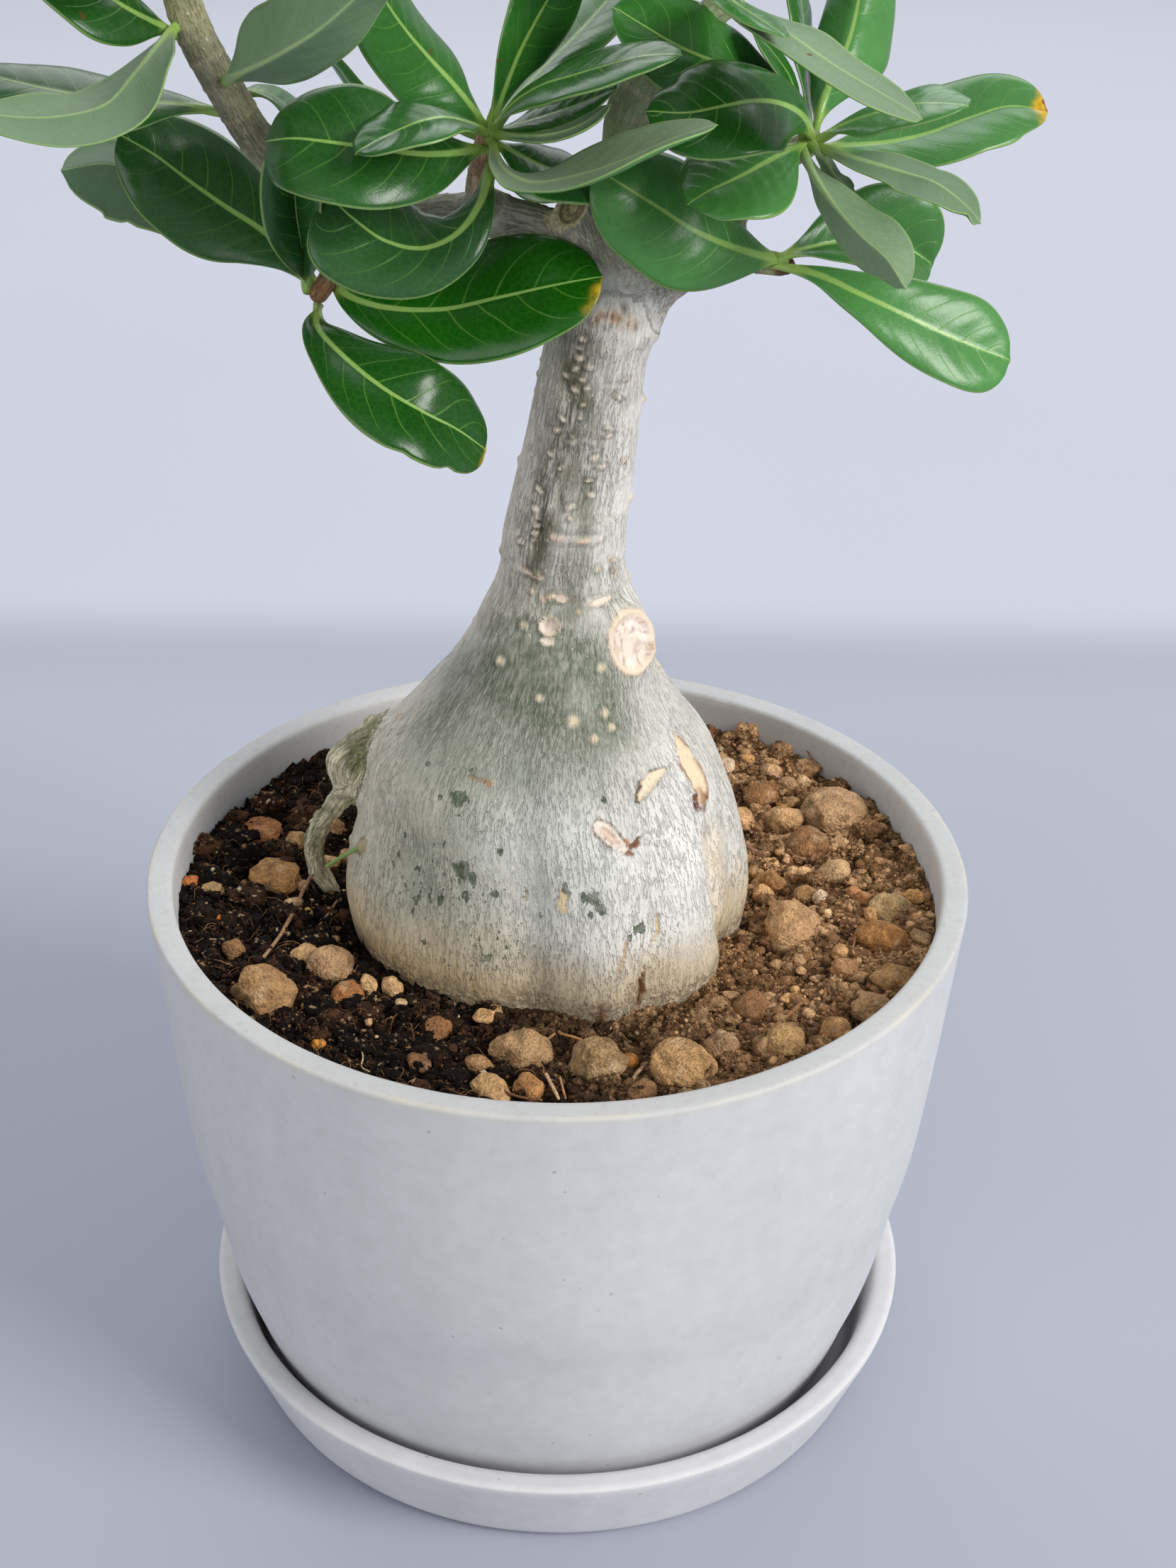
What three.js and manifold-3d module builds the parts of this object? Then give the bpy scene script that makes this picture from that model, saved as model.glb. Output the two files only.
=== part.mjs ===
// Potted desert rose (adenium): round pot on its saucer, soil, stones, the woody plant and its leaves.
// Millimetres, +Z up. The origin is the centre of the pot's axis at the underside of the saucer.
import * as THREE from 'three';
import { mergeVertices } from 'three/addons/utils/BufferGeometryUtils.js';
import Module from 'manifold-3d';

// ---------------------------------------------------------------- driving dimensions
const GAP = 0.3;                 // clearance between touching pieces
const RIM_Z = 146.1;             // height of the pot's rim above the table
const RIM_R = 100;               // outer radius of the rim
const WALL = 6.3;                // pot wall thickness
const POT_FLOOR_Z = 6.3;         // underside of the pot
const POT_FLOOR = 6;             // thickness of the pot's floor
const DRAIN_R = 8;               // drain hole radius
const SAUCER_X = 1.14;           // the saucer sits slightly to the right of the pot's axis
const SAUCER_H = 25.5;
const SAUCER_FLOOR = 6;
const SOIL_MID_Z = 131;          // soil level near the caudex
const SOIL_WALL_Z = 137;         // soil level at the wall
const LEAF_MID = 0.9;            // leaf thickness at the midrib
const LEAF_EDGE = 0.5;           // leaf thickness at the margin

const COLOR = {
  pot: 0xa9afb5, saucer: 0xa4aab1, soil: 0x332a24, bark: 0x9a9a8e,
  leafTop: 0x2f5a2a, leafUnder: 0x8fa58a, stone: [0x8f8a84, 0x6f6258, 0xa59a8c, 0x7c6a5c, 0x8a7f78, 0x9b8d80, 0x77706b],
};

// outer profile of the pot: height, radius
const POT_OUTER = [[6.3, 71.5], [7.4, 74.4], [10, 77], [16, 79.4], [25, 82], [40, 86.5], [60, 90.1], [77, 93.5], [100, 96], [133, 98.9], [144.9, 99.95]];

// rings of the caudex and trunk: height, centre x, radius
const CAUDEX = [
  [86, -2.5, 6], [90, -2.5, 16], [98, -2.5, 30], [108, -2.5, 40], [120, -2.5, 46], [131, -2.5, 48.5], [140, -2.8, 49.6],
  [150, -2.7, 48.8], [159, -2.5, 46.5], [168, -2.5, 44], [179, -3.2, 40], [189, -3, 33], [199, -2.2, 25.8], [208, -1, 21],
  [217, -0.5, 17.5], [226.5, 0.2, 14.5], [236.9, 0.9, 14], [250.2, 3, 13], [262.8, 4.7, 12.2], [274.4, 6.4, 11.6],
  [281.8, 7.5, 11.5], [287.4, 8.4, 11], [292, 9, 9], [294.5, 9.3, 5.5]];
// lobes of the caudex at soil level: azimuth in degrees, share of the ring's radius
const LOBES = [[0, 1], [20, 0.99], [45, 0.96], [70, 1], [100, 0.97], [130, 1], [160, 0.97], [180, 1], [193, 0.985], [215, 0.95],
  [234, 0.9], [252, 0.86], [267, 0.87], [276, 0.92], [286, 1], [294, 1.01], [300, 0.985], [309, 1.03], [318, 1.025],
  [326, 1.01], [338, 0.94], [345, 0.925], [352, 1.005], [360, 1]];

// branches: x, y, z and radius along each one
const BRANCHES = {
  sawnStub: [[8.3, -0, 288.7, 8.5], [6.1, -1, 296.5, 6.2], [3.8, -3, 304.9, 4.6], [1.5, -5, 311.8, 4.2]],
  centreBranch: [[10.1, 0, 289.8, 8.5], [12.7, 1, 298.6, 6], [13.2, 1, 309.1, 5], [12.8, 0, 318.6, 4.9], [12.5, 0, 326.8, 4.9], [13.8, -1, 333.4, 4.7], [16.8, -2, 339.3, 4.2], [22, -3, 345.3, 3.7], [28.6, -4, 351.3, 3.3], [33.2, -4, 356.7, 3.1], [34.6, -4, 360.3, 2.7]],
  rightBranch: [[11.7, 0, 288.8, 8], [19, 2, 292.6, 5.6], [26.9, 4, 296.8, 4.6], [33.4, 4, 301.1, 3.9]],
  rightTip: [[33.4, 4, 301.1, 3.9], [36, 2, 308.8, 3.2], [39.9, -0, 316.2, 3], [44.7, -1, 321.4, 2.8], [49.2, -2, 324.5, 2.8], [50.8, -3, 326.3, 2.6]],
  rightSpur: [[33.4, 4, 301.1, 3.6], [39.3, 2, 299.2, 2.8], [45.6, 0, 298.7, 2.4]],
  leftBranch: [[6.3, -1, 297.6, 5.5], [0.5, 0, 303.7, 4.4], [-6, 2, 306.5, 3.8], [-14.6, 4, 307.8, 3.6], [-23.7, 5, 307.9, 3.5], [-35.8, 4, 307.5, 3.5], [-46.1, 2, 309.8, 3.5], [-54.3, -3, 316.2, 3.6], [-60.2, -7, 322.7, 3.7], [-64.3, -10, 328.9, 3.8], [-67.4, -12, 335.7, 3.9], [-70.6, -13, 342.3, 3.9], [-73.3, -13, 348, 3.8], [-75.4, -13, 354, 3.7], [-76.8, -13, 360.1, 3.3], [-77.4, -13, 363.2, 2.8]],
  middleSpur: [[-16.1, 4, 308.1, 3.2], [-17.9, -1, 314.2, 3], [-16.8, -6, 321.8, 2.9], [-15.6, -9, 328.3, 2.7]],
  leftSpur: [[-44.6, 2, 309.3, 3.2], [-46.1, 0, 304, 2.9], [-48.2, -2, 299.2, 2.6], [-50.4, -3, 294.9, 2.5], [-52.7, -4, 291.7, 2.4]],
  airRootUpper: [[-43.5, 8, 177.7, 3.6], [-48.6, 6, 175.6, 3.3], [-52.1, 4, 172.4, 3.1], [-52.2, 3, 168.2, 2.9], [-50, 3, 165.8, 2.6]],
  airRootLower: [[-45.8, 7, 173.1, 3], [-48.9, 3, 168, 2.9], [-53.1, 3, 161.9, 2.7], [-57.6, 4, 155.2, 2.5], [-60.1, 5, 147.3, 2.4], [-60.1, 6, 140, 2.3], [-57.5, 6, 135, 2.1], [-54.6, 6, 128.8, 1.9]],
};
// stubby roots under the soil
const ROOTS = {
  rootLeft: [[-20, -6, 104, 13], [-33, -12, 88, 8], [-40, -16, 72, 5], [-44, -18, 56, 2.5]],
  rootRight: [[14, -10, 104, 13], [26, -14, 86, 8.5], [33, -15, 66, 5], [36, -12, 48, 2.4]],
  rootBack: [[-2, 14, 102, 13], [-2, 24, 84, 8.5], [2, 30, 62, 5], [4, 32, 42, 2.5]],
};

// stones on the soil: centre, half sizes, turn about the vertical, seed
const STONES = [
  { name: 'stone_left_large', at: [-68.5, -41.8, 137.4], half: [7, 7.2, 4.9], turn: 20, seed: 1 },
  { name: 'stone_left_middle', at: [-54, -27, 134.2], half: [5.4, 5.8, 4.2], turn: -15, seed: 2 },
  { name: 'stone_left_back', at: [-70.9, 9, 135.6], half: [5.3, 5.9, 3.3], turn: 40, seed: 3 },
  { name: 'stone_front_right', at: [28.2, -68.7, 136.4], half: [6.7, 7.2, 4.8], turn: 10, seed: 4 },
  { name: 'stone_front_middle', at: [9.2, -66, 135.2], half: [5.8, 6.2, 4.2], turn: -30, seed: 5 },
  { name: 'stone_front_lump', at: [-8.4, -60, 134.2], half: [6.5, 6.4, 4], turn: 5, seed: 6 },
  { name: 'stone_right_back', at: [71.5, 39, 137.6], half: [8, 7.4, 4.6], turn: 25, seed: 7 },
];

// leaves: half width, where the blade is widest, the midrib's line, and the directions from it to the two margins
const STATIONS = [0, 0.15, 0.325, 0.5, 0.675, 0.85, 1];
const LEAVES = [
  { name: 'leaf_left_top_1', width: 12, widest: 0.55, shade: 0,
    spine: [[-78.02,-15.61,349.92],[-81.29,-18.11,352.22],[-85.17,-20.48,355.05],[-89.18,-21.78,358.09],[-93.29,-22.23,361.21],[-97.4,-21.56,364.25],[-100.78,-20,366.68]],
    left: [[0.162,-0.779,-0.606],[0.153,-0.781,-0.605],[0.002,-0.861,-0.509],[-0.124,-0.897,-0.424],[-0.253,-0.91,-0.33],[-0.453,-0.875,-0.172],[-0.494,-0.859,-0.133]],
    right: [[-0.241,0.814,0.529],[-0.234,0.816,0.529],[-0.078,0.899,0.43],[0.052,0.938,0.342],[0.188,0.951,0.243],[0.399,0.914,0.077],[0.442,0.896,0.037]] },
  { name: 'leaf_left_top_2', width: 12, widest: 0.5, shade: 1,
    spine: [[-76.97,-16.74,350.46],[-79.48,-24.78,348.92],[-82.73,-33.21,345.83],[-87.43,-39.72,341.88],[-95.15,-44.05,340.71],[-103.89,-46.22,341.07],[-111.46,-47,342.4]],
    left: [[0.906,-0.34,0.253],[0.897,-0.344,0.278],[0.809,-0.537,0.239],[0.679,-0.731,-0.071],[0.324,-0.917,-0.232],[0.127,-0.964,-0.233],[0.049,-0.975,-0.218]],
    right: [[-0.861,0.349,-0.37],[-0.849,0.353,-0.393],[-0.747,0.57,-0.342],[-0.655,0.754,-0.05],[-0.327,0.939,0.109],[-0.145,0.983,0.111],[-0.073,0.993,0.096]] },
  { name: 'leaf_left_top_3', width: 12, widest: 0.55, shade: 0,
    spine: [[-70.43,-9.28,332.51],[-78.58,-7.21,333],[-88.09,-5.27,332.82],[-97.48,-3.76,333.32],[-106.8,-2.35,334.48],[-116.06,-1,336.16],[-123.99,0,337.79]],
    left: [[-0.26,-0.911,-0.319],[-0.218,-0.915,-0.34],[-0.169,-0.922,-0.349],[-0.168,-0.929,-0.33],[-0.191,-0.932,-0.309],[-0.187,-0.935,-0.301],[-0.177,-0.937,-0.301]],
    right: [[0.259,0.954,0.153],[0.225,0.959,0.175],[0.176,0.967,0.184],[0.16,0.973,0.165],[0.17,0.975,0.144],[0.161,0.977,0.137],[0.147,0.98,0.137]] },
  { name: 'leaf_left_top_4', width: 12, widest: 0.42, shade: 1,
    spine: [[-67.25,-16.71,340.78],[-65.28,-26.05,343.64],[-61.63,-36.26,347.49],[-54.79,-43.74,352.29],[-46.23,-48.35,358.24],[-38.22,-51.86,365.53],[-31.21,-54,372.01]],
    left: [[0.17,0.323,0.931],[0.181,0.34,0.923],[0.14,0.464,0.875],[-0.069,0.652,0.755],[-0.235,0.666,0.708],[-0.364,0.672,0.645],[-0.383,0.678,0.627]],
    right: [[0.979,0.176,-0.105],[0.973,0.194,-0.126],[0.907,0.372,-0.198],[0.647,0.674,-0.357],[0.598,0.736,-0.317],[0.562,0.773,-0.293],[0.525,0.785,-0.329]] },
  { name: 'leaf_left_top_5', width: 9, widest: 0.55, shade: 0,
    spine: [[-65.73,-7.5,335.92],[-62.26,-3.83,334.78],[-58.7,-0.71,331.8],[-55.26,1.25,328.16],[-51.74,2.92,324.47],[-47.94,4.59,321.07],[-44.6,6,318.23]],
    left: [[-0.686,0.686,0.245],[-0.55,0.759,0.349],[-0.296,0.893,0.339],[-0.19,0.947,0.259],[-0.201,0.949,0.241],[-0.214,0.951,0.222],[-0.216,0.951,0.221]],
    right: [[0.708,-0.687,-0.163],[0.591,-0.759,-0.274],[0.356,-0.892,-0.278],[0.253,-0.946,-0.201],[0.26,-0.949,-0.18],[0.269,-0.95,-0.157],[0.271,-0.95,-0.156]] },
  { name: 'leaf_left_top_6', width: 11, widest: 0.6, shade: 0,
    spine: [[-77.74,-14.91,366.18],[-79.27,-15.65,370.69],[-81.17,-16.56,376.33],[-83.17,-17.76,382.49],[-84.91,-19.95,388.51],[-86.25,-22.84,394.32],[-86.76,-26,399.02]],
    left: [[-0.356,-0.897,-0.262],[-0.351,-0.896,-0.273],[-0.354,-0.9,-0.255],[-0.327,-0.883,-0.338],[-0.295,-0.844,-0.447],[-0.309,-0.794,-0.524],[-0.331,-0.763,-0.556]],
    right: [[0.356,0.897,0.262],[0.351,0.896,0.273],[0.354,0.9,0.255],[0.327,0.883,0.338],[0.295,0.844,0.447],[0.309,0.794,0.524],[0.331,0.763,0.556]] },
  { name: 'leaf_left_top_7', width: 11, widest: 0.6, shade: 0,
    spine: [[-75.82,-10.91,365.58],[-74.02,-10.38,370.15],[-71.22,-9.52,375.56],[-67.45,-8.32,381.05],[-63.24,-7.86,386.4],[-58.7,-7.99,391.49],[-54.4,-8,395.44]],
    left: [[-0.591,0.792,0.154],[-0.594,0.792,0.142],[-0.56,0.808,0.182],[-0.519,0.822,0.234],[-0.416,0.839,0.352],[-0.379,0.847,0.373],[-0.34,0.854,0.394]],
    right: [[0.644,-0.744,-0.18],[0.646,-0.744,-0.17],[0.608,-0.762,-0.221],[0.565,-0.777,-0.276],[0.464,-0.794,-0.393],[0.425,-0.804,-0.416],[0.381,-0.812,-0.442]] },
  { name: 'leaf_left_top_8', width: 11, widest: 0.6, shade: 0,
    spine: [[-77.96,-16.35,364.24],[-79.54,-21.8,366.92],[-81.72,-28.13,370.06],[-84.99,-34.13,373.23],[-88.85,-39.94,376.12],[-93.22,-45.62,378.5],[-97.72,-50,380.03]],
    left: [[0.458,-0.501,-0.735],[0.466,-0.494,-0.734],[0.497,-0.558,-0.665],[0.501,-0.63,-0.594],[0.553,-0.634,-0.54],[0.568,-0.674,-0.473],[0.533,-0.732,-0.424]],
    right: [[-0.503,0.5,0.705],[-0.512,0.492,0.704],[-0.539,0.559,0.63],[-0.539,0.633,0.555],[-0.587,0.639,0.498],[-0.597,0.68,0.426],[-0.555,0.742,0.375]] },
  { name: 'leaf_left_top_9', width: 11, widest: 0.6, shade: 0,
    spine: [[-77.55,-9.33,362.44],[-78.16,-2.29,363.81],[-78.78,5.59,365.29],[-79,12.97,366.7],[-78.92,20.31,368.14],[-78.71,27.67,369.39],[-78.45,34,370.37]],
    left: [[-0.743,0.068,-0.665],[-0.742,0.062,-0.668],[-0.78,0.07,-0.622],[-0.835,0.103,-0.54],[-0.867,0.107,-0.487],[-0.897,0.103,-0.43],[-0.902,0.102,-0.419]],
    right: [[0.415,0.208,-0.886],[0.417,0.206,-0.885],[0.366,0.191,-0.911],[0.279,0.188,-0.942],[0.221,0.175,-0.959],[0.156,0.146,-0.977],[0.144,0.147,-0.979]] },
  { name: 'leaf_left_top_10', width: 10, widest: 0.6, shade: 0,
    spine: [[-74.57,-15.04,363.7],[-71.5,-18.5,365.35],[-67.52,-22.74,367.4],[-62.88,-27.09,369.87],[-58.05,-31.17,372.57],[-52.91,-34.95,375.14],[-48.35,-38,377.28]],
    left: [[0.481,0.692,0.538],[0.486,0.688,0.539],[0.43,0.713,0.554],[0.344,0.746,0.571],[0.32,0.77,0.552],[0.298,0.803,0.516],[0.301,0.803,0.515]],
    right: [[-0.517,-0.701,-0.49],[-0.522,-0.697,-0.491],[-0.466,-0.725,-0.507],[-0.382,-0.76,-0.526],[-0.357,-0.785,-0.506],[-0.332,-0.819,-0.468],[-0.334,-0.819,-0.467]] },
  { name: 'leaf_left_low_1', width: 12.5, widest: 0.78, shade: 1,
    spine: [[-52.12,-0.48,292.31],[-59.93,6.48,295.64],[-69.23,12.53,300.03],[-78.79,15.03,305.2],[-88.63,16.61,310.14],[-99.11,16.74,313.47],[-108.35,15,312.31]],
    left: [[-0.69,-0.544,-0.477],[-0.679,-0.555,-0.48],[-0.545,-0.627,-0.557],[-0.454,-0.648,-0.611],[-0.373,-0.651,-0.661],[0.026,-0.622,-0.783],[0.307,-0.565,-0.766]],
    right: [[0.594,0.769,-0.234],[0.567,0.793,-0.223],[0.337,0.937,-0.094],[0.189,0.982,-0.005],[0.122,0.992,0.041],[-0.109,0.985,0.132],[-0.242,0.961,0.133]] },
  { name: 'leaf_left_low_2', width: 13, widest: 0.6, shade: 0,
    spine: [[-52.91,-0.73,291.86],[-57.89,2.34,297.41],[-64.87,5.36,302.73],[-72.7,7.33,307.2],[-80.21,8.04,312.49],[-87.42,8,318.22],[-94.23,8,322.25]],
    left: [[-0.77,-0.458,-0.445],[-0.754,-0.46,-0.47],[-0.541,-0.513,-0.667],[-0.522,-0.514,-0.681],[-0.55,-0.513,-0.659],[-0.468,-0.515,-0.718],[-0.431,-0.516,-0.74]],
    right: [[0.737,0.582,0.345],[0.721,0.585,0.371],[0.524,0.638,0.564],[0.486,0.644,0.59],[0.493,0.645,0.584],[0.416,0.648,0.638],[0.383,0.648,0.658]] },
  { name: 'leaf_left_low_3', width: 11, widest: 0.6, shade: 0,
    spine: [[-54.73,-4.17,294.29],[-54.7,-7.54,299.81],[-54.83,-11.07,306.66],[-55.1,-13.85,314.15],[-54.62,-16.47,321.7],[-53.42,-17.81,329.49],[-51.76,-18,336.14]],
    left: [[-0.378,-0.795,-0.474],[-0.386,-0.791,-0.475],[-0.432,-0.825,-0.364],[-0.484,-0.824,-0.293],[-0.545,-0.82,-0.177],[-0.554,-0.832,0.037],[-0.54,-0.822,0.18]],
    right: [[0.625,-0.663,-0.412],[0.619,-0.676,-0.399],[0.58,-0.759,-0.296],[0.532,-0.796,-0.288],[0.465,-0.835,-0.293],[0.441,-0.883,-0.163],[0.433,-0.895,-0.106]] },
  { name: 'leaf_left_low_4', width: 12, widest: 0.62, shade: 0,
    spine: [[-52.64,-4,288.58],[-52.16,-12.43,287.57],[-46.04,-20.16,283.97],[-38.15,-26.18,279.98],[-29.84,-28.02,275.48],[-22.17,-23.56,269.22],[-16.65,-17.97,262.63]],
    left: [[0.846,-0.045,-0.531],[0.914,0.392,0.107],[0.748,0.56,0.357],[0.586,0.629,0.511],[0.31,0.688,0.656],[0.223,0.619,0.753],[0.287,0.613,0.736]],
    right: [[-0.634,-0.022,0.773],[-0.871,-0.444,0.211],[-0.71,-0.7,-0.07],[-0.553,-0.798,-0.24],[-0.141,-0.881,-0.451],[0.038,-0.771,-0.636],[-0.017,-0.767,-0.641]] },
  { name: 'leaf_left_low_5', width: 13.5, widest: 0.66, shade: 0,
    spine: [[-49.86,-0.3,293.08],[-44.84,-5.95,291.79],[-36.28,-8.46,290.52],[-25.02,-9.77,291.03],[-13.54,-12.47,294.74],[-2.09,-14.64,298.32],[7.69,-14.58,300.36]],
    left: [[0.603,0.551,0.576],[0.574,0.541,0.615],[0.128,0.674,0.728],[-0.027,0.678,0.735],[-0.109,0.65,0.752],[-0.128,0.67,0.731],[-0.173,0.675,0.717]],
    right: [[-0.605,-0.606,-0.517],[-0.607,-0.587,-0.536],[-0.13,-0.741,-0.659],[0.003,-0.746,-0.666],[0.069,-0.716,-0.695],[0.108,-0.739,-0.665],[0.162,-0.745,-0.648]] },
  { name: 'leaf_middle_1', width: 12.8, widest: 0.8, shade: 0,
    spine: [[-15.47,-10.29,322.59],[-16.84,-18.38,317.89],[-21.48,-24.06,312.6],[-28.59,-25.1,309.64],[-36.2,-24.58,310.89],[-42.74,-23.29,315.05],[-47.85,-22,319.3]],
    left: [[0.993,-0.119,-0.023],[0.964,-0.191,-0.183],[0.66,-0.505,-0.557],[0.114,-0.62,-0.776],[-0.394,-0.619,-0.679],[-0.588,-0.592,-0.551],[-0.596,-0.592,-0.543]],
    right: [[-0.927,0.27,-0.26],[-0.927,0.362,-0.092],[-0.599,0.729,0.333],[-0.086,0.837,0.541],[0.321,0.833,0.45],[0.475,0.81,0.344],[0.481,0.81,0.337]] },
  { name: 'leaf_middle_2', width: 12.8, widest: 0.6, shade: 0,
    spine: [[-16.66,-11.72,326.13],[-22.1,-20.61,327.78],[-28.71,-29.71,330.2],[-35.9,-33.91,332.26],[-44.09,-34.73,333.58],[-52.69,-31.63,333.47],[-58.78,-27.07,331.6]],
    left: [[0.515,-0.473,-0.715],[0.502,-0.436,-0.747],[0.318,-0.609,-0.727],[0.077,-0.731,-0.678],[-0.126,-0.75,-0.65],[-0.323,-0.674,-0.664],[-0.228,-0.644,-0.73]],
    right: [[-0.383,0.401,0.833],[-0.357,0.38,0.853],[-0.194,0.514,0.836],[-0.009,0.603,0.798],[0.127,0.615,0.778],[0.238,0.562,0.792],[0.098,0.548,0.831]] },
  { name: 'leaf_middle_3', width: 9.5, widest: 0.6, shade: 0,
    spine: [[-16.47,-11.85,330.06],[-19.73,-23.85,334.81],[-23.47,-31.44,337.74],[-26.95,-34.94,338.16],[-30.98,-38.02,337.54],[-35.5,-41.05,336.13],[-39.89,-43.2,334.3]],
    left: [[0.811,-0.401,-0.426],[0.827,-0.388,-0.406],[0.74,-0.659,-0.136],[0.664,-0.748,-0.007],[0.558,-0.829,0.044],[0.525,-0.849,0.069],[0.29,-0.957,-0.02]],
    right: [[-0.681,0.431,0.592],[-0.701,0.419,0.577],[-0.672,0.659,0.338],[-0.649,0.728,0.221],[-0.588,0.792,0.166],[-0.573,0.808,0.134],[-0.365,0.907,0.211]] },
  { name: 'leaf_middle_4', width: 11.5, widest: 0.55, shade: 0,
    spine: [[-16.26,-11.49,330.61],[-19.13,-15.25,335.94],[-23.07,-16.39,341.24],[-27.32,-17.35,346.27],[-31.45,-21.63,352.56],[-35.15,-26.42,359.75],[-37.76,-27.3,365.91]],
    left: [[-0.42,-0.58,-0.698],[-0.503,-0.646,-0.574],[-0.553,-0.649,-0.523],[-0.44,-0.647,-0.623],[-0.441,-0.566,-0.696],[-0.582,-0.598,-0.552],[-0.74,-0.627,-0.246]],
    right: [[-0.115,0.788,0.604],[0.02,0.924,0.381],[0.165,0.963,0.212],[-0.025,0.917,0.398],[-0.078,0.807,0.586],[0.087,0.889,0.45],[0.299,0.953,0.051]] },
  { name: 'leaf_middle_5', width: 11, widest: 0.6, shade: 0,
    spine: [[-15.29,-11.31,330.85],[-12.87,-9.83,337.57],[-10,-7.04,344.35],[-6.93,-2.85,349.52],[-3.63,1.52,354.37],[-0.49,5.52,359.64],[2,8,364.8]],
    left: [[-0.533,-0.776,0.337],[-0.501,-0.765,0.405],[-0.392,-0.686,0.613],[-0.288,-0.595,0.75],[-0.316,-0.624,0.715],[-0.373,-0.667,0.645],[-0.455,-0.738,0.498]],
    right: [[0.657,0.662,-0.359],[0.627,0.655,-0.422],[0.525,0.587,-0.617],[0.424,0.501,-0.755],[0.45,0.528,-0.72],[0.505,0.567,-0.651],[0.581,0.632,-0.512]] },
  { name: 'leaf_middle_6', width: 11, widest: 0.6, shade: 0,
    spine: [[-14.89,-11.7,330.32],[-10.73,-18.14,336.75],[-4.92,-24.43,342.26],[1.39,-28.81,345.53],[7.89,-32.77,348.63],[14.92,-35.97,351.38],[21.57,-38,352.44]],
    left: [[0.26,0.757,0.599],[0.331,0.77,0.545],[0.453,0.82,0.351],[0.417,0.861,0.291],[0.373,0.891,0.258],[0.296,0.939,0.176],[0.256,0.957,0.138]],
    right: [[-0.328,-0.761,-0.559],[-0.395,-0.771,-0.499],[-0.495,-0.821,-0.285],[-0.453,-0.864,-0.221],[-0.407,-0.894,-0.187],[-0.317,-0.943,-0.1],[-0.267,-0.962,-0.061]] },
  { name: 'leaf_middle_7', width: 11, widest: 0.6, shade: 0,
    spine: [[-13.97,-9,331.33],[-10.26,-3.92,334.19],[-5.76,1.89,337.68],[-0.7,7.17,341.46],[4.49,12.06,345.6],[9.49,16.57,350.35],[13.24,20,355.26]],
    left: [[-0.739,0.648,-0.185],[-0.74,0.646,-0.185],[-0.706,0.695,-0.137],[-0.658,0.748,-0.084],[-0.632,0.77,-0.086],[-0.598,0.794,-0.109],[-0.579,0.807,-0.117]],
    right: [[0.705,-0.662,0.253],[0.707,-0.661,0.253],[0.673,-0.711,0.205],[0.624,-0.766,0.152],[0.595,-0.789,0.151],[0.552,-0.817,0.167],[0.529,-0.831,0.171]] },
  { name: 'leaf_middle_8', width: 9, widest: 0.55, shade: 0,
    spine: [[-14.38,-11.91,329.68],[-10.53,-13.62,331.28],[-6.15,-13.63,332.6],[-1.87,-13.17,333.88],[2.35,-14.16,335.76],[6.47,-17.1,338.34],[9.98,-20.73,340.98]],
    left: [[0.452,0.856,0.249],[0.03,0.991,0.13],[-0.123,0.987,0.101],[-0.024,0.994,0.109],[0.301,0.922,0.245],[0.474,0.79,0.389],[0.474,0.766,0.434]],
    right: [[-0.481,-0.856,-0.19],[-0.052,-0.997,-0.061],[0.104,-0.994,-0.031],[0.001,-0.999,-0.044],[-0.333,-0.924,-0.187],[-0.513,-0.791,-0.333],[-0.518,-0.767,-0.379]] },
  { name: 'leaf_middle_9', width: 4, widest: 0.6, shade: 1,
    spine: [[-14.15,-12.04,328.95],[-10.43,-19.33,330.68],[-5.92,-26.02,332.72],[-1.6,-28.3,334.05],[2.25,-29.06,335.66],[5.75,-28.72,337.71],[8.51,-28.08,339.94]],
    left: [[0.827,0.545,0.137],[0.867,0.44,0.235],[0.585,0.783,0.21],[0.253,0.954,0.161],[-0.014,0.99,0.138],[-0.25,0.968,0.03],[-0.219,0.974,0.053]],
    right: [[-0.841,-0.537,-0.062],[-0.889,-0.43,-0.158],[-0.608,-0.782,-0.137],[-0.278,-0.956,-0.091],[-0.021,-0.998,-0.067],[0.203,-0.978,0.038],[0.169,-0.986,0.01]] },
  { name: 'leaf_middle_10', width: 9, widest: 0.5, shade: 0,
    spine: [[-14.34,-12.14,327.72],[-11.19,-12.77,326.02],[-7.48,-13.1,324.17],[-3.59,-13.02,322.49],[0.42,-12.48,321.22],[4.38,-11.37,320.22],[7.68,-10,319.51]],
    left: [[0.394,0.908,0.142],[0.23,0.947,0.226],[0.153,0.954,0.259],[0.038,0.955,0.294],[-0.097,0.945,0.313],[-0.276,0.903,0.329],[-0.299,0.898,0.322]],
    right: [[-0.42,-0.882,-0.212],[-0.263,-0.919,-0.293],[-0.184,-0.927,-0.327],[-0.066,-0.929,-0.363],[0.073,-0.92,-0.384],[0.251,-0.881,-0.4],[0.275,-0.877,-0.394]] },
  { name: 'leaf_middle_11', width: 9, widest: 0.6, shade: 1,
    spine: [[-13.61,-6.28,319.61],[-11.86,-2.37,316.19],[-9.07,2.87,312.47],[-4.4,6.56,310.66],[0.57,8.38,310.15],[5.44,10.08,310.15],[9.59,12.2,310.13]],
    left: [[-0.511,0.781,0.358],[-0.614,0.594,0.519],[-0.728,0.677,0.108],[-0.479,0.862,-0.167],[-0.288,0.931,-0.224],[-0.382,0.89,-0.248],[-0.479,0.841,-0.253]],
    right: [[0.488,-0.785,-0.382],[0.587,-0.602,-0.541],[0.716,-0.685,-0.139],[0.477,-0.869,0.134],[0.289,-0.938,0.189],[0.386,-0.897,0.215],[0.482,-0.848,0.22]] },
  { name: 'leaf_middle_12', width: 10, widest: 0.5, shade: 1,
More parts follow.
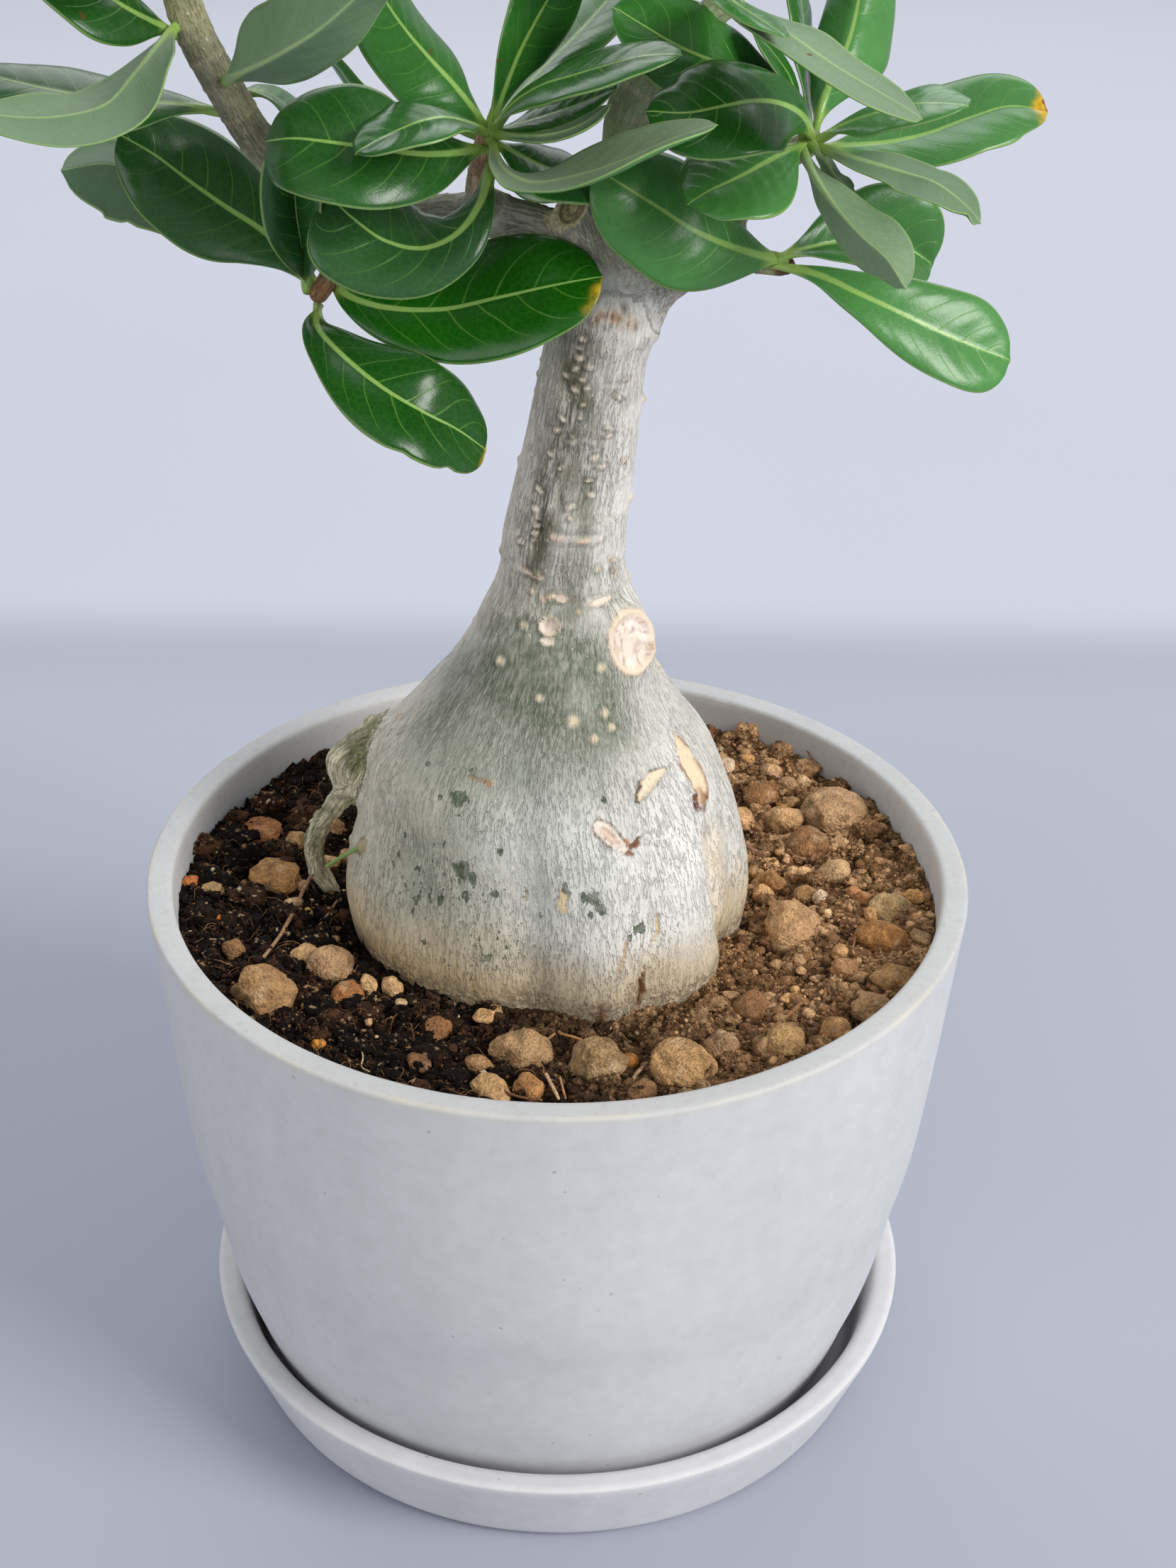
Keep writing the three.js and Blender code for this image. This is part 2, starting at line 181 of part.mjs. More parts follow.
    spine: [[-15.22,-12.37,327.67],[-12.92,-22.39,325.26],[-6.45,-32.08,325.11],[2.13,-38.65,328.53],[11.04,-43.85,333.27],[20.07,-45.87,338.21],[28.39,-45.32,341.3]],
    left: [[0.716,0.302,-0.63],[0.883,0.379,-0.278],[0.635,0.718,0.285],[0.384,0.84,0.383],[0.19,0.912,0.363],[-0.073,0.971,0.23],[-0.167,0.966,0.196]],
    right: [[-0.401,-0.301,0.865],[-0.692,-0.368,0.622],[-0.71,-0.697,0.102],[-0.552,-0.833,-0.025],[-0.392,-0.92,-0.024],[-0.082,-0.988,0.132],[0.035,-0.983,0.179]] },
  { name: 'leaf_middle_13', width: 5, widest: 0.6, shade: 0,
    spine: [[-19.09,-6.92,327.45],[-24.09,-4.84,328.56],[-30.08,-2.68,329.81],[-36.41,-1.27,330.92],[-42.22,-0.11,333.63],[-46.35,0.01,338.7],[-49.65,0,343.27]],
    left: [[0.199,0.796,-0.572],[0.202,0.795,-0.571],[0.137,0.83,-0.541],[0.041,0.846,-0.532],[-0.221,0.873,-0.434],[-0.37,0.894,-0.252],[-0.362,0.895,-0.261]],
    right: [[-0.152,-0.731,0.665],[-0.155,-0.731,0.664],[-0.101,-0.764,0.637],[-0.005,-0.778,0.628],[0.292,-0.809,0.51],[0.456,-0.833,0.314],[0.448,-0.834,0.323]] },
  { name: 'leaf_top_1', width: 11, widest: 0.6, shade: 1,
    spine: [[31.92,-7.56,357.47],[33.13,-17.64,357.8],[36.42,-28.23,357.31],[42.44,-36.4,355.56],[50.27,-41.7,351.58],[59.24,-44.14,347.13],[67.07,-45,343.08]],
    left: [[0.906,0.088,-0.414],[0.927,0.148,-0.344],[0.862,0.447,-0.24],[0.638,0.754,-0.154],[0.391,0.919,-0.045],[0.183,0.981,0.064],[0.143,0.986,0.084]],
    right: [[-0.906,-0.088,0.414],[-0.927,-0.148,0.344],[-0.862,-0.447,0.24],[-0.638,-0.754,0.154],[-0.391,-0.919,0.045],[-0.183,-0.981,-0.064],[-0.143,-0.986,-0.084]] },
  { name: 'leaf_top_2', width: 6, widest: 0.6, shade: 0,
    spine: [[31.7,-7.46,357.54],[30.91,-21.85,360.07],[30.97,-29.69,360.86],[32.31,-32.85,360.41],[34.15,-37.69,360.26],[36.93,-43.37,359.69],[40.09,-48,358.68]],
    left: [[0.903,-0.124,-0.411],[0.9,-0.114,-0.421],[0.896,0.24,-0.375],[0.883,0.387,-0.266],[0.902,0.357,-0.244],[0.798,0.557,-0.228],[0.79,0.57,-0.226]],
    right: [[-0.903,0.124,0.411],[-0.9,0.114,0.421],[-0.896,-0.24,0.375],[-0.883,-0.387,0.266],[-0.902,-0.357,0.244],[-0.798,-0.557,0.228],[-0.79,-0.57,0.226]] },
  { name: 'leaf_top_3', width: 11, widest: 0.6, shade: 0,
    spine: [[34.62,-6.08,363.06],[34.75,-5.95,367.68],[35,-6.28,373.41],[35.44,-7.29,379.62],[35.76,-9.09,385.7],[35.95,-11.64,391.52],[35.9,-14,396.43]],
    left: [[-0.706,-0.707,0.046],[-0.706,-0.708,0.023],[-0.713,-0.7,-0.037],[-0.72,-0.688,-0.095],[-0.724,-0.652,-0.227],[-0.717,-0.641,-0.274],[-0.703,-0.625,-0.34]],
    right: [[0.565,-0.825,0.012],[0.562,-0.827,-0.014],[0.548,-0.826,-0.131],[0.539,-0.816,-0.208],[0.536,-0.778,-0.327],[0.545,-0.759,-0.355],[0.562,-0.744,-0.36]] },
  { name: 'leaf_top_4', width: 11, widest: 0.6, shade: 0,
    spine: [[32.85,-6.68,361.62],[29.85,-9.17,365.55],[25.97,-12.04,370.13],[21.06,-14.4,374.43],[15.99,-16.79,378.59],[11.1,-19.62,382.67],[6.36,-22,385.41]],
    left: [[-0.082,-0.818,-0.57],[-0.07,-0.814,-0.577],[-0.032,-0.844,-0.536],[-0.025,-0.874,-0.486],[0.022,-0.851,-0.525],[0.083,-0.849,-0.521],[0.162,-0.853,-0.497]],
    right: [[0.106,0.806,0.582],[0.095,0.803,0.589],[0.054,0.833,0.551],[0.045,0.862,0.505],[-0.001,0.84,0.542],[-0.064,0.839,0.54],[-0.146,0.842,0.519]] },
  { name: 'leaf_top_5', width: 11, widest: 0.6, shade: 0,
    spine: [[37.31,-5.86,361.28],[39.79,-6.95,364.77],[43.18,-8.03,368.94],[47.43,-8.16,373.15],[51.96,-8,377.13],[56.79,-8,380.74],[61.41,-8,382.97]],
    left: [[-0.167,0.913,0.372],[-0.144,0.905,0.401],[-0.211,0.92,0.331],[-0.285,0.924,0.255],[-0.239,0.926,0.292],[-0.211,0.927,0.311],[-0.116,0.926,0.36]],
    right: [[0.13,-0.928,-0.35],[0.107,-0.919,-0.379],[0.179,-0.936,-0.304],[0.257,-0.94,-0.224],[0.213,-0.942,-0.26],[0.187,-0.943,-0.276],[0.103,-0.942,-0.32]] },
  { name: 'leaf_top_6', width: 11, widest: 0.6, shade: 0,
    spine: [[34.98,-0.51,359.52],[37.09,5.81,361.22],[39.45,12.84,363.07],[41.58,19.42,364.5],[43.67,26,365.76],[45.9,32.49,367.19],[47.92,38,368.53]],
    left: [[-0.798,0.386,-0.462],[-0.796,0.394,-0.46],[-0.806,0.38,-0.455],[-0.823,0.347,-0.449],[-0.827,0.355,-0.435],[-0.821,0.396,-0.411],[-0.822,0.397,-0.408]],
    right: [[0.798,-0.386,0.462],[0.796,-0.394,0.46],[0.806,-0.38,0.455],[0.823,-0.347,0.449],[0.827,-0.355,0.435],[0.821,-0.396,0.411],[0.822,-0.397,0.408]] },
  { name: 'leaf_top_7', width: 10, widest: 0.6, shade: 0,
    spine: [[34.13,-0.44,359.59],[32.19,3.54,362.3],[29.92,8.16,365.3],[27.72,12.84,367.97],[25.42,17.54,370.48],[22.71,22.12,372.8],[20.22,26,374.69]],
    left: [[-0.185,0.482,-0.856],[-0.187,0.49,-0.852],[-0.154,0.456,-0.877],[-0.123,0.431,-0.894],[-0.069,0.435,-0.898],[0,0.439,-0.899],[0.005,0.443,-0.896]],
    right: [[0.185,-0.482,0.856],[0.187,-0.49,0.852],[0.154,-0.456,0.877],[0.123,-0.431,0.894],[0.069,-0.435,0.898],[-0,-0.439,0.899],[-0.005,-0.443,0.896]] },
  { name: 'leaf_right_1', width: 12, widest: 0.6, shade: 0,
    spine: [[50.04,-0.1,327.95],[44.3,-3.36,334.2],[36.85,-10.59,340.82],[29.36,-15.29,344.98],[22.43,-14.94,347.71],[15.63,-13.79,351.21],[9.23,-13.5,355.03]],
    left: [[-0.217,-0.858,-0.465],[-0.035,-0.733,-0.68],[0.199,-0.742,-0.641],[0.062,-0.879,-0.472],[-0.385,-0.84,-0.382],[-0.251,-0.892,-0.377],[-0.307,-0.898,-0.315]],
    right: [[0.382,0.718,0.582],[0.235,0.611,0.756],[-0.015,0.639,0.769],[0.042,0.753,0.656],[0.439,0.695,0.569],[0.344,0.754,0.559],[0.406,0.766,0.498]] },
  { name: 'leaf_right_2', width: 12.5, widest: 0.6, shade: 0,
    spine: [[50.6,-5.89,327.97],[47.55,-13.81,334.3],[42.18,-21.23,338.75],[36.58,-26.08,340.51],[30.42,-30.23,340.54],[23.02,-32.69,339.86],[15.87,-32.67,340.09]],
    left: [[-0.452,-0.476,-0.754],[-0.167,-0.505,-0.847],[0.27,-0.616,-0.74],[0.403,-0.68,-0.613],[0.461,-0.698,-0.548],[0.162,-0.78,-0.604],[-0.182,-0.786,-0.591]],
    right: [[0.363,0.524,0.77],[0.072,0.541,0.838],[-0.34,0.655,0.675],[-0.449,0.72,0.53],[-0.478,0.748,0.46],[-0.166,0.839,0.519],[0.181,0.844,0.506]] },
  { name: 'leaf_right_3', width: 12, widest: 0.55, shade: 0,
    spine: [[48.92,-5.78,326.42],[44.84,-10.28,325.67],[40.45,-14.96,324.78],[36.62,-18.82,323.87],[32.64,-22.43,323.1],[28.44,-25.71,322.1],[24.74,-28,320.46]],
    left: [[0.732,-0.611,-0.303],[0.728,-0.615,-0.304],[0.719,-0.624,-0.306],[0.694,-0.64,-0.331],[0.637,-0.674,-0.374],[0.611,-0.715,-0.338],[0.595,-0.734,-0.328]],
    right: [[-0.744,0.638,0.199],[-0.739,0.643,0.2],[-0.728,0.655,0.203],[-0.703,0.674,0.229],[-0.651,0.709,0.273],[-0.605,0.76,0.239],[-0.58,0.781,0.232]] },
  { name: 'leaf_right_4', width: 12, widest: 0.55, shade: 0,
    spine: [[51.92,-1.64,329.12],[53.22,0.42,333.95],[55.8,2.84,339.43],[58.45,7.45,344.76],[60.36,13.26,350.16],[61.38,17.79,356.39],[61.33,19.93,362.39]],
    left: [[-0.599,0.755,-0.268],[-0.577,0.817,-0.027],[-0.599,0.782,-0.171],[-0.652,0.641,-0.404],[-0.623,0.636,-0.456],[-0.559,0.751,-0.353],[-0.546,0.806,-0.231]],
    right: [[0.763,0.438,-0.476],[0.813,0.466,-0.348],[0.662,0.376,-0.648],[0.711,0.334,-0.619],[0.758,0.339,-0.558],[0.823,0.476,-0.311],[0.83,0.553,-0.076]] },
  { name: 'leaf_right_5', width: 11, widest: 0.55, shade: 0,
    spine: [[50.74,0.06,327.75],[50.53,5.55,331.58],[50.29,11.69,335.95],[49.93,15.52,340.71],[49.28,17.63,346.06],[48.44,19.69,351.51],[47.73,22.1,355.99]],
    left: [[-0.336,-0.608,0.719],[-0.349,-0.472,0.81],[-0.324,-0.653,0.684],[-0.305,-0.843,0.443],[-0.287,-0.927,0.243],[-0.304,-0.878,0.37],[-0.314,-0.843,0.436]],
    right: [[0.336,0.608,-0.719],[0.349,0.472,-0.81],[0.324,0.653,-0.684],[0.305,0.843,-0.443],[0.287,0.927,-0.243],[0.304,0.878,-0.37],[0.314,0.843,-0.436]] },
  { name: 'leaf_right_6', width: 8, widest: 0.6, shade: 0,
    spine: [[49.04,-4.26,328.85],[47.9,-5.18,332.37],[46.53,-5.73,336.45],[44.75,-5.87,340.42],[42.1,-6.81,344.08],[39.05,-9.34,347.97],[36.37,-11.91,351.43]],
    left: [[-0.107,-0.942,-0.317],[-0.14,-0.962,-0.234],[-0.169,-0.977,-0.127],[-0.113,-0.985,-0.133],[0.14,-0.928,-0.344],[0.23,-0.859,-0.458],[0.229,-0.864,-0.448]],
    right: [[0.107,0.942,0.317],[0.14,0.962,0.234],[0.169,0.977,0.127],[0.113,0.985,0.133],[-0.14,0.928,0.344],[-0.23,0.859,0.458],[-0.229,0.864,0.448]] },
  { name: 'leaf_right_7', width: 12, widest: 0.62, shade: 0,
    spine: [[53.8,-3,324.84],[60.32,0.14,324.19],[68.43,3.47,324],[76.93,6.8,324.98],[85.34,9.8,327.32],[94.1,11.65,329.46],[101.82,12,328.62]],
    left: [[-0.307,0.747,0.589],[-0.299,0.764,0.572],[-0.329,0.786,0.523],[-0.418,0.791,0.446],[-0.367,0.816,0.447],[-0.185,0.82,0.542],[0.186,0.795,0.577]],
    right: [[0.386,-0.853,-0.35],[0.363,-0.871,-0.33],[0.362,-0.891,-0.274],[0.403,-0.894,-0.194],[0.322,-0.925,-0.202],[0.169,-0.939,-0.298],[-0.122,-0.929,-0.349]] },
  { name: 'leaf_right_8', width: 9, widest: 0.6, shade: 0,
    spine: [[52.6,-5.41,327.72],[56.48,-7.14,330.42],[60.92,-10.05,333.16],[65.35,-13.61,335.61],[69.87,-17.21,337.88],[74.73,-20.87,339.03],[78.99,-24,339.63]],
    left: [[0.232,0.936,0.265],[0.274,0.921,0.276],[0.462,0.826,0.323],[0.486,0.819,0.306],[0.535,0.808,0.248],[0.568,0.806,0.169],[0.569,0.806,0.161]],
    right: [[-0.212,-0.932,-0.293],[-0.254,-0.918,-0.303],[-0.444,-0.824,-0.352],[-0.468,-0.817,-0.336],[-0.521,-0.806,-0.28],[-0.561,-0.803,-0.203],[-0.562,-0.804,-0.195]] },
  { name: 'leaf_right_9', width: 9, widest: 0.6, shade: 1,
    spine: [[52.1,-5.96,325.43],[57.02,-12.74,325.89],[63.16,-15.05,324.83],[69.03,-16.63,323.6],[74.59,-19.65,322.67],[79.74,-22.33,319.77],[83.8,-24,316.17]],
    left: [[0.827,0.558,0.066],[0.731,0.681,0.031],[0.167,0.981,0.096],[0.389,0.921,0.024],[0.518,0.854,-0.048],[0.375,0.927,-0.02],[0.374,0.927,-0.019]],
    right: [[-0.811,-0.556,-0.182],[-0.723,-0.676,-0.141],[-0.189,-0.961,-0.202],[-0.403,-0.906,-0.128],[-0.535,-0.843,-0.054],[-0.433,-0.899,-0.062],[-0.433,-0.899,-0.063]] },
  { name: 'leaf_right_10', width: 3, widest: 0.5, shade: 1,
    spine: [[51.12,-6.28,325.71],[52.29,-7.76,324.72],[53.7,-8.01,322.97],[54.83,-9,320.91],[56.57,-10.99,319.66],[58.3,-12.55,318.5],[59.87,-12.77,317.23]],
    left: [[0.864,0.462,-0.2],[0.539,0.696,0.475],[0.567,0.816,0.117],[0.649,0.75,-0.131],[0.796,0.595,0.11],[0.487,0.862,0.139],[0.205,0.94,0.274]],
    right: [[-0.864,-0.462,0.2],[-0.539,-0.696,-0.475],[-0.567,-0.816,-0.117],[-0.649,-0.75,0.131],[-0.796,-0.595,-0.11],[-0.487,-0.862,-0.139],[-0.205,-0.94,-0.274]] },
  { name: 'leaf_right_11', width: 9.5, widest: 0.65, shade: 1,
    spine: [[49,-5.71,324.9],[49.97,-13.21,323.4],[51.75,-21.27,321.79],[54.79,-27.75,319.23],[58.81,-33.36,316.17],[63.89,-37.69,312.79],[67.57,-40,307.96]],
    left: [[0.944,0.169,-0.285],[0.949,0.201,-0.244],[0.929,0.336,-0.156],[0.843,0.532,-0.077],[0.745,0.662,0.082],[0.652,0.75,0.11],[0.634,0.763,0.122]],
    right: [[0.081,0.205,-0.975],[0.114,0.216,-0.97],[0.159,0.277,-0.948],[0.067,0.498,-0.864],[0.13,0.543,-0.83],[-0.166,0.754,-0.635],[-0.245,0.799,-0.549]] },
  { name: 'leaf_right_low_1', width: 13.3, widest: 0.55, shade: 0,
    spine: [[45.71,-2.63,300.45],[39.98,-6.56,303.03],[32.96,-10.04,306.47],[25.96,-12.63,310.49],[19.35,-14.79,315.34],[12.33,-15.85,319.96],[6.1,-16,323.7]],
    left: [[-0.118,-0.417,-0.901],[-0.161,-0.408,-0.899],[-0.282,-0.403,-0.871],[-0.42,-0.386,-0.821],[-0.471,-0.378,-0.797],[-0.468,-0.383,-0.796],[-0.469,-0.385,-0.795]],
    right: [[-0.158,0.69,0.707],[-0.106,0.695,0.711],[0.058,0.727,0.685],[0.191,0.721,0.666],[0.267,0.725,0.634],[0.314,0.738,0.597],[0.35,0.74,0.574]] },
  { name: 'leaf_right_low_2', width: 12.8, widest: 0.72, shade: 0,
    spine: [[46.58,-1.83,301.08],[51.23,1.95,301.1],[56.94,5.98,300.98],[63.08,9.34,300.53],[69.52,11.97,299.63],[75.73,13.73,296.99],[80.72,14.7,293.77]],
    left: [[-0.232,0.24,0.942],[-0.188,0.256,0.948],[-0.123,0.245,0.962],[-0.008,0.238,0.971],[0.153,0.199,0.968],[0.501,0.139,0.854],[0.513,0.116,0.85]],
    right: [[0.606,-0.777,-0.171],[0.624,-0.76,-0.185],[0.517,-0.825,-0.23],[0.389,-0.877,-0.283],[0.246,-0.901,-0.356],[-0.046,-0.918,-0.394],[-0.065,-0.91,-0.409]] },
  { name: 'leaf_right_low_3', width: 10.5, widest: 0.78, shade: 0,
    spine: [[46.15,-3.04,299.31],[54.08,-5.87,298.15],[62.94,-8.35,294.88],[71.76,-9.1,291.07],[80.43,-8.58,286.89],[88.99,-6.9,282.79],[96.35,-5,279.53]],
    left: [[0.276,0.557,0.783],[0.393,0.534,0.749],[0.391,0.536,0.748],[0.362,0.538,0.762],[0.314,0.54,0.781],[0.238,0.545,0.804],[0.194,0.55,0.812]],
    right: [[-0.317,-0.707,-0.632],[-0.405,-0.691,-0.599],[-0.366,-0.703,-0.61],[-0.305,-0.707,-0.638],[-0.236,-0.708,-0.666],[-0.145,-0.707,-0.692],[-0.103,-0.71,-0.697]] },
];

// ---------------------------------------------------------------- solids
const wasm = await Module();
wasm.setup();

function solid(geometry) {
  const g = geometry.clone();
  for (const key of Object.keys(g.attributes)) if (key !== 'position') g.deleteAttribute(key);
  const m = mergeVertices(g, 1e-3);
  const index = Array.from(m.index.array), keep = [];
  for (let i = 0; i < index.length; i += 3) {
    const [a, b, c] = [index[i], index[i + 1], index[i + 2]];
    if (a !== b && b !== c && a !== c) keep.push(a, b, c);
  }
  return new wasm.Manifold(new wasm.Mesh({ numProp: 3, vertProperties: new Float32Array(m.attributes.position.array), triVerts: new Uint32Array(keep) }));
}

function geometryOf(body) {
  const mesh = body.getMesh();
  const g = new THREE.BufferGeometry();
  const p = new Float32Array((mesh.vertProperties.length / mesh.numProp) * 3);
  for (let i = 0; i < p.length / 3; i++) for (let k = 0; k < 3; k++) p[3 * i + k] = mesh.vertProperties[mesh.numProp * i + k];
  g.setAttribute('position', new THREE.BufferAttribute(p, 3));
  g.setIndex(new THREE.BufferAttribute(new Uint32Array(mesh.triVerts), 1));
  g.computeVertexNormals();
  return g;
}

function lerpTable(table, x, column = 1) {
  if (x <= table[0][0]) return table[0][column];
  for (let i = 1; i < table.length; i++) {
    if (x <= table[i][0]) {
      const [a, b] = [table[i - 1], table[i]], u = (x - a[0]) / (b[0] - a[0]);
      return a[column] + (b[column] - a[column]) * u;
    }
  }
  return table[table.length - 1][column];
}

// a body of revolution about +Z; the profile is a list of [radius, height]
function turned(profile, segments) {
  const g = new THREE.LatheGeometry(profile.map(([r, z]) => new THREE.Vector2(r, z)), segments);
  g.rotateX(Math.PI / 2);
  return g;
}

// ---------------------------------------------------------------- pot and saucer
function potGeometry() {
  const inner = [];
  for (const z of [14.8, 25, 45, 77, 110, 135]) inner.push([lerpTable(POT_OUTER, z) - WALL, z]);
  const top = POT_FLOOR_Z + POT_FLOOR;
  const profile = [[DRAIN_R, POT_FLOOR_Z], ...POT_OUTER.map(([z, r]) => [r, z]), [RIM_R - 1.1, RIM_Z],
    [RIM_R - WALL + 1, RIM_Z], [RIM_R - WALL, RIM_Z - 1], ...inner.reverse(), [inner[inner.length - 1][0] - 3, top], [DRAIN_R, top], [DRAIN_R, POT_FLOOR_Z]];
  return turned(profile, 48);
}

function saucerGeometry() {
  const profile = [[0, 0], [80.7, 0], [82.7, 1.8], [91.2, SAUCER_H - 0.9], [90.4, SAUCER_H], [85, SAUCER_H], [84.2, SAUCER_H - 0.8],
    [80, 8], [78.8, SAUCER_FLOOR], [0, SAUCER_FLOOR]];
  const g = turned(profile, 48);
  g.translate(SAUCER_X, 0, 0);
  return g;
}

// ---------------------------------------------------------------- woody plant
function caudexSolid(grow) {
  const rows = CAUDEX.length - 1;
  const g = new THREE.CylinderGeometry(1, 1, rows, 26, rows);
  const p = g.attributes.position;
  for (let i = 0; i < p.count; i++) {
    const row = Math.round(p.getY(i) + rows / 2);
    const rad = Math.hypot(p.getX(i), p.getZ(i));
    const az = Math.atan2(-p.getZ(i), p.getX(i));
    const [z, cx, r] = CAUDEX[row];
    const deg = ((az * 180) / Math.PI + 360) % 360;
    const fade = THREE.MathUtils.clamp((185 - z) / 40, 0, 1) * THREE.MathUtils.clamp((z - 92) / 25, 0, 1);
    const lobe = 1 + (lerpTable(LOBES, deg) - 1) * fade;
    const rr = (r * lobe + grow) * rad;
    const dz = row === 0 ? -grow : row === rows ? grow : 0;
    p.setXYZ(i, cx + rr * Math.cos(az), 0.97 * rr * Math.sin(az), z + dz);
  }
  return solid(g);
}

function limbSolid(points, grow, sides, rows) {
  const curve = new THREE.CatmullRomCurve3(points.map((q) => new THREE.Vector3(q[0], q[1], q[2])), false, 'centripetal');
  const frames = curve.computeFrenetFrames(rows, false);
  const g = new THREE.CylinderGeometry(1, 1, rows, sides, rows);
  const p = g.attributes.position;
  for (let i = 0; i < p.count; i++) {
    const row = Math.round(rows / 2 - p.getY(i));
    const rad = Math.hypot(p.getX(i), p.getZ(i));
    const a = Math.atan2(p.getZ(i), p.getX(i));
    const u = row / rows;
    const c = curve.getPointAt(u);
    const t = u <= 0 ? 0 : curve.getUtoTmapping(u);
    const s = t * (points.length - 1), k = Math.min(Math.floor(s), points.length - 2);
    const r = (points[k][3] + (points[k + 1][3] - points[k][3]) * (s - k) + grow) * rad;
    const end = row === 0 ? -grow : row === rows ? grow : 0;
    const v = c.clone().addScaledVector(frames.tangents[row], end)
      .addScaledVector(frames.normals[row], r * Math.cos(a)).addScaledVector(frames.binormals[row], r * Math.sin(a));
    p.setXYZ(i, v.x, v.y, v.z);
  }
  return solid(g);
}

function plantSolid(grow) {
  let body = caudexSolid(grow);
  for (const points of Object.values(BRANCHES)) body = body.add(limbSolid(points, grow, 8, Math.round(points.length * 1.2)));
  for (const points of Object.values(ROOTS)) body = body.add(limbSolid(points, grow, 8, 6));
  return body;
}

// ---------------------------------------------------------------- stones and soil
function stoneGeometry({ at, half, turn, seed }, grow) {
  const g = new THREE.IcosahedronGeometry(1, 1);
  const p = g.attributes.position;
  const c = Math.cos((turn * Math.PI) / 180), s = Math.sin((turn * Math.PI) / 180);
  for (let i = 0; i < p.count; i++) {
    const v = new THREE.Vector3().fromBufferAttribute(p, i);
    const bump = 1 + 0.1 * Math.sin(2.3 * v.x + 1.7 * seed) * Math.cos(2.9 * v.y - 1.1 * seed) + 0.06 * Math.sin(4.1 * v.z + 2.1 * seed);
    const x = v.x * (half[0] * bump + grow), y = v.y * (half[1] * bump + grow), z = v.z * (half[2] * bump + grow);
    p.setXYZ(i, at[0] + c * x - s * y, at[1] + s * x + c * y, at[2] + z);
  }
  return g;
}

function soilSolid() {
  const r = (z) => lerpTable(POT_OUTER, z) - WALL - GAP;
  const low = POT_FLOOR_Z + POT_FLOOR + GAP;
  const profile = [[0, low], [r(14.8) - 3.4, low], [r(15.2) - 0.1, 15.4], [r(25), 25], [r(45), 45], [r(77), 77], [r(110), 110], [r(135), 135],
    [r(SOIL_WALL_Z), SOIL_WALL_Z], [72, (SOIL_MID_Z + SOIL_WALL_Z) / 2 + 0.4], [50, SOIL_MID_Z], [0, SOIL_MID_Z]];
  let body = solid(turned(profile, 48)).subtract(plantSolid(GAP + 0.05));
  for (const stone of STONES) body = body.subtract(solid(stoneGeometry(stone, GAP)));
  return body;
}

// ---------------------------------------------------------------- leaves
function bladeWidth(t, widest) {
  if (t < widest) return 0.06 + 0.94 * Math.sin((Math.PI / 2) * (t / widest)) ** 1.5;
  return Math.sqrt(Math.max(0, 1 - ((t - widest) / (1 - widest)) ** 2.2));
}

function leafGeometry({ width, widest, spine, left, right }, grow = 0) {
  const n = STATIONS.length;
  const g = new THREE.BoxGeometry(2, n - 1, 1, 2, n - 1, 1);
  // the back's quads are split along the same diagonal as the front's, so that a twisted stretch keeps its thickness
  const tri = g.index;
  for (let i = tri.count - 12 * (n - 1); i < tri.count; i += 6) {
    const [a, b, d, , c] = [0, 1, 2, 3, 4].map((j) => tri.getX(i + j));
    [a, b, c, a, c, d].forEach((v, j) => tri.setX(i + j, v));
  }
  const p = g.attributes.position;
  const S = spine.map((q) => new THREE.Vector3(...q));
  const L = left.map((q) => new THREE.Vector3(...q));
  const R = right.map((q) => new THREE.Vector3(...q));
  for (let i = 0; i < p.count; i++) {
    const k = Math.round(p.getY(i) + (n - 1) / 2), u = Math.round(p.getX(i)), side = p.getZ(i) > 0 ? 1 : -1;
    const T = S[Math.min(k + 1, n - 1)].clone().sub(S[Math.max(k - 1, 0)]).normalize();
    const w = Math.max(bladeWidth(STATIONS[k], widest) * width, 0.5) + grow;
    const up = R[k].clone().sub(L[k]).cross(T).normalize();
    let v = S[k].clone(), n0 = up;
    if (u < 0) { v.addScaledVector(L[k], w); n0 = T.clone().cross(L[k]).normalize(); }
    if (u > 0) { v.addScaledVector(R[k], w); n0 = R[k].clone().cross(T).normalize(); }
    if (n0.dot(up) < 0) n0 = n0.clone().negate();
    const th = u === 0 ? LEAF_MID : k === n - 1 || k === 0 ? LEAF_MID * 0.8 : LEAF_EDGE;
    v.addScaledVector(n0, side * (th / 2 + grow));
    if (k === 0) v.addScaledVector(T, -grow);
    if (k === n - 1) v.addScaledVector(T, grow);
    p.setXYZ(i, v.x, v.y, v.z);
  }
  return g;
}

// ---------------------------------------------------------------- the object
const group = new THREE.Group();
group.name = 'potted_desert_rose';
const material = (color, roughness) => new THREE.MeshStandardMaterial({ color, roughness, metalness: 0 });
function put(name, body, mat) {
  const mesh = new THREE.Mesh(geometryOf(body), mat);
  mesh.name = name;
  group.add(mesh);
}
// a solid whose faces point out
function outward(geometry) {
  let body = solid(geometry);
  if (body.volume() < 0) {
    const g = geometry.clone().toNonIndexed();
    const a = g.attributes.position;
    for (let i = 0; i < a.count; i += 3) {
      const q = [a.getX(i + 1), a.getY(i + 1), a.getZ(i + 1)];
      a.setXYZ(i + 1, a.getX(i + 2), a.getY(i + 2), a.getZ(i + 2));
      a.setXYZ(i + 2, ...q);
    }
    body = solid(g);
  }
  return body;
}

put('saucer', outward(saucerGeometry()), material(COLOR.saucer, 0.75));
put('pot', outward(potGeometry()), material(COLOR.pot, 0.75));
put('soil', soilSolid(), material(COLOR.soil, 0.95));
put('adenium_plant', plantSolid(0), material(COLOR.bark, 0.8));
STONES.forEach((stone, i) => put(stone.name, outward(stoneGeometry(stone, 0)), material(COLOR.stone[i], 0.85)));

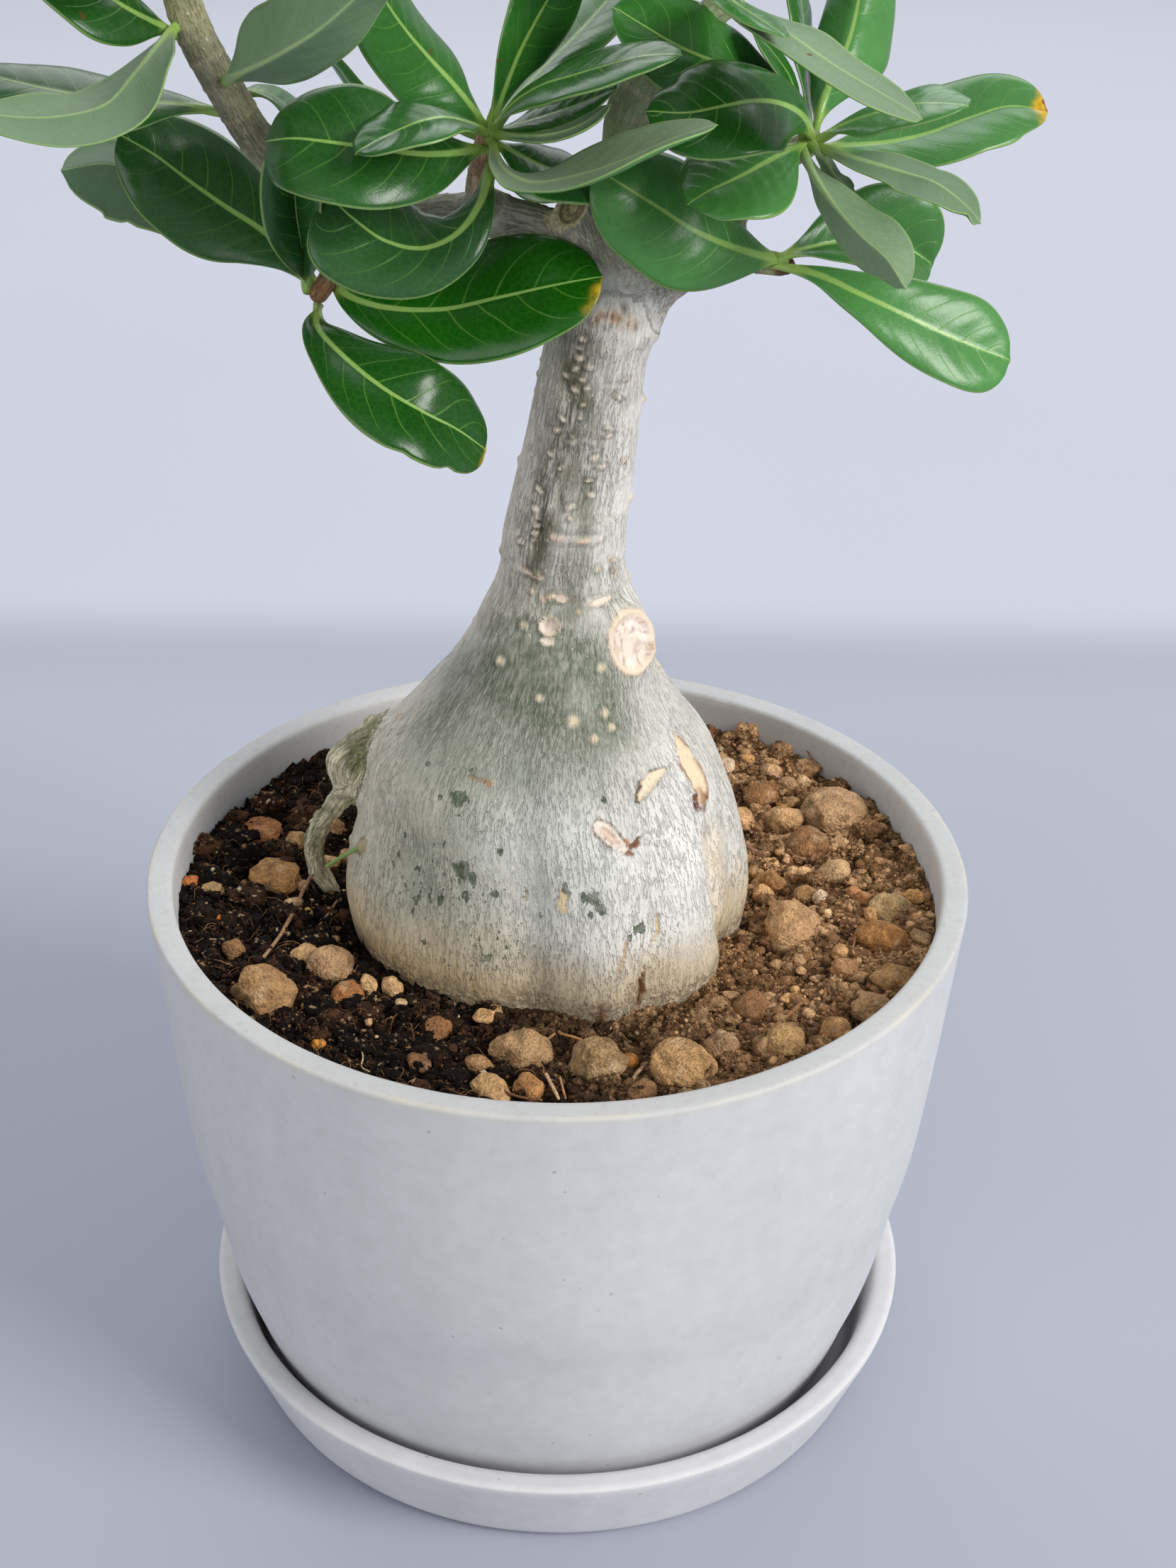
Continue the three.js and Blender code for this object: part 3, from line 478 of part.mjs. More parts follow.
// a blade that would touch the wood or an earlier blade is trimmed back by the gap
const wood = plantSolid(0), woodGrown = plantSolid(GAP);
const largest = (body) => body.decompose().sort((a, b) => b.volume() - a.volume())[0];
const placed = [];
for (const leaf of LEAVES) {
  let body = outward(leafGeometry(leaf));
  if (body.intersect(wood).volume() > 0) body = largest(body.subtract(woodGrown));
  for (const other of placed) if (body.intersect(other.body).volume() > 0) body = largest(body.subtract(other.grown));
  placed.push({ body, grown: outward(leafGeometry(leaf, GAP)) });
  put(leaf.name, body, material(leaf.shade ? COLOR.leafUnder : COLOR.leafTop, 0.45));
}

export default group;
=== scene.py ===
import math
import bpy
import numpy as np
from mathutils import Matrix, Vector


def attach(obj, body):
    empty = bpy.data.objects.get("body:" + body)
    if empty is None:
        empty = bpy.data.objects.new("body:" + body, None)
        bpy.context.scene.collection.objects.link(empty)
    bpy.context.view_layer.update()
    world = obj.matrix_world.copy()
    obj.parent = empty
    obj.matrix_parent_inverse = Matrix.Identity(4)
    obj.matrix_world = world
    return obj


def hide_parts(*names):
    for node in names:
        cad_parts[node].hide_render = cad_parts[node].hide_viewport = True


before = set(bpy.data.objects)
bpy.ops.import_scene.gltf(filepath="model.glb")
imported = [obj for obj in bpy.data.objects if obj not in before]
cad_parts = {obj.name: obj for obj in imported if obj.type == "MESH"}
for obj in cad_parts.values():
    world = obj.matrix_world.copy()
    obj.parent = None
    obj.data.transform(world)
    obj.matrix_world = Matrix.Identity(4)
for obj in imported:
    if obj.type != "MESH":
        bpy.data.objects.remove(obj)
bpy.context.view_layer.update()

MM = 0.001
RNG = np.random.default_rng(20)

# ---------------------------------------------------------------- camera numbers
FOCAL = 3474.5876843813876            # in pixels of the 1659 x 2212 frame
CENTRE = np.array([829.5, 1106.0])
EYE = np.array([0.0, -508.29412636220223, 474.67848304826833])
YAW, PITCH, ROLL = 0.013806977497204706, 0.542375108670742, -0.017646081435281062
FORWARD = np.array([math.sin(YAW) * math.cos(PITCH), math.cos(YAW) * math.cos(PITCH), -math.sin(PITCH)])
_right = np.array([math.cos(YAW), -math.sin(YAW), 0.0])
_down = np.cross(FORWARD, _right)
RIGHT = math.cos(ROLL) * _right + math.sin(ROLL) * _down
DOWN = -math.sin(ROLL) * _right + math.cos(ROLL) * _down


def sight(x, y):
    """The direction seen at a point of the frame."""
    v = (x - CENTRE[0]) / FOCAL * RIGHT + (y - CENTRE[1]) / FOCAL * DOWN + FORWARD
    return v / np.linalg.norm(v)


# ---------------------------------------------------------------- numbers and noise
def smooth(a, b, x):
    t = np.clip((x - a) / (b - a), 0, 1)
    return t * t * (3 - 2 * t)


def unit(v):
    return v / np.maximum(np.linalg.norm(v, axis=-1, keepdims=True), 1e-12)


def lattice(ix, iy, iz, seed):
    h = (ix.astype(np.uint32) * np.uint32(0x8DA6B343)) ^ (iy.astype(np.uint32) * np.uint32(0xD8163841)) \
        ^ (iz.astype(np.uint32) * np.uint32(0xCB1AB31F)) ^ np.uint32((seed * 0x9E3779B9) & 0xFFFFFFFF)
    h ^= h >> np.uint32(15)
    h *= np.uint32(0x85EBCA6B)
    h ^= h >> np.uint32(13)
    h *= np.uint32(0xC2B2AE35)
    h ^= h >> np.uint32(16)
    return h.astype(np.float64) / 2147483647.5 - 1


def noise(P, size, seed=0):
    """Smooth value noise from -1 to 1; size is the length of one cell."""
    Q = np.asarray(P, float) / size + (seed % 97) * 0.618
    i = np.floor(Q).astype(np.int64)
    f = Q - i
    f = f * f * f * (f * (f * 6 - 15) + 10)
    out = 0.0
    for dx in (0, 1):
        wx = f[:, 0] if dx else 1 - f[:, 0]
        for dy in (0, 1):
            wy = f[:, 1] if dy else 1 - f[:, 1]
            for dz in (0, 1):
                wz = f[:, 2] if dz else 1 - f[:, 2]
                out = out + wx * wy * wz * lattice(i[:, 0] + dx, i[:, 1] + dy, i[:, 2] + dz, seed)
    return out


TILT = np.array([[0.36, 0.48, -0.8], [-0.8, 0.6, 0.0], [0.48, 0.64, 0.6]])


def fbm(P, size, octaves=4, seed=0, gain=0.5):
    out, amp, total = 0.0, 1.0, 0.0
    for k in range(octaves):
        P = P @ TILT
        out = out + amp * noise(P, size / 2 ** k, seed + 11 * k)
        total += amp
        amp *= gain
    return out / total


def curve(points, count):
    """Points evenly spread along a smooth curve through the rows of points."""
    X = np.asarray(points, float)
    n = len(X)
    E = np.vstack([2 * X[0] - X[1], X, 2 * X[-1] - X[-2]])
    t = np.linspace(0, n - 1, 24 * (n - 1) + 1)
    k = np.minimum(t.astype(int), n - 2)
    f = (t - k)[:, None]
    a, b, c, d = E[k], E[k + 1], E[k + 2], E[k + 3]
    Y = 0.5 * (2 * b + (c - a) * f + (2 * a - 5 * b + 4 * c - d) * f ** 2 + (3 * b - a - 3 * c + d) * f ** 3)
    s = np.r_[0, np.cumsum(np.linalg.norm(np.diff(Y[:, :3], axis=0), axis=1))]
    u = np.linspace(0, s[-1], count)
    return np.stack([np.interp(u, s, Y[:, j]) for j in range(Y.shape[1])], 1)


def srgb(r, g, b):
    c = np.array([r, g, b], float) / 255
    return np.where(c <= 0.04045, c / 12.92, ((c + 0.055) / 1.055) ** 2.4)


def mix(a, b, w):
    w = np.asarray(w)
    if w.ndim == 1:
        w = w[:, None]
    return a * (1 - w) + b * w


# ---------------------------------------------------------------- meshes
def make(name, V, F, mat=None, slot=None, attrs=(), shade=True):
    me = bpy.data.meshes.new(name)
    me.from_pydata((np.asarray(V, float) * MM).tolist(), [], [f for part in F for f in np.asarray(part).tolist()])
    me.validate()
    for key, kind, data in attrs:
        a = me.attributes.new(key, kind, "POINT")
        data = np.asarray(data, np.float32)
        if kind == "FLOAT_COLOR":
            if data.shape[1] == 3:
                data = np.c_[data, np.ones(len(data), np.float32)]
            a.data.foreach_set("color", data.ravel())
        elif kind == "FLOAT_VECTOR":
            a.data.foreach_set("vector", data.ravel())
        else:
            a.data.foreach_set("value", data.ravel())
    if shade:
        me.shade_smooth()
    o = bpy.data.objects.new(name, me)
    bpy.context.scene.collection.objects.link(o)
    if mat:
        me.materials.append(mat)
    if slot:
        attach(o, "root")
    return o


def icosphere(level):
    g = (1 + 5 ** 0.5) / 2
    V = [[-1, g, 0], [1, g, 0], [-1, -g, 0], [1, -g, 0], [0, -1, g], [0, 1, g], [0, -1, -g], [0, 1, -g], [g, 0, -1], [g, 0, 1], [-g, 0, -1], [-g, 0, 1]]
    F = [[0, 11, 5], [0, 5, 1], [0, 1, 7], [0, 7, 10], [0, 10, 11], [1, 5, 9], [5, 11, 4], [11, 10, 2], [10, 7, 6], [7, 1, 8],
         [3, 9, 4], [3, 4, 2], [3, 2, 6], [3, 6, 8], [3, 8, 9], [4, 9, 5], [2, 4, 11], [6, 2, 10], [8, 6, 7], [9, 8, 1]]
    V = [list(unit(np.array(v, float))) for v in V]
    for _ in range(level):
        seen, G = {}, []

        def half(a, b):
            key = (min(a, b), max(a, b))
            if key not in seen:
                seen[key] = len(V)
                V.append(list(unit((np.array(V[a]) + np.array(V[b])) / 2)))
            return seen[key]
        for a, b, c in F:
            x, y, z = half(a, b), half(b, c), half(c, a)
            G += [[a, x, z], [b, y, x], [c, z, y], [x, y, z]]
        F = G
    return np.array(V), np.array(F)


def turned(profile, around, ripple=None):
    """A closed body turned about Z. Each row of profile is (r, z); the first and last rows are on the axis or the profile is a closed ring."""
    P = np.asarray(profile, float)
    a = np.linspace(0, 2 * np.pi, around, endpoint=False)
    on_axis = P[0, 0] < 1e-6 and P[-1, 0] < 1e-6
    body = P[1:-1] if on_axis else P
    V = np.stack([np.outer(body[:, 0], np.cos(a)), np.outer(body[:, 0], np.sin(a)), np.repeat(body[:, 1:2], around, 1)], 2).reshape(-1, 3)
    if ripple is not None:
        V = ripple(V)
    m = len(body)
    rows = range(m - 1) if on_axis else range(m)
    F = []
    j = np.arange(around)
    k = (j + 1) % around
    for i in rows:
        i2 = (i + 1) % m
        F.append(np.c_[i * around + j, i * around + k, i2 * around + k, i2 * around + j])
    if on_axis:
        V = np.vstack([V, [0, 0, P[0, 1]], [0, 0, P[-1, 1]]])
        F = [np.vstack(F)]
        F.append(np.c_[k, j, np.full(around, m * around)])
        F.append(np.c_[(m - 1) * around + j, (m - 1) * around + k, np.full(around, m * around + 1)])
    else:
        F = [np.vstack(F)]
    return V, F


def rounded(points, radii, per=5):
    """A profile through points with each inner corner rounded by its radius."""
    P = np.asarray(points, float)
    out = [P[0]]
    for i in range(1, len(P) - 1):
        a, b, c = P[i - 1], P[i], P[i + 1]
        r = min(radii[i], 0.49 * np.linalg.norm(b - a), 0.49 * np.linalg.norm(c - b))
        if r < 0.05:
            out.append(b)
            continue
        s, e = b + unit(a - b) * r, b + unit(c - b) * r
        for t in np.linspace(0, 1, per):
            out.append((1 - t) ** 2 * s + 2 * t * (1 - t) * b + t * t * e)
    out.append(P[-1])
    return np.array(out)


def finer(P, step):
    """The same profile with no stretch longer than step."""
    out = [P[0]]
    for a, b in zip(P[:-1], P[1:]):
        n = max(1, int(np.ceil(np.linalg.norm(b - a) / step)))
        out += [a + (b - a) * t for t in np.linspace(0, 1, n + 1)[1:]]
    return np.array(out)


# ---------------------------------------------------------------- node materials
class Nodes:
    """Small helper that adds nodes to a material and links them."""

    def __init__(self, name):
        self.mat = bpy.data.materials.new(name)
        self.mat.use_nodes = True
        self.tree = self.mat.node_tree
        self.tree.nodes.clear()
        self.out = self.tree.nodes.new("ShaderNodeOutputMaterial")
        self.shader = self.tree.nodes.new("ShaderNodeBsdfPrincipled")
        self.tree.links.new(self.shader.outputs[0], self.out.inputs[0])

    def link(self, a, b):
        self.tree.links.new(a, b)

    def put(self, kind, inputs=None, **props):
        n = self.tree.nodes.new(kind)
        for k, v in props.items():
            setattr(n, k, v)
        for k, v in (inputs or {}).items():
            if isinstance(v, bpy.types.NodeSocket):
                self.link(v, n.inputs[k])
            else:
                n.inputs[k].default_value = v
        return n

    def attr(self, name, field="Fac"):
        return self.put("ShaderNodeAttribute", attribute_name=name).outputs[field]

    def place(self):
        return self.put("ShaderNodeTexCoord").outputs["Object"]

    def scaled(self, vec, s):
        return self.put("ShaderNodeMapping", {"Vector": vec, "Scale": s}).outputs[0]

    def noise(self, vec, scale, detail=3.0, rough=0.55, distort=0.0):
        return self.put("ShaderNodeTexNoise", {"Vector": vec, "Scale": scale, "Detail": detail, "Roughness": rough, "Distortion": distort}).outputs["Fac"]

    def cells(self, vec, scale, feature="F1", out="Distance"):
        return self.put("ShaderNodeTexVoronoi", {"Vector": vec, "Scale": scale}, feature=feature).outputs[out]

    def math(self, op, a, b=0.0, c=0.0, clamp=False):
        n = self.put("ShaderNodeMath", {0: a, 1: b, 2: c}, operation=op)
        n.use_clamp = clamp
        return n.outputs[0]

    def ramp(self, value, lo, hi, a=0.0, b=1.0, kind="SMOOTHSTEP"):
        return self.put("ShaderNodeMapRange", {"Value": value, 1: lo, 2: hi, 3: a, 4: b}, interpolation_type=kind).outputs[0]

    def blend(self, fac, a, b, mode="MIX"):
        n = self.tree.nodes.new("ShaderNodeMix")
        n.data_type = "RGBA"
        n.blend_type = mode
        for key, v in ((0, fac), (6, a), (7, b)):
            if isinstance(v, bpy.types.NodeSocket):
                self.link(v, n.inputs[key])
            elif key == 0:
                n.inputs[0].default_value = v
            else:
                n.inputs[key].default_value = (*[float(c) for c in v[:3]], 1.0)
        return n.outputs[2]

    def scale_colour(self, col, factor):
        """col times a grey factor."""
        g = self.put("ShaderNodeCombineColor", {0: factor, 1: factor, 2: factor}).outputs[0]
        return self.blend(1.0, col, g, "MULTIPLY")

    def bump(self, height, distance, strength=1.0, normal=None):
        n = self.put("ShaderNodeBump", {"Height": height, "Distance": distance, "Strength": strength})
        if normal is not None:
            self.link(normal, n.inputs["Normal"])
        return n.outputs[0]

    def finish(self, colour, rough=None, normal=None, **sockets):
        s = self.shader
        if isinstance(colour, bpy.types.NodeSocket):
            self.link(colour, s.inputs["Base Color"])
        if rough is not None:
            if isinstance(rough, bpy.types.NodeSocket):
                self.link(rough, s.inputs["Roughness"])
            else:
                s.inputs["Roughness"].default_value = rough
        if normal is not None:
            self.link(normal, s.inputs["Normal"])
        for k, v in sockets.items():
            s.inputs[k.replace("_", " ")].default_value = v
        return self.mat


# ---------------------------------------------------------------- materials
def pot_material(name, base, seed):
    m = Nodes(name)
    p = m.place()
    soft = m.noise(m.scaled(p, (1, 1, 1)), 16.0, 3.0)
    fine = m.noise(p, 160.0, 4.0, 0.6)
    grain = m.noise(p, 1500.0, 2.0, 0.6)
    run = m.noise(m.scaled(p, (1, 1, 0.12)), 60.0 + seed, 3.0)
    pits = m.cells(p, 230.0)
    pick = m.noise(p, 90.0 + seed, 1.0)
    pit = m.math("MULTIPLY", m.ramp(pits, 0.16, 0.05), m.ramp(pick, 0.60, 0.66))
    scratch = m.noise(m.scaled(p, (0.3, 0.3, 1)), 700.0, 1.0)
    line = m.math("MULTIPLY", m.ramp(scratch, 0.70, 0.76), m.ramp(run, 0.5, 0.62))
    tone = m.math("ADD", m.ramp(soft, 0.3, 0.7, -0.035, 0.035, "LINEAR"), m.ramp(fine, 0.3, 0.7, -0.03, 0.03, "LINEAR"))
    tone = m.math("ADD", tone, m.ramp(grain, 0.2, 0.8, -0.02, 0.02, "LINEAR"))
    tone = m.math("ADD", tone, m.ramp(run, 0.35, 0.65, -0.015, 0.02, "LINEAR"))
    tone = m.math("ADD", tone, 1.0)
    tone = m.math("SUBTRACT", tone, m.math("MULTIPLY", pit, 0.28))
    tone = m.math("SUBTRACT", tone, m.math("MULTIPLY", line, 0.03))
    warm = m.attr("warm")
    col = m.blend(warm, base, np.array(base) * (1.0, 0.985, 0.90))
    grime = m.attr("grime")
    speck = m.math("MULTIPLY", grime, m.ramp(m.noise(p, 260.0, 5.0, 0.65), 0.30, 0.72))
    col = m.blend(m.math("MULTIPLY", speck, 0.72), col, srgb(122, 114, 100))
    rim = m.attr("rim")
    # the rim top and the whole inner wall a little darker and warmer: painted shade on the inner wall, the rim top's
    # greyer tint
    col = m.blend(rim, col, np.array(base) * (0.885, 0.88, 0.86))
    col = m.blend(m.math("MULTIPLY", rim, m.ramp(m.noise(p, 520.0, 4.0, 0.7), 0.50, 0.74, 0.0, 0.45)), col, srgb(160, 157, 148))
    # painted highlight with a worn yellowish tint along the rim's outer edge
    col = m.blend(m.attr("edge_highlight_wear"), col, srgb(205, 198, 176))
    col = m.scale_colour(col, tone)
    h = m.math("ADD", m.math("MULTIPLY", fine, 0.5), m.math("MULTIPLY", grain, 0.35))
    h = m.math("SUBTRACT", h, m.math("MULTIPLY", pit, 0.8))
    n = m.bump(h, 0.00012, 0.6)
    rough = m.ramp(fine, 0.3, 0.7, 0.60, 0.74, "LINEAR")
    return m.finish(col, rough, n, Specular_IOR_Level=0.35)


def grit_material(name, sharp):
    """Soil, crumbs and stones: the colours given to each piece, which for the soil hold painted shade and light, broken
    up by grains, pores and specks.
    """
    m = Nodes(name)
    p = m.place()
    base = m.attr("tone", "Color")
    wide = m.noise(p, 300.0, 4.0, 0.68)
    grain = m.noise(p, 1300.0, 3.0, 0.7)
    pores = m.cells(p, 1500.0)
    tone = m.math("ADD", m.ramp(wide, 0.28, 0.72, 0.58, 1.38, "LINEAR"), m.ramp(grain, 0.25, 0.75, -0.40, 0.40, "LINEAR"))
    tone = m.math("MULTIPLY", tone, m.ramp(pores, 0.02, 0.35, 0.62, 1.08))
    col = m.scale_colour(base, tone)
    speck = m.ramp(m.noise(p, 2300.0, 1.0), 0.72, 0.78)
    col = m.blend(m.math("MULTIPLY", speck, 0.45), col, srgb(226, 208, 180))
    h = m.math("ADD", m.math("MULTIPLY", wide, 1.2), m.math("ADD", grain, m.math("MULTIPLY", pores, 0.6)))
    n = m.bump(h, 0.00085 * sharp, 1.0)
    return m.finish(col, 0.94, n, Specular_IOR_Level=0.15)


def bark_material():
    m = Nodes("adenium_bark")
    base = m.attr("tone", "Color")
    low, high, up = m.attr("grain", "Vector"), m.attr("grain_up", "Vector"), m.attr("up")   # round the wood, and along it, in units of 10 mm
    p = m.place()
    rough_zone, smooth_zone, streaky, fleck, green = (m.attr(k) for k in ("rough_zone", "smooth_zone", "streaky", "fleck", "green"))
    plain = m.math("SUBTRACT", 1.0, m.math("MULTIPLY", smooth_zone, 0.85))
    bent = []
    for g in (low, high):
        wave = m.put("ShaderNodeTexNoise", {"Vector": g, "Scale": 1.6, "Detail": 0.0}).outputs["Color"]
        wave = m.put("ShaderNodeVectorMath", {0: wave, 1: (0.07, 0.07, 0.0)}, operation="MULTIPLY").outputs[0]
        bent.append(m.put("ShaderNodeVectorMath", {0: g, 1: wave}, operation="ADD").outputs[0])

    def along(stretch, scale, detail, rough=0.5):
        """A noise drawn out along the wood."""
        a, b = (m.noise(m.scaled(v, (1, 1, stretch)), scale, detail, rough) for v in bent)
        return m.math("ADD", a, m.math("MULTIPLY", up, m.math("SUBTRACT", b, a)))

    slow = m.noise(p, 80.0, 3.0, 0.5)
    wide = along(0.20, 5.5, 2.0)
    dash = m.ramp(along(0.17, 11.0, 2.0, 0.55), 0.545, 0.625)
    dash2 = m.ramp(along(0.20, 21.0, 2.0, 0.5), 0.56, 0.65)
    fine = along(0.22, 34.0, 3.0, 0.65)
    fiss = m.math("MAXIMUM", m.math("MULTIPLY", dash, 0.85), m.math("MULTIPLY", dash2, 0.8))
    fiss = m.math("MULTIPLY", m.math("MULTIPLY", fiss, plain), m.ramp(slow, 0.32, 0.60, 0.35, 1.0))
    grain = m.noise(p, 1500.0, 3.0, 0.65)
    mott = m.noise(p, 62.0, 4.0, 0.55)
    tone = m.math("ADD", m.ramp(mott, 0.3, 0.7, 0.94, 1.06, "LINEAR"), m.ramp(grain, 0.25, 0.75, -0.06, 0.06, "LINEAR"))
    tone = m.math("ADD", tone, m.math("MULTIPLY", plain, m.ramp(fine, 0.3, 0.7, -0.09, 0.09, "LINEAR")))
    tone = m.math("MULTIPLY", tone, m.math("SUBTRACT", 1.0, m.math("MULTIPLY", fiss, 0.24)))
    col = m.scale_colour(base, tone)
    col = m.blend(m.math("MULTIPLY", green, m.ramp(along(0.40, 9.0, 4.0, 0.65), 0.22, 0.66, 0.35, 1.0)), col, srgb(94, 102, 80))
    spots = m.math("MULTIPLY", m.math("SUBTRACT", m.noise(m.scaled(p, (1, 1, 0.45)), 700.0, 5.0, 0.66), 0.5), 1.7)
    spots = m.ramp(m.math("ADD", m.math("MULTIPLY", fleck, 0.74), spots), 0.50, 0.60)
    col = m.blend(m.math("MULTIPLY", spots, m.ramp(m.noise(p, 420.0, 3.0, 0.6), 0.3, 0.6, 0.55, 0.92)), col, srgb(74, 88, 62))
    streak = m.math("MULTIPLY", streaky, m.ramp(along(0.10, 15.0, 4.0, 0.65), 0.47, 0.61))
    col = m.blend(m.math("MULTIPLY", streak, 0.80), col, srgb(84, 82, 64))
    flake = m.math("MULTIPLY", m.ramp(along(0.45, 13.0, 2.0), 0.64, 0.70), 0.35)
    col = m.blend(flake, col, srgb(238, 234, 222))
    crumble = m.math("MULTIPLY", rough_zone, m.ramp(m.noise(p, 700.0, 4.0, 0.75), 0.44, 0.60))
    col = m.blend(m.math("MULTIPLY", crumble, 0.6), col, srgb(96, 76, 56))
    h = m.math("SUBTRACT", m.math("MULTIPLY", m.math("ADD", m.math("MULTIPLY", wide, 0.9), m.math("MULTIPLY", fine, 0.45)), plain), m.math("MULTIPLY", fiss, 0.95))
    h = m.math("ADD", h, m.math("ADD", m.math("MULTIPLY", grain, 0.18), m.math("MULTIPLY", flake, 0.8)))
    h = m.math("SUBTRACT", h, m.math("ADD", m.math("MULTIPLY", spots, 0.6), m.math("MULTIPLY", streak, 0.5)))
    h = m.math("SUBTRACT", h, m.math("MULTIPLY", crumble, 0.5))
    n = m.bump(h, 0.00050, 1.0)
    return m.finish(col, m.ramp(mott, 0.3, 0.7, 0.56, 0.72, "LINEAR"), n, Specular_IOR_Level=0.35)


def leaf_material():
    m = Nodes("adenium_leaf")
    t, u, under = m.attr("along"), m.attr("across"), m.attr("underside")
    rnd, width = m.attr("rnd"), m.attr("half")            # half: the blade's half width there in mm
    pale_lit, tip = m.attr("pale_lit"), m.attr("tip")
    p = m.place()
    au = m.math("ABSOLUTE", u)
    d = m.math("MULTIPLY", au, width)                    # mm from the midrib
    rib_w = m.ramp(t, 0.0, 1.0, 0.95, 0.16, "LINEAR")
    rib = m.math("SUBTRACT", 1.0, m.ramp(m.math("DIVIDE", d, rib_w), 0.55, 1.25), clamp=True)
    # side veins: they leave the midrib at an angle and bend forward near the margin
    wob = m.noise(p, 70.0, 1.0)
    side_shift = m.math("MULTIPLY", m.ramp(u, -0.01, 0.01, 0.0, 1.0), 0.47)
    q = m.math("SUBTRACT", t, m.math("ADD", m.math("MULTIPLY", au, 0.13), m.math("MULTIPLY", m.math("POWER", au, 3.0), 0.10)))
    q = m.math("ADD", m.math("MULTIPLY", q, 8.6), m.math("ADD", side_shift, m.math("ADD", m.math("MULTIPLY", wob, 0.45), m.math("MULTIPLY", rnd, 0.85))))
    f = m.math("ABSOLUTE", m.math("SUBTRACT", m.math("FRACT", q), 0.5))
    vein_w = m.ramp(au, 0.0, 1.0, 0.040, 0.014, "LINEAR")
    vein = m.math("SUBTRACT", 1.0, m.ramp(m.math("DIVIDE", f, vein_w), 0.4, 1.5), clamp=True)
    vein = m.math("MULTIPLY", vein, m.ramp(au, 0.93, 0.70))
    vein = m.math("MULTIPLY", vein, m.ramp(m.noise(p, 60.0, 1.0), 0.25, 0.65, 0.25, 1.0))
    net = m.cells(m.scaled(p, (1, 1, 1)), 620.0, "DISTANCE_TO_EDGE")
    mesh = m.math("SUBTRACT", 1.0, m.ramp(net, 0.02, 0.12), clamp=True)
    margin = m.ramp(au, 0.955, 0.985)
    cloud = m.noise(p, 45.0, 3.0)
    fine = m.noise(p, 900.0, 3.0, 0.6)
    deep = m.blend(rnd, srgb(8, 65, 2), srgb(20, 88, 4))
    # paler leaves: young leaves are paler, and the right-hand leaves get painted light
    deep = m.blend(pale_lit, deep, srgb(88, 146, 80))
    # painted shade and painted sky reflection: some leaves blended to a dull grey-green
    deep = m.blend(m.math("MULTIPLY", m.attr("shade_sheen"), 0.85), deep, srgb(33, 64, 35))
    deep = m.scale_colour(deep, m.ramp(cloud, 0.25, 0.75, 0.80, 1.22, "LINEAR"))
    deep = m.blend(m.math("MULTIPLY", mesh, 0.10), deep, srgb(76, 128, 40))
    top = m.blend(m.math("MULTIPLY", vein, 0.34), deep, srgb(112, 162, 62))
    top = m.blend(m.math("MULTIPLY", rib, 0.80), top, srgb(146, 182, 96))
    below = m.blend(rnd, srgb(87, 115, 86), srgb(103, 131, 97))
    below = m.blend(m.math("MULTIPLY", pale_lit, 0.6), below, srgb(156, 176, 140))
    below = m.scale_colour(below, m.ramp(cloud, 0.25, 0.75, 0.90, 1.10, "LINEAR"))
    below = m.blend(m.math("MULTIPLY", mesh, 0.14), below, srgb(84, 118, 74))
    below = m.blend(m.math("MULTIPLY", vein, 0.22), below, srgb(98, 132, 84))
    below = m.blend(m.math("MULTIPLY", rib, 0.70), below, srgb(158, 184, 122))
    col = m.blend(under, top, below)
    col = m.blend(m.math("MULTIPLY", margin, 0.50), col, srgb(150, 180, 104))
    col = m.blend(m.ramp(t, 0.13, 0.02), col, srgb(140, 172, 84))
    dead = m.math("MULTIPLY", tip, m.ramp(m.noise(p, 300.0, 3.0), 0.30, 0.60, 0.55, 1.0), clamp=True)
    col = m.blend(m.ramp(dead, 0.05, 0.60), col, srgb(196, 158, 38))
    col = m.blend(m.ramp(dead, 0.58, 0.90), col, srgb(124, 58, 26))
    brown = m.math("MULTIPLY", m.ramp(m.noise(p, 210.0, 2.0), 0.755, 0.785), 0.8)
    col = m.blend(brown, col, srgb(96, 66, 34))
    tone = m.ramp(fine, 0.25, 0.75, 0.93, 1.07, "LINEAR")
    col = m.scale_colour(col, tone)
    h = m.math("SUBTRACT", m.math("MULTIPLY", fine, 0.07), m.math("ADD", m.math("MULTIPLY", vein, 0.40), m.math("MULTIPLY", mesh, 0.05)))
    n = m.bump(h, 0.00016, 0.7)
    rough = m.math("ADD", m.ramp(under, 0.0, 1.0, 0.25, 0.60, "LINEAR"), m.ramp(fine, 0.3, 0.7, -0.03, 0.05, "LINEAR"))
    return m.finish(col, rough, n, Specular_IOR_Level=0.34)


def green_material(name, a, b):
    m = Nodes(name)
    p = m.place()
    w = m.noise(p, 300.0, 4.0, 0.6)
    col = m.blend(w, a, b)
    col = m.scale_colour(col, m.ramp(m.noise(p, 1200.0, 3.0), 0.3, 0.7, 0.85, 1.15, "LINEAR"))
    return m.finish(col, 0.5, m.bump(w, 0.0002, 0.6), Specular_IOR_Level=0.4)


POT_MAT = pot_material("pot_stone_grey", srgb(198, 199, 202), 0)
SAUCER_MAT = pot_material("saucer_stone_grey", srgb(204, 204, 207), 7)
SOIL_MAT = grit_material("soil_grit", 1.0)
STONE_MAT = grit_material("stone_grit", 1.0)
BARK_MAT = bark_material()
LEAF_MAT = leaf_material()
TWIG_MAT = grit_material("dry_fibre", 0.4)
SPRIG_MAT = green_material("green_sprig", srgb(96, 128, 62), srgb(140, 168, 96))

# ---------------------------------------------------------------- pot and saucer
OUTER = [(71.5, 6.3), (74.4, 7.4), (77, 10), (79.4, 16), (82, 25), (86.5, 40), (90.1, 60), (93.5, 77), (96, 100), (98.9, 133), (99.95, 144.9)]
_oz, _or = np.array([z for r, z in OUTER]), np.array([r for r, z in OUTER])
WALL = 6.3


def wall_r(z):
    return np.interp(z, _oz, _or)


def smooth_profile(rows, n):
    return curve(np.array(rows), n)


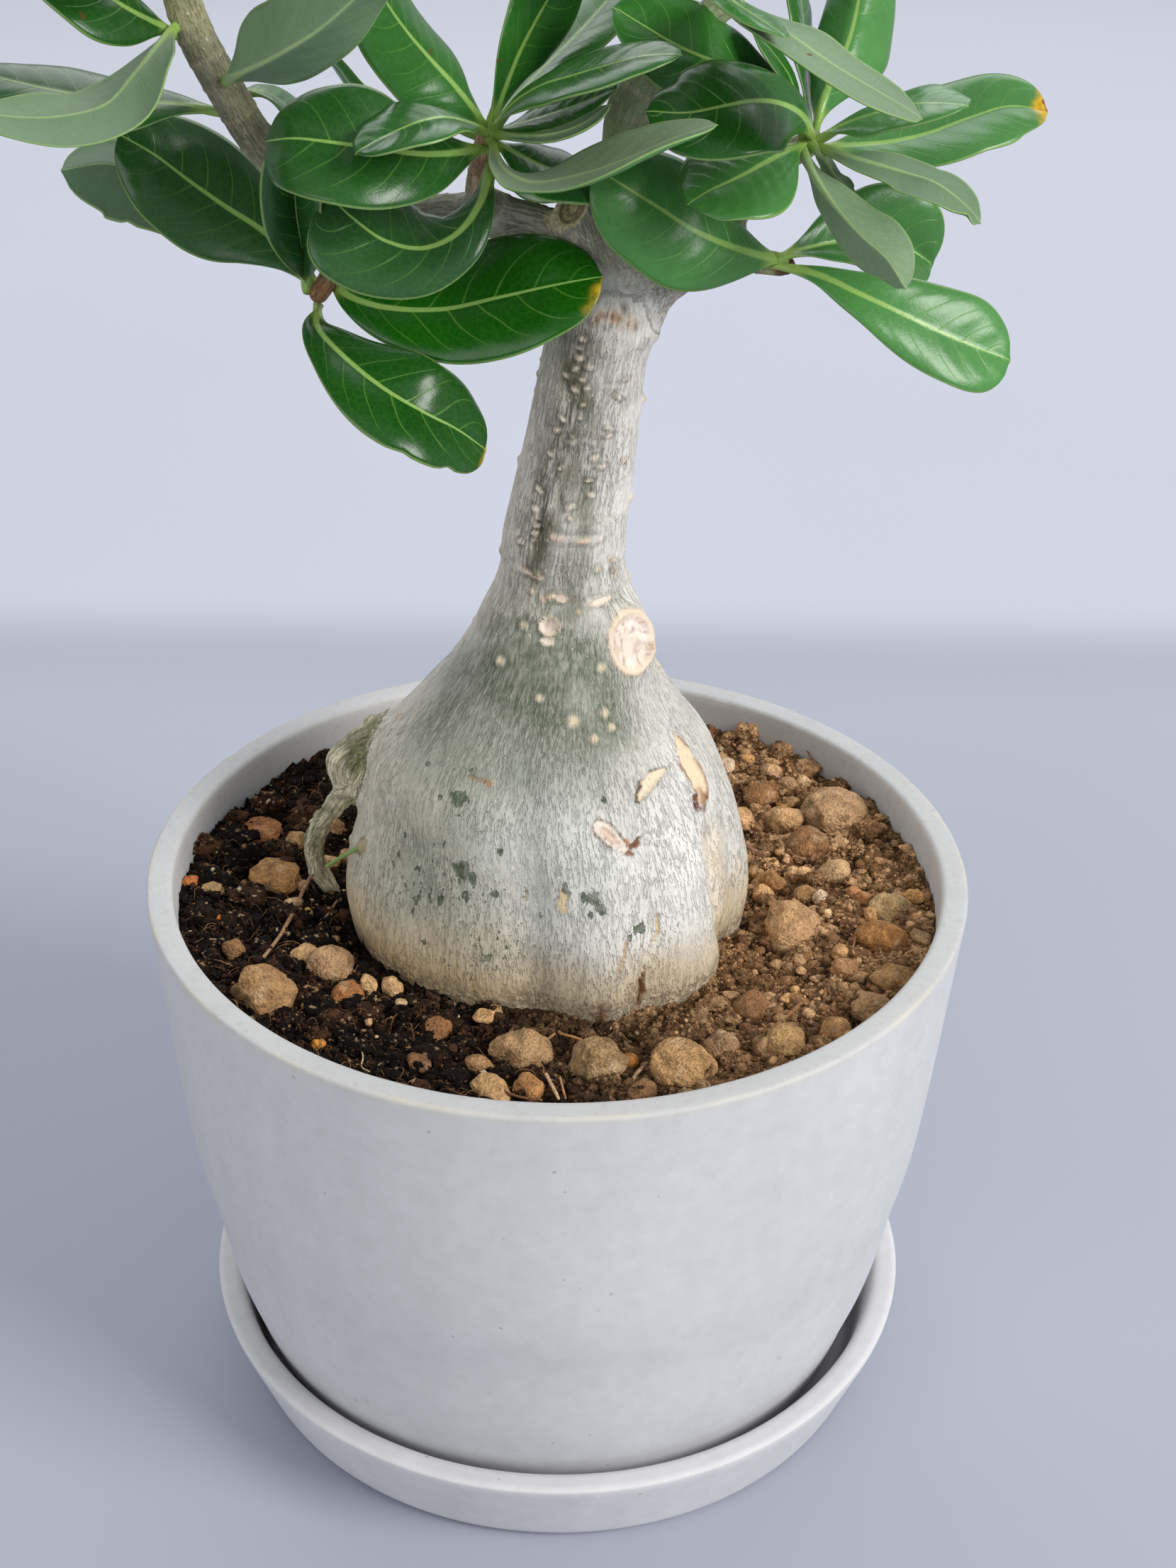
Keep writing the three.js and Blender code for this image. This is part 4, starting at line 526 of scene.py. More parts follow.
def pot_profile():
    out = smooth_profile(OUTER, 74)
    top = [(99.97, 145.25), (99.9, 145.6), (99.72, 145.85), (99.45, 146.02), (99.1, 146.1), (97.8, 146.12), (96.5, 146.12), (95.2, 146.1), (94.55, 146.02), (94.15, 145.8), (93.85, 145.45), (93.68, 145.0)]
    zs = np.linspace(143, 15.5, 40)
    inn = [(wall_r(z) - WALL, z) for z in zs]
    base = [(wall_r(14.8) - WALL - 1.2, 13.6), (wall_r(14.8) - WALL - 3.4, 12.5), (45, 12.3), (8.6, 12.3), (8, 11.7), (8, 6.9), (8.6, 6.3), (45, 6.3)]
    return np.array(list(map(tuple, out)) + top + inn + base)


def pot_ripple(V):
    a = np.arctan2(V[:, 1], V[:, 0])
    r = np.hypot(V[:, 0], V[:, 1])
    N = unit(np.c_[V[:, :2], np.zeros(len(V))])
    w = 0.10 * noise(V, 55, 3) + 0.05 * noise(V, 18, 4) + 0.025 * noise(V, 5, 5)
    rim = smooth(143.5, 145.5, V[:, 2])
    V = V + N * (w * smooth(60, 72, r))[:, None]
    V[:, 2] += rim * (0.10 * np.sin(2 * a + 0.6) + 0.05 * noise(V, 9, 8) + 0.035 * noise(V, 2.4, 9))
    # small nicks on the rim's edges
    for az, rr, size, deep in ((-38, 100, 1.1, 0.5), (12, 100, 0.8, 0.4), (-97, 94, 0.8, 0.35), (-141, 99.6, 1.3, 0.4), (61, 94, 0.9, 0.4), (149, 100, 1.0, 0.4), (-63, 99.8, 0.7, 0.35)):
        c = np.array([rr * math.cos(math.radians(az)), rr * math.sin(math.radians(az)), 146.0])
        d = np.linalg.norm(V - c, axis=1)
        k = deep * np.exp(-(d / size) ** 2)
        V[:, 2] -= k
        V -= N * (k * np.sign(rr - 97))[:, None] * 0.6
    return V


V, F = turned(pot_profile(), 288, pot_ripple)
r, z = np.hypot(V[:, 0], V[:, 1]), V[:, 2]
warm = smooth(142.5, 145.0, z) * 0.8 + 0.35 * (r < wall_r(z) - 3) * smooth(100, 140, z)
grime = np.clip(0.85 * smooth(143.0, 137.5, z) * (r < wall_r(z) - 3) * smooth(120, 132, z) + 0.10, 0, 1) * (z > 20)
# a pale yellowish line along the rim's outer edge: painted highlight with a worn tint
edge_highlight_wear = 0.55 * np.exp(-((r - 99.6) / 0.35) ** 2) * (z > 145.2) * smooth(-0.1, 0.5, noise(V, 14, 31) + 0.25)
# rim: mask of the rim top and the whole inner wall, which the pot's material darkens with painted shade
rim = np.maximum(smooth(145.2, 145.9, z) * smooth(93.2, 93.8, r), 1.0 * (r < wall_r(z) - 3) * smooth(146.0, 144.5, z) * (z > 100))
pot = make("pot_body", V, F, POT_MAT, "pot_grey", (("rim", "FLOAT", rim), ("warm", "FLOAT", np.clip(warm, 0, 1)), ("grime", "FLOAT", grime), ("edge_highlight_wear", "FLOAT", edge_highlight_wear)))
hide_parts("pot")

prof = rounded([(0, 0), (79.9, 0), (81.6, 0.8), (82.9, 2.4), (90.7, 22.8), (91.1, 24.9), (89.9, 25.5), (86.4, 25.5), (84.9, 24.9), (84.3, 23.4), (80.2, 8.6), (78.6, 6.0), (0, 6.0)],
               [0, 1.2, 1.2, 1.2, 1.4, 1.1, 1.3, 1.3, 1.1, 1.4, 1.5, 1.5, 0])
prof = finer(prof, 3.2)
V, F = turned(prof, 256, lambda V: V + unit(np.c_[V[:, :2], np.zeros(len(V))]) * ((0.10 * noise(V, 50, 13) + 0.05 * noise(V, 15, 14)) * smooth(30, 60, np.hypot(V[:, 0], V[:, 1])))[:, None])
V[:, 0] += 1.14
z = V[:, 2]
saucer = make("saucer_body", V, F, SAUCER_MAT, "pot_grey", (("warm", "FLOAT", 0.2 * smooth(22, 25, z)), ("grime", "FLOAT", 0.08 * np.ones(len(V))),
              ("edge_highlight_wear", "FLOAT", 0.0 * z)))
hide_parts("saucer")

# ---------------------------------------------------------------- soil
def ground(x, y):
    """Height of the soil before its crumbs."""
    r = np.hypot(x, y)
    z = np.interp(r, [0, 50, 72, 92.4], [131, 131, 134.4, 137.0])
    a = np.degrees(np.arctan2(y, x))
    z = z + 0.9 * np.exp(-((r - 52) / 4.5) ** 2) * smooth(-75, -30, a) * smooth(40, 0, a)     # heaped against the caudex on the right
    return z


def soil_colour_and_shade(P, seed=0):
    """Darker with painted shade on the left and front left, lighter crumbs with painted highlights on the right."""
    # side: 0 on the shaded left, 1 on the lit right; the two colours below are painted shade and painted light with
    # highlights
    side = smooth(-45, 45, P[:, 0] + 0.35 * P[:, 1] + 14 * noise(P, 26, 90 + seed))
    shaded_side = mix(np.tile(srgb(20, 13, 10), (len(P), 1)), srgb(74, 49, 32), smooth(-0.10, 0.80, noise(P, 6, 91 + seed)))
    lit_side = mix(np.tile(srgb(126, 92, 62), (len(P), 1)), srgb(196, 156, 114), smooth(-0.4, 0.6, noise(P, 5, 92 + seed)))
    c = mix(shaded_side, lit_side, side)
    reddish = smooth(0.35, 0.7, noise(P, 13, 93 + seed)) * 0.30
    return mix(c, srgb(120, 80, 52), reddish * (0.3 + 0.7 * side))


nr, na = 104, 920
rr = np.r_[np.linspace(33, 44, 5)[:-1], np.linspace(44, 93.0, nr - 4)]
aa = np.linspace(0, 2 * np.pi, na, endpoint=False)
X = np.outer(rr, np.cos(aa)).ravel()
Y = np.outer(rr, np.sin(aa)).ravel()
R2 = np.repeat(rr, na)
P = np.c_[X, Y, np.full(len(X), 130.0)]
clump = 1.0 - np.abs(fbm(P, 11, 3, 41))
small = 1.0 - np.abs(fbm(P, 4.2, 3, 45)) * 1.6
grains = 1.0 - np.abs(noise(P, 1.7, 49))
Z = ground(X, Y) + 3.0 * (clump - 0.85) + 2.4 * (small - 0.75) * (0.55 + 0.45 * smooth(-0.3, 0.4, noise(P, 17, 51))) + 1.15 * (grains - 0.7) + 0.5 * noise(P, 0.95, 52)
# a pocket near the crack in front, and a few hollows, darkened by the painted shade below
for hx, hy, hr, hd in ((17, -52, 4.5, 3.0), (-40, -47, 4, 1.6), (60, -30, 4, 1.2), (-72, -18, 5, 1.5), (-20, 66, 5, 1.4), (40, 60, 5, 1.4)):
    Z -= hd * np.exp(-((X - hx) ** 2 + (Y - hy) ** 2) / hr ** 2)
soil_top = np.c_[X, Y, Z]
low = Z - ground(X, Y)
# painted shade: the soil darker in its hollows and lighter on its humps
tone = soil_colour_and_shade(soil_top) * (0.26 + 0.95 * smooth(-2.2, 1.9, low))[:, None]
V = soil_top
F = []
j = np.arange(na)
k = (j + 1) % na
for i in range(nr - 1):
    F.append(np.c_[i * na + j, (i + 1) * na + j, (i + 1) * na + k, i * na + k])
skirt = [(92.7, 132.5), (92.0, 128.0)]
base = len(V)
for r0, z0 in skirt:
    V = np.vstack([V, np.c_[r0 * np.cos(aa), r0 * np.sin(aa), np.full(na, z0)]])
last = (nr - 1) * na
for s in range(len(skirt)):
    nxt = base + s * na
    F.append(np.c_[last + j, nxt + j, nxt + k, last + k])
    last = nxt
V = np.vstack([V, [0, 0, 128.0], [0, 0, 131.0]])
F.append(np.c_[last + k, last + j, np.full(na, len(V) - 2)])
F.append(np.c_[j, k, np.full(na, len(V) - 1)])
tone = np.vstack([tone, np.tile(srgb(60, 42, 30), (len(V) - len(tone), 1))])
soil = make("soil_bed", V, F, SOIL_MAT, "soil", (("tone", "FLOAT_COLOR", tone),))
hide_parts("soil")
SOIL_R = rr
SOIL_GRID = Z.reshape(nr, na)


def soil_z(x, y):
    r = np.hypot(x, y)
    a = (np.arctan2(y, x) % (2 * np.pi)) / (2 * np.pi) * na
    i = np.clip(np.interp(r, SOIL_R, np.arange(nr)).round().astype(int), 0, nr - 1)
    return SOIL_GRID[i, a.astype(int) % na]


def on_soil(px, py, up=0.0):
    """The point of the soil, up millimetres above it, on the sight line through a point of the frame."""
    v = sight(px, py)
    z = 134.0
    for _ in range(4):
        p = EYE + v * (z - EYE[2]) / v[2]
        z = float(ground(p[0], p[1])) + up
    return p


def blobs(name, centres, sizes, level, mat, slot, tones, seed, rough=0.18, facets=0.0, turned_=False):
    """One piece of many small rounded lumps."""
    B, BF = icosphere(level)
    rng = np.random.default_rng(seed)
    n = len(centres)
    Vs, Fs, Ts = [], [], []
    turn = rng.normal(size=(n, 3, 3))
    q, _ = np.linalg.qr(turn)
    for i in range(n):
        D = B @ q[i]
        lump = 1 + rough * noise(D + 7.3 * i, 0.9, seed) + rough * 0.5 * noise(D + 3.1 * i, 0.45, seed + 1)
        if facets:
            planes = unit(rng.normal(size=(7, 3)))
            lump = np.minimum(lump, (0.86 / np.maximum(D @ planes.T, 1e-3)).clip(0.1, 9).min(1) * (1 - facets) + lump * facets)
        W = D * lump[:, None] * sizes[i]
        Vs.append(centres[i] + (W @ q[(i * 7 + 3) % n] if turned_ else W))
        Fs.append(BF + i * len(B))
        Ts.append(np.tile(tones[i], (len(B), 1)) * (0.92 + 0.16 * rng.random()))
    o = make(name, np.vstack(Vs), Fs, mat, slot, (("tone", "FLOAT_COLOR", np.vstack(Ts)),))
    return o


def scatter(n, rng, lo=47, hi=92.2):
    a = rng.uniform(0, 2 * np.pi, n)
    r = np.sqrt(rng.uniform(lo ** 2, hi ** 2, n))
    return r * np.cos(a), r * np.sin(a)


rng = np.random.default_rng(5)
for part, (n, lo, hi, level) in enumerate(((8600, 0.35, 0.95, 0), (8600, 0.3, 0.8, 0), (2200, 0.7, 1.7, 1))):
    x, y = scatter(n, rng, 41 if part < 2 else 46)
    s = lo + (hi - lo) * rng.random(n) ** 2.2
    s = np.c_[s, s * rng.uniform(0.7, 1.1, n), s * rng.uniform(0.6, 0.9, n)]
    c = np.c_[x, y, soil_z(x, y) + 0.25 * s[:, 2]]
    t = soil_colour_and_shade(c, 7 + part) * rng.uniform(0.7, 1.35, n)[:, None]
    kind = rng.random(n)
    for lo_k, col in ((0.965, srgb(168, 134, 94)), (0.990, srgb(206, 184, 148)), (0.997, srgb(182, 116, 52))):
        t[kind > lo_k] = col * rng.uniform(0.7, 1.05)
    blobs("soil_crumbs_%d" % (part + 1), c, s, level, SOIL_MAT, "soil", t, 60 + part, 0.28)


COAT = []                                                 # places on the clumps where crumbs can lie


def clods(name, spots, level, seed):
    """One piece of many rough clumps of soil: (x, y, size) each."""
    B, BF = icosphere(level)
    rng = np.random.default_rng(seed)
    Vs, Fs, Ts = [], [], []
    coat = B[:, 2] > -9
    for i, (x0, y0, s0) in enumerate(spots):
        q, _ = np.linalg.qr(rng.normal(size=(3, 3)))
        D = B @ q
        rad = 1 + 0.32 * noise(D + 5.1 * i, 0.95, seed) + 0.24 * noise(D + 2.3 * i, 0.45, seed + 1) + 0.17 * np.abs(noise(D + 1.7 * i, 0.22, seed + 2)) - 0.13 * np.abs(noise(D + 4.9 * i, 0.11, seed + 3))
        W = D * rad[:, None] * s0 * np.array([1.0, rng.uniform(0.7, 1.0), rng.uniform(0.5, 0.72)])
        z0 = float(soil_z(np.array([x0]), np.array([y0]))[0])
        C = np.array([x0, y0, z0 + 0.10 * s0])
        Vs.append(C + W)
        Fs.append(BF + i * len(B))
        t = soil_colour_and_shade(np.array([[x0, y0, z0]]), 30)[0] * rng.uniform(0.75, 1.35)
        # painted shade: each clump darker in its dents and on its underside
        T = np.tile(t, (len(B), 1)) * (0.62 + 0.55 * smooth(0.75, 1.35, rad))[:, None] * (0.45 + 0.6 * smooth(-0.5, 0.3, W[:, 2] / s0))[:, None]
        T = mix(T, srgb(190, 160, 122), 0.8 * smooth(0.62, 0.75, noise(C + W, 0.8, seed + 6)))
        Ts.append(T)
        open_ = W[:, 2] > -0.15 * s0
        COAT.append((C + W)[open_])
    return make(name, np.vstack(Vs), Fs, SOIL_MAT, "soil", (("tone", "FLOAT_COLOR", np.vstack(Ts)),))


rng = np.random.default_rng(15)
big_spots = []
for px, py, w in ((600, 1420, 44), (618, 1450, 58), (560, 1470, 40), (610, 1490, 50), (655, 1470, 44), (640, 1520, 50), (720, 1500, 44), (760, 1520, 36), (905, 1450, 58), (930, 1475, 50), (870, 1470, 40), (895, 1480, 44), (985, 1440, 52),
                  (1010, 1420, 46), (960, 1500, 50), (1150, 1420, 40), (1080, 1390, 44), (1130, 1350, 40), (1060, 1350, 36), (1075, 1310, 40), (1050, 1270, 34), (1105, 1190, 62), (1130, 1200, 50), (1075, 1165, 44), (1180, 1190, 44), (1220, 1210, 50),
                  (1250, 1240, 40), (1200, 1300, 34), (1160, 1320, 40), (1230, 1370, 36), (1180, 1400, 42), (1085, 1225, 30), (300, 1240, 60), (350, 1270, 60), (400, 1290, 56), (330, 1300, 50), (370, 1330, 46), (290, 1200, 56), (340, 1180, 60),
                  (400, 1230, 50), (440, 1330, 44), (480, 1360, 36), (300, 1330, 46), (280, 1290, 50), (420, 1400, 50), (450, 1420, 46), (400, 1440, 44), (470, 1440, 50), (520, 1430, 44), (540, 1500, 50), (500, 1480, 46), (450, 1510, 40),
                  (590, 1540, 44), (640, 1560, 36), (430, 1160, 50), (380, 1140, 50), (500, 1150, 40), (1100, 1060, 50), (1140, 1085, 46), (1060, 1040, 44), (1180, 1110, 44), (1040, 1100, 40), (1220, 1140, 36), (860, 1530, 36), (1040, 1500, 40)):
    q = on_soil(px, py)
    big_spots.append((q[0], q[1], w / 13.2))
x, y = scatter(70, rng, 54, 88)
for i in range(70):
    if y[i] > -5:
        big_spots.append((x[i], y[i], rng.uniform(2.2, 4.2)))
big_spots = [(-53.5, 3.6, 2.3), (-57.0, 3.0, 1.9), (-52.4, 9.0, 2.6), (-58.5, 8.5, 1.8)] + big_spots
clods("soil_clods", big_spots[:150], 3, 71)
x, y = scatter(560, rng, 49, 91)
clods("soil_lumps", [(x[i], y[i], 0.9 + 1.7 * rng.random() ** 1.6) for i in range(560)], 2, 75)

# crumbs that cling to the clumps, and slivers of peat over everything
spots = np.vstack(COAT)
for part, (n, lo, hi, long_) in enumerate(((8800, 0.26, 0.80, 1.25), (8800, 0.16, 0.36, 2.6), (8800, 0.14, 0.34, 3.0))):
    if part < 2:
        c = spots[rng.integers(0, len(spots), n)] + rng.normal(0, 0.12, (n, 3))
    else:
        x, y = scatter(n, rng, 41)
        c = np.c_[x, y, soil_z(x, y) + rng.uniform(0.1, 0.55, n)]
    s = lo + (hi - lo) * rng.random(n) ** 1.8
    s = np.c_[s * rng.uniform(1.0, long_, n), s * rng.uniform(0.7, 1.1, n), s * rng.uniform(0.6, 0.9, n)]
    t = soil_colour_and_shade(c, 17 + part) * rng.uniform(0.55, 1.45, n)[:, None]
    kind = rng.random(n)
    for lo_k, col in ((0.93, srgb(150, 106, 68)), (0.990, srgb(206, 184, 148))):
        t[kind > lo_k] = col * rng.uniform(0.6, 1.0)
    blobs("soil_crumbs_%d" % (part + 4), c, s, 0, SOIL_MAT, "soil", t, 80 + part, 0.30, turned_=True)


def strands(name, paths, radii, mat, slot, tones, sides=5, seed=3):
    """One piece of many thin tubes."""
    Vs, Fs, Ts, base = [], [], [], 0
    for X, r, t in zip(paths, radii, tones):
        n = len(X)
        T = unit(np.gradient(X, axis=0))
        ref = np.array([0.3, 0.2, 1.0]) if abs(T[0, 2]) < 0.9 else np.array([1.0, 0.2, 0])
        A = unit(np.cross(T, ref))
        Bn = np.cross(T, A)
        a = np.linspace(0, 2 * np.pi, sides, endpoint=False)
        r = np.broadcast_to(r, (n,))
        ring = X[:, None] + r[:, None, None] * (np.cos(a)[None, :, None] * A[:, None] + np.sin(a)[None, :, None] * Bn[:, None])
        Vs.append(ring.reshape(-1, 3))
        j = np.arange(sides)
        k = (j + 1) % sides
        for i in range(n - 1):
            Fs.append(np.c_[base + i * sides + j, base + i * sides + k, base + (i + 1) * sides + k, base + (i + 1) * sides + j])
        Vs.append(np.array([X[0], X[-1]]))
        e = base + n * sides
        Fs.append(np.c_[base + k, base + j, np.full(sides, e)])
        Fs.append(np.c_[base + (n - 1) * sides + j, base + (n - 1) * sides + k, np.full(sides, e + 1)])
        Ts.append(np.tile(t, (n * sides + 2, 1)))
        base += n * sides + 2
    return make(name, np.vstack(Vs), Fs, mat, slot, (("tone", "FLOAT_COLOR", np.vstack(Ts)),))


paths, radii, tones = [], [], []
x, y = scatter(1500, rng, 51, 90)
for i in range(1500):
    L = rng.uniform(1.8, 8.5)
    n = 7
    a = rng.uniform(0, 2 * np.pi) + np.cumsum(rng.normal(0, 0.35, n))
    X = np.c_[x[i] + np.cumsum(np.cos(a)) * L / n, y[i] + np.cumsum(np.sin(a)) * L / n]
    rad = np.hypot(X[:, 0], X[:, 1])
    X = X * (np.clip(rad, 50, 92) / rad)[:, None]
    h = soil_z(X[:, 0], X[:, 1])
    h = np.convolve(np.r_[h[0], h, h[-1]], [0.25, 0.5, 0.25], "valid") + 0.40 + rng.uniform(0, 1.7) * np.sin(np.linspace(0, np.pi, n))
    paths.append(curve(np.c_[X, h], 12))
    radii.append(rng.uniform(0.05, 0.15) * np.linspace(1, 0.5, 12))
    tones.append(mix(srgb(70, 48, 32)[None], srgb(150, 112, 76), np.array([rng.random() ** 1.5]))[0])
strands("soil_fibres", paths, radii, TWIG_MAT, "soil", tones)

# roots and twigs that lie on the soil, by the places where they are seen
lines = [([(438, 1237), (425, 1262), (420, 1275), (402, 1308), (395, 1320), (372, 1350)], 0.55, (150, 118, 92), 1.6),
         ([(475, 1272), (458, 1296), (445, 1312)], 0.35, (164, 126, 88), 1.0),
         ([(1128, 1040), (1140, 1062), (1150, 1080)], 0.22, (126, 86, 62), 3.2),
         ([(782, 1458), (762, 1476), (748, 1492)], 0.38, (150, 110, 74), 1.2),
         ([(790, 1458), (812, 1464), (830, 1470)], 0.42, (176, 132, 84), 1.0),
         ([(913, 1500), (900, 1512), (893, 1522)], 0.55, (150, 120, 92), 1.4),
         ([(1000, 1488), (1004, 1505), (1003, 1520)], 0.35, (120, 92, 66), 2.6),
         ([(505, 1470), (512, 1490), (510, 1505), (522, 1512)], 0.22, (196, 170, 132), 1.0),
         ([(1048, 1190), (1062, 1200), (1080, 1206)], 0.9, (148, 112, 90), 0.9),
         ([(1130, 1415), (1112, 1432), (1096, 1444)], 0.45, (150, 108, 74), 0.9),
         ([(1208, 1320), (1204, 1334), (1197, 1342)], 0.28, (170, 124, 92), 1.2),
         ([(1225, 1160), (1245, 1155), (1262, 1149)], 0.45, (160, 124, 84), 0.8),
         ([(705, 1538), (735, 1548), (765, 1552)], 0.4, (120, 86, 60), 1.0),
         ([(770, 1515), (778, 1530), (788, 1550)], 0.45, (206, 172, 134), 2.0),
         ([(790, 1520), (794, 1536), (798, 1550)], 0.3, (176, 132, 96), 1.6),
         ([(944, 1548), (962, 1543), (980, 1538)], 0.4, (120, 86, 62), 0.8),
         ([(325, 1160), (320, 1185), (316, 1205)], 0.25, (96, 62, 44), 0.8),
         ([(545, 1170), (556, 1184), (566, 1200)], 0.3, (120, 84, 60), 0.8)]
paths, radii, tones = [], [], []
for pts, r0, col, up in lines:
    X = np.array([on_soil(px, py, up) for px, py in pts])
    paths.append(curve(X, 16))
    radii.append(r0 * (1 + 0.15 * noise(paths[-1], 2.0, 5)) * np.linspace(1, 0.75, 16))
    tones.append(srgb(*col))
strands("soil_twigs", paths, radii, TWIG_MAT, "soil", tones, 8)

# ---------------------------------------------------------------- stones
def stone_shape(level, centre, half, turn, seed, facet=0.5):
    B, BF = icosphere(level)
    r = np.random.default_rng(seed)
    planes = unit(r.normal(size=(12, 3)) * (1, 1, 0.8))
    cut = np.sort(r.uniform(0.70, 0.93, 12) / np.maximum(B @ planes.T, 1e-3), 1)
    cut = cut[:, 0] - 0.04 * np.exp(-(cut[:, 1] - cut[:, 0]) / 0.05)
    rad = np.minimum(1.0, cut) * facet + (1 - facet)
    rad = rad * (1 + 0.13 * noise(B, 0.9, seed) + 0.07 * noise(B, 0.42, seed + 3)) + 0.045 * fbm(B + seed, 0.30, 3, seed) + 0.016 * noise(B + seed, 0.075, seed + 5)
    rad = rad - 0.05 * smooth(0.35, 0.75, noise(B + 3 * seed, 0.26, seed + 8))
    D = B * rad[:, None] * np.array(half)
    t = math.radians(turn)
    D = D @ np.array([[math.cos(t), math.sin(t), 0], [-math.sin(t), math.cos(t), 0], [0, 0, 1]])
    return np.array(centre) + D, BF


def stone_tone(V, base, seed, dirt=0.5):
    t = np.tile(mix(np.array(base)[None], srgb(180, 146, 108), np.array([0.25]))[0] * (1.20, 1.07, 0.96), (len(V), 1)) * (0.93 + 0.26 * fbm(V, 5, 3, seed))[:, None]
    t = mix(t, srgb(206, 180, 142), 0.40 * smooth(0.2, 0.6, fbm(V, 3.4, 3, seed + 1)))
    t = mix(t, srgb(104, 76, 52), 0.55 * smooth(0.22, 0.55, fbm(V, 2.6, 3, seed + 2)) * dirt)
    lo = V[:, 2].min()
    t = mix(t, srgb(80, 58, 41), 0.75 * smooth(0.52, 0.22, (V[:, 2] - lo) / (V[:, 2].max() - lo) + 0.10 * noise(V, 1.3, seed + 4)))
    return t


BIG = [("stone_left_large", (-68.5, -41.8, 137.4), (7.6, 7.8, 5.3), 20, 1, (152, 124, 90)),
       ("stone_left_middle", (-54, -27, 134.2), (5.6, 6.2, 4.6), -15, 2, (164, 140, 112)),
       ("stone_left_back", (-70.9, 9, 135.6), (5.6, 6.1, 3.7), 40, 3, (158, 122, 78)),
       ("stone_front_right", (28.2, -68.7, 136.4), (7.2, 7.6, 5.2), 10, 4, (166, 138, 98)),
       ("stone_front_middle", (9.2, -66, 135.2), (6.3, 6.6, 4.8), -30, 5, (146, 130, 98)),
       ("stone_front_lump", (-8.4, -60, 134.2), (6.9, 6.6, 4.5), 5, 6, (166, 142, 108)),
       ("stone_right_back", (71.5, 39, 137.6), (8.4, 7.8, 5.0), 25, 7, (176, 150, 118))]
for name, at, half, turn, seed, col in BIG:
    V, BF = stone_shape(5, np.array(at) - (0, 0, 0.9), np.array(half) * (1.13, 1.13, 1.10), turn, seed, 0.85)
    if name == "stone_front_lump":
        c = np.array(at)
        V[:, 2] += 1.2 * np.exp(-(((V[:, 0] - c[0] - 2.5) / 3.4) ** 2 + ((V[:, 1] - c[1] - 1.5) / 3) ** 2))
        V[:, 2] -= 1.3 * np.exp(-(((V[:, 0] - c[0] + 0.6) / 1.3) ** 2 + ((V[:, 1] - c[1] + 0.2) / 3) ** 2))
    o = make(name + "_rock", V, [BF], STONE_MAT, "stone", (("tone", "FLOAT_COLOR", stone_tone(V, srgb(*col), seed, 0.9)),))
    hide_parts(name)

# smaller ones: place in the frame, size across in pixels, colour, how tall
PEBBLES = [(432, 1347, 44, 26, (214, 186, 138)), (520, 1392, 32, 34, (206, 178, 134)), (553, 1395, 34, 34, (208, 178, 136)), (488, 1405, 44, 40, (150, 96, 54)),
           (418, 1190, 36, 34, (168, 138, 100)), (1018, 1480, 46, 56, (138, 118, 94)), (885, 1498, 30, 27, (190, 128, 46)), (1108, 1475, 66, 46, (164, 138, 96)),
           (1180, 1455, 48, 42, (160, 128, 88)), (745, 1535, 52, 34, (172, 126, 78)), (690, 1540, 62, 34, (190, 160, 116)), (675, 1505, 40, 36, (150, 122, 88)),
           (1110, 1158, 54, 38, (190, 158, 120)), (1045, 1155, 36, 28, (212, 178, 136)), (1022, 1082, 30, 22, (214, 200, 180)), (1090, 1245, 34, 36, (164, 126, 84)),
           (1178, 1232, 50, 36, (184, 162, 128)), (1135, 1232, 22, 16, (214, 176, 128)), (1135, 1263, 32, 26, (168, 134, 94)), (1158, 1268, 24, 26, (212, 202, 184)),
           (1220, 1268, 28, 24, (176, 124, 84)), (1115, 1310, 78, 72, (186, 156, 120)), (1258, 1283, 54, 44, (158, 142, 106)), (1245, 1325, 70, 54, (150, 106, 58)),
           (1288, 1265, 32, 18, (208, 164, 100)), (1295, 1293, 18, 14, (222, 184, 132)), (1312, 1293, 14, 12, (222, 192, 146)), (1260, 1380, 60, 38, (142, 116, 80)),
           (1235, 1425, 62, 42, (134, 114, 84)), (268, 1245, 27, 22, (186, 106, 44)), (310, 1297, 13, 15, (214, 120, 36)), (395, 1135, 18, 12, (206, 136, 56)),
           (447, 1472, 24, 18, (206, 142, 48)), (1188, 1345, 32, 20, (196, 158, 112)), (1192, 1368, 44, 28, (160, 126, 92)), (1297, 1322, 34, 22, (162, 142, 114)),
           (1104, 1140, 20, 14, (196, 140, 70)), (1055, 1072, 18, 16, (190, 150, 100)), (1240, 1132, 24, 22, (190, 146, 78)), (1218, 1164, 18, 14, (196, 156, 106)),
           (1232, 1166, 16, 12, (206, 166, 110)), (1075, 1262, 30, 24, (196, 160, 118)), (1130, 1370, 14, 14, (206, 176, 134)), (1122, 1400, 14, 18, (208, 172, 120)),
           (1110, 1410, 18, 18, (200, 164, 120)), (372, 1170, 56, 18, (150, 96, 60)), (560, 1158, 44, 28, (176, 146, 108)), (470, 1168, 40, 26, (150, 122, 90)),
           (330, 1340, 30, 40, (126, 98, 70)), (425, 1250, 22, 16, (196, 176, 150)), (434, 1287, 18, 12, (214, 176, 112)), (620, 1448, 52, 36, (128, 88, 58)),
           (685, 1434, 34, 14, (206, 170, 124)), (652, 1512, 12, 12, (216, 192, 152)), (520, 1442, 12, 12, (206, 178, 140)), (565, 1415, 18, 12, (196, 176, 140)),
           (700, 1425, 22, 14, (206, 176, 134)), (1205, 1260, 26, 18, (186, 134, 92)), (1168, 1290, 12, 18, (222, 198, 160)), (1228, 1290, 26, 24, (182, 128, 66)),
           (1145, 1190, 60, 40, (120, 88, 60)), (1075, 1120, 60, 30, (142, 104, 70)), (1085, 1480, 40, 40, (140, 118, 92)), (905, 1540, 44, 22, (104, 78, 56)),
           (1060, 1420, 52, 30, (118, 84, 58)), (590, 1500, 40, 26, (98, 70, 50)), (1135, 1085, 34, 22, (150, 118, 84))]
centres, sizes, tones = [], [], []
rng = np.random.default_rng(9)
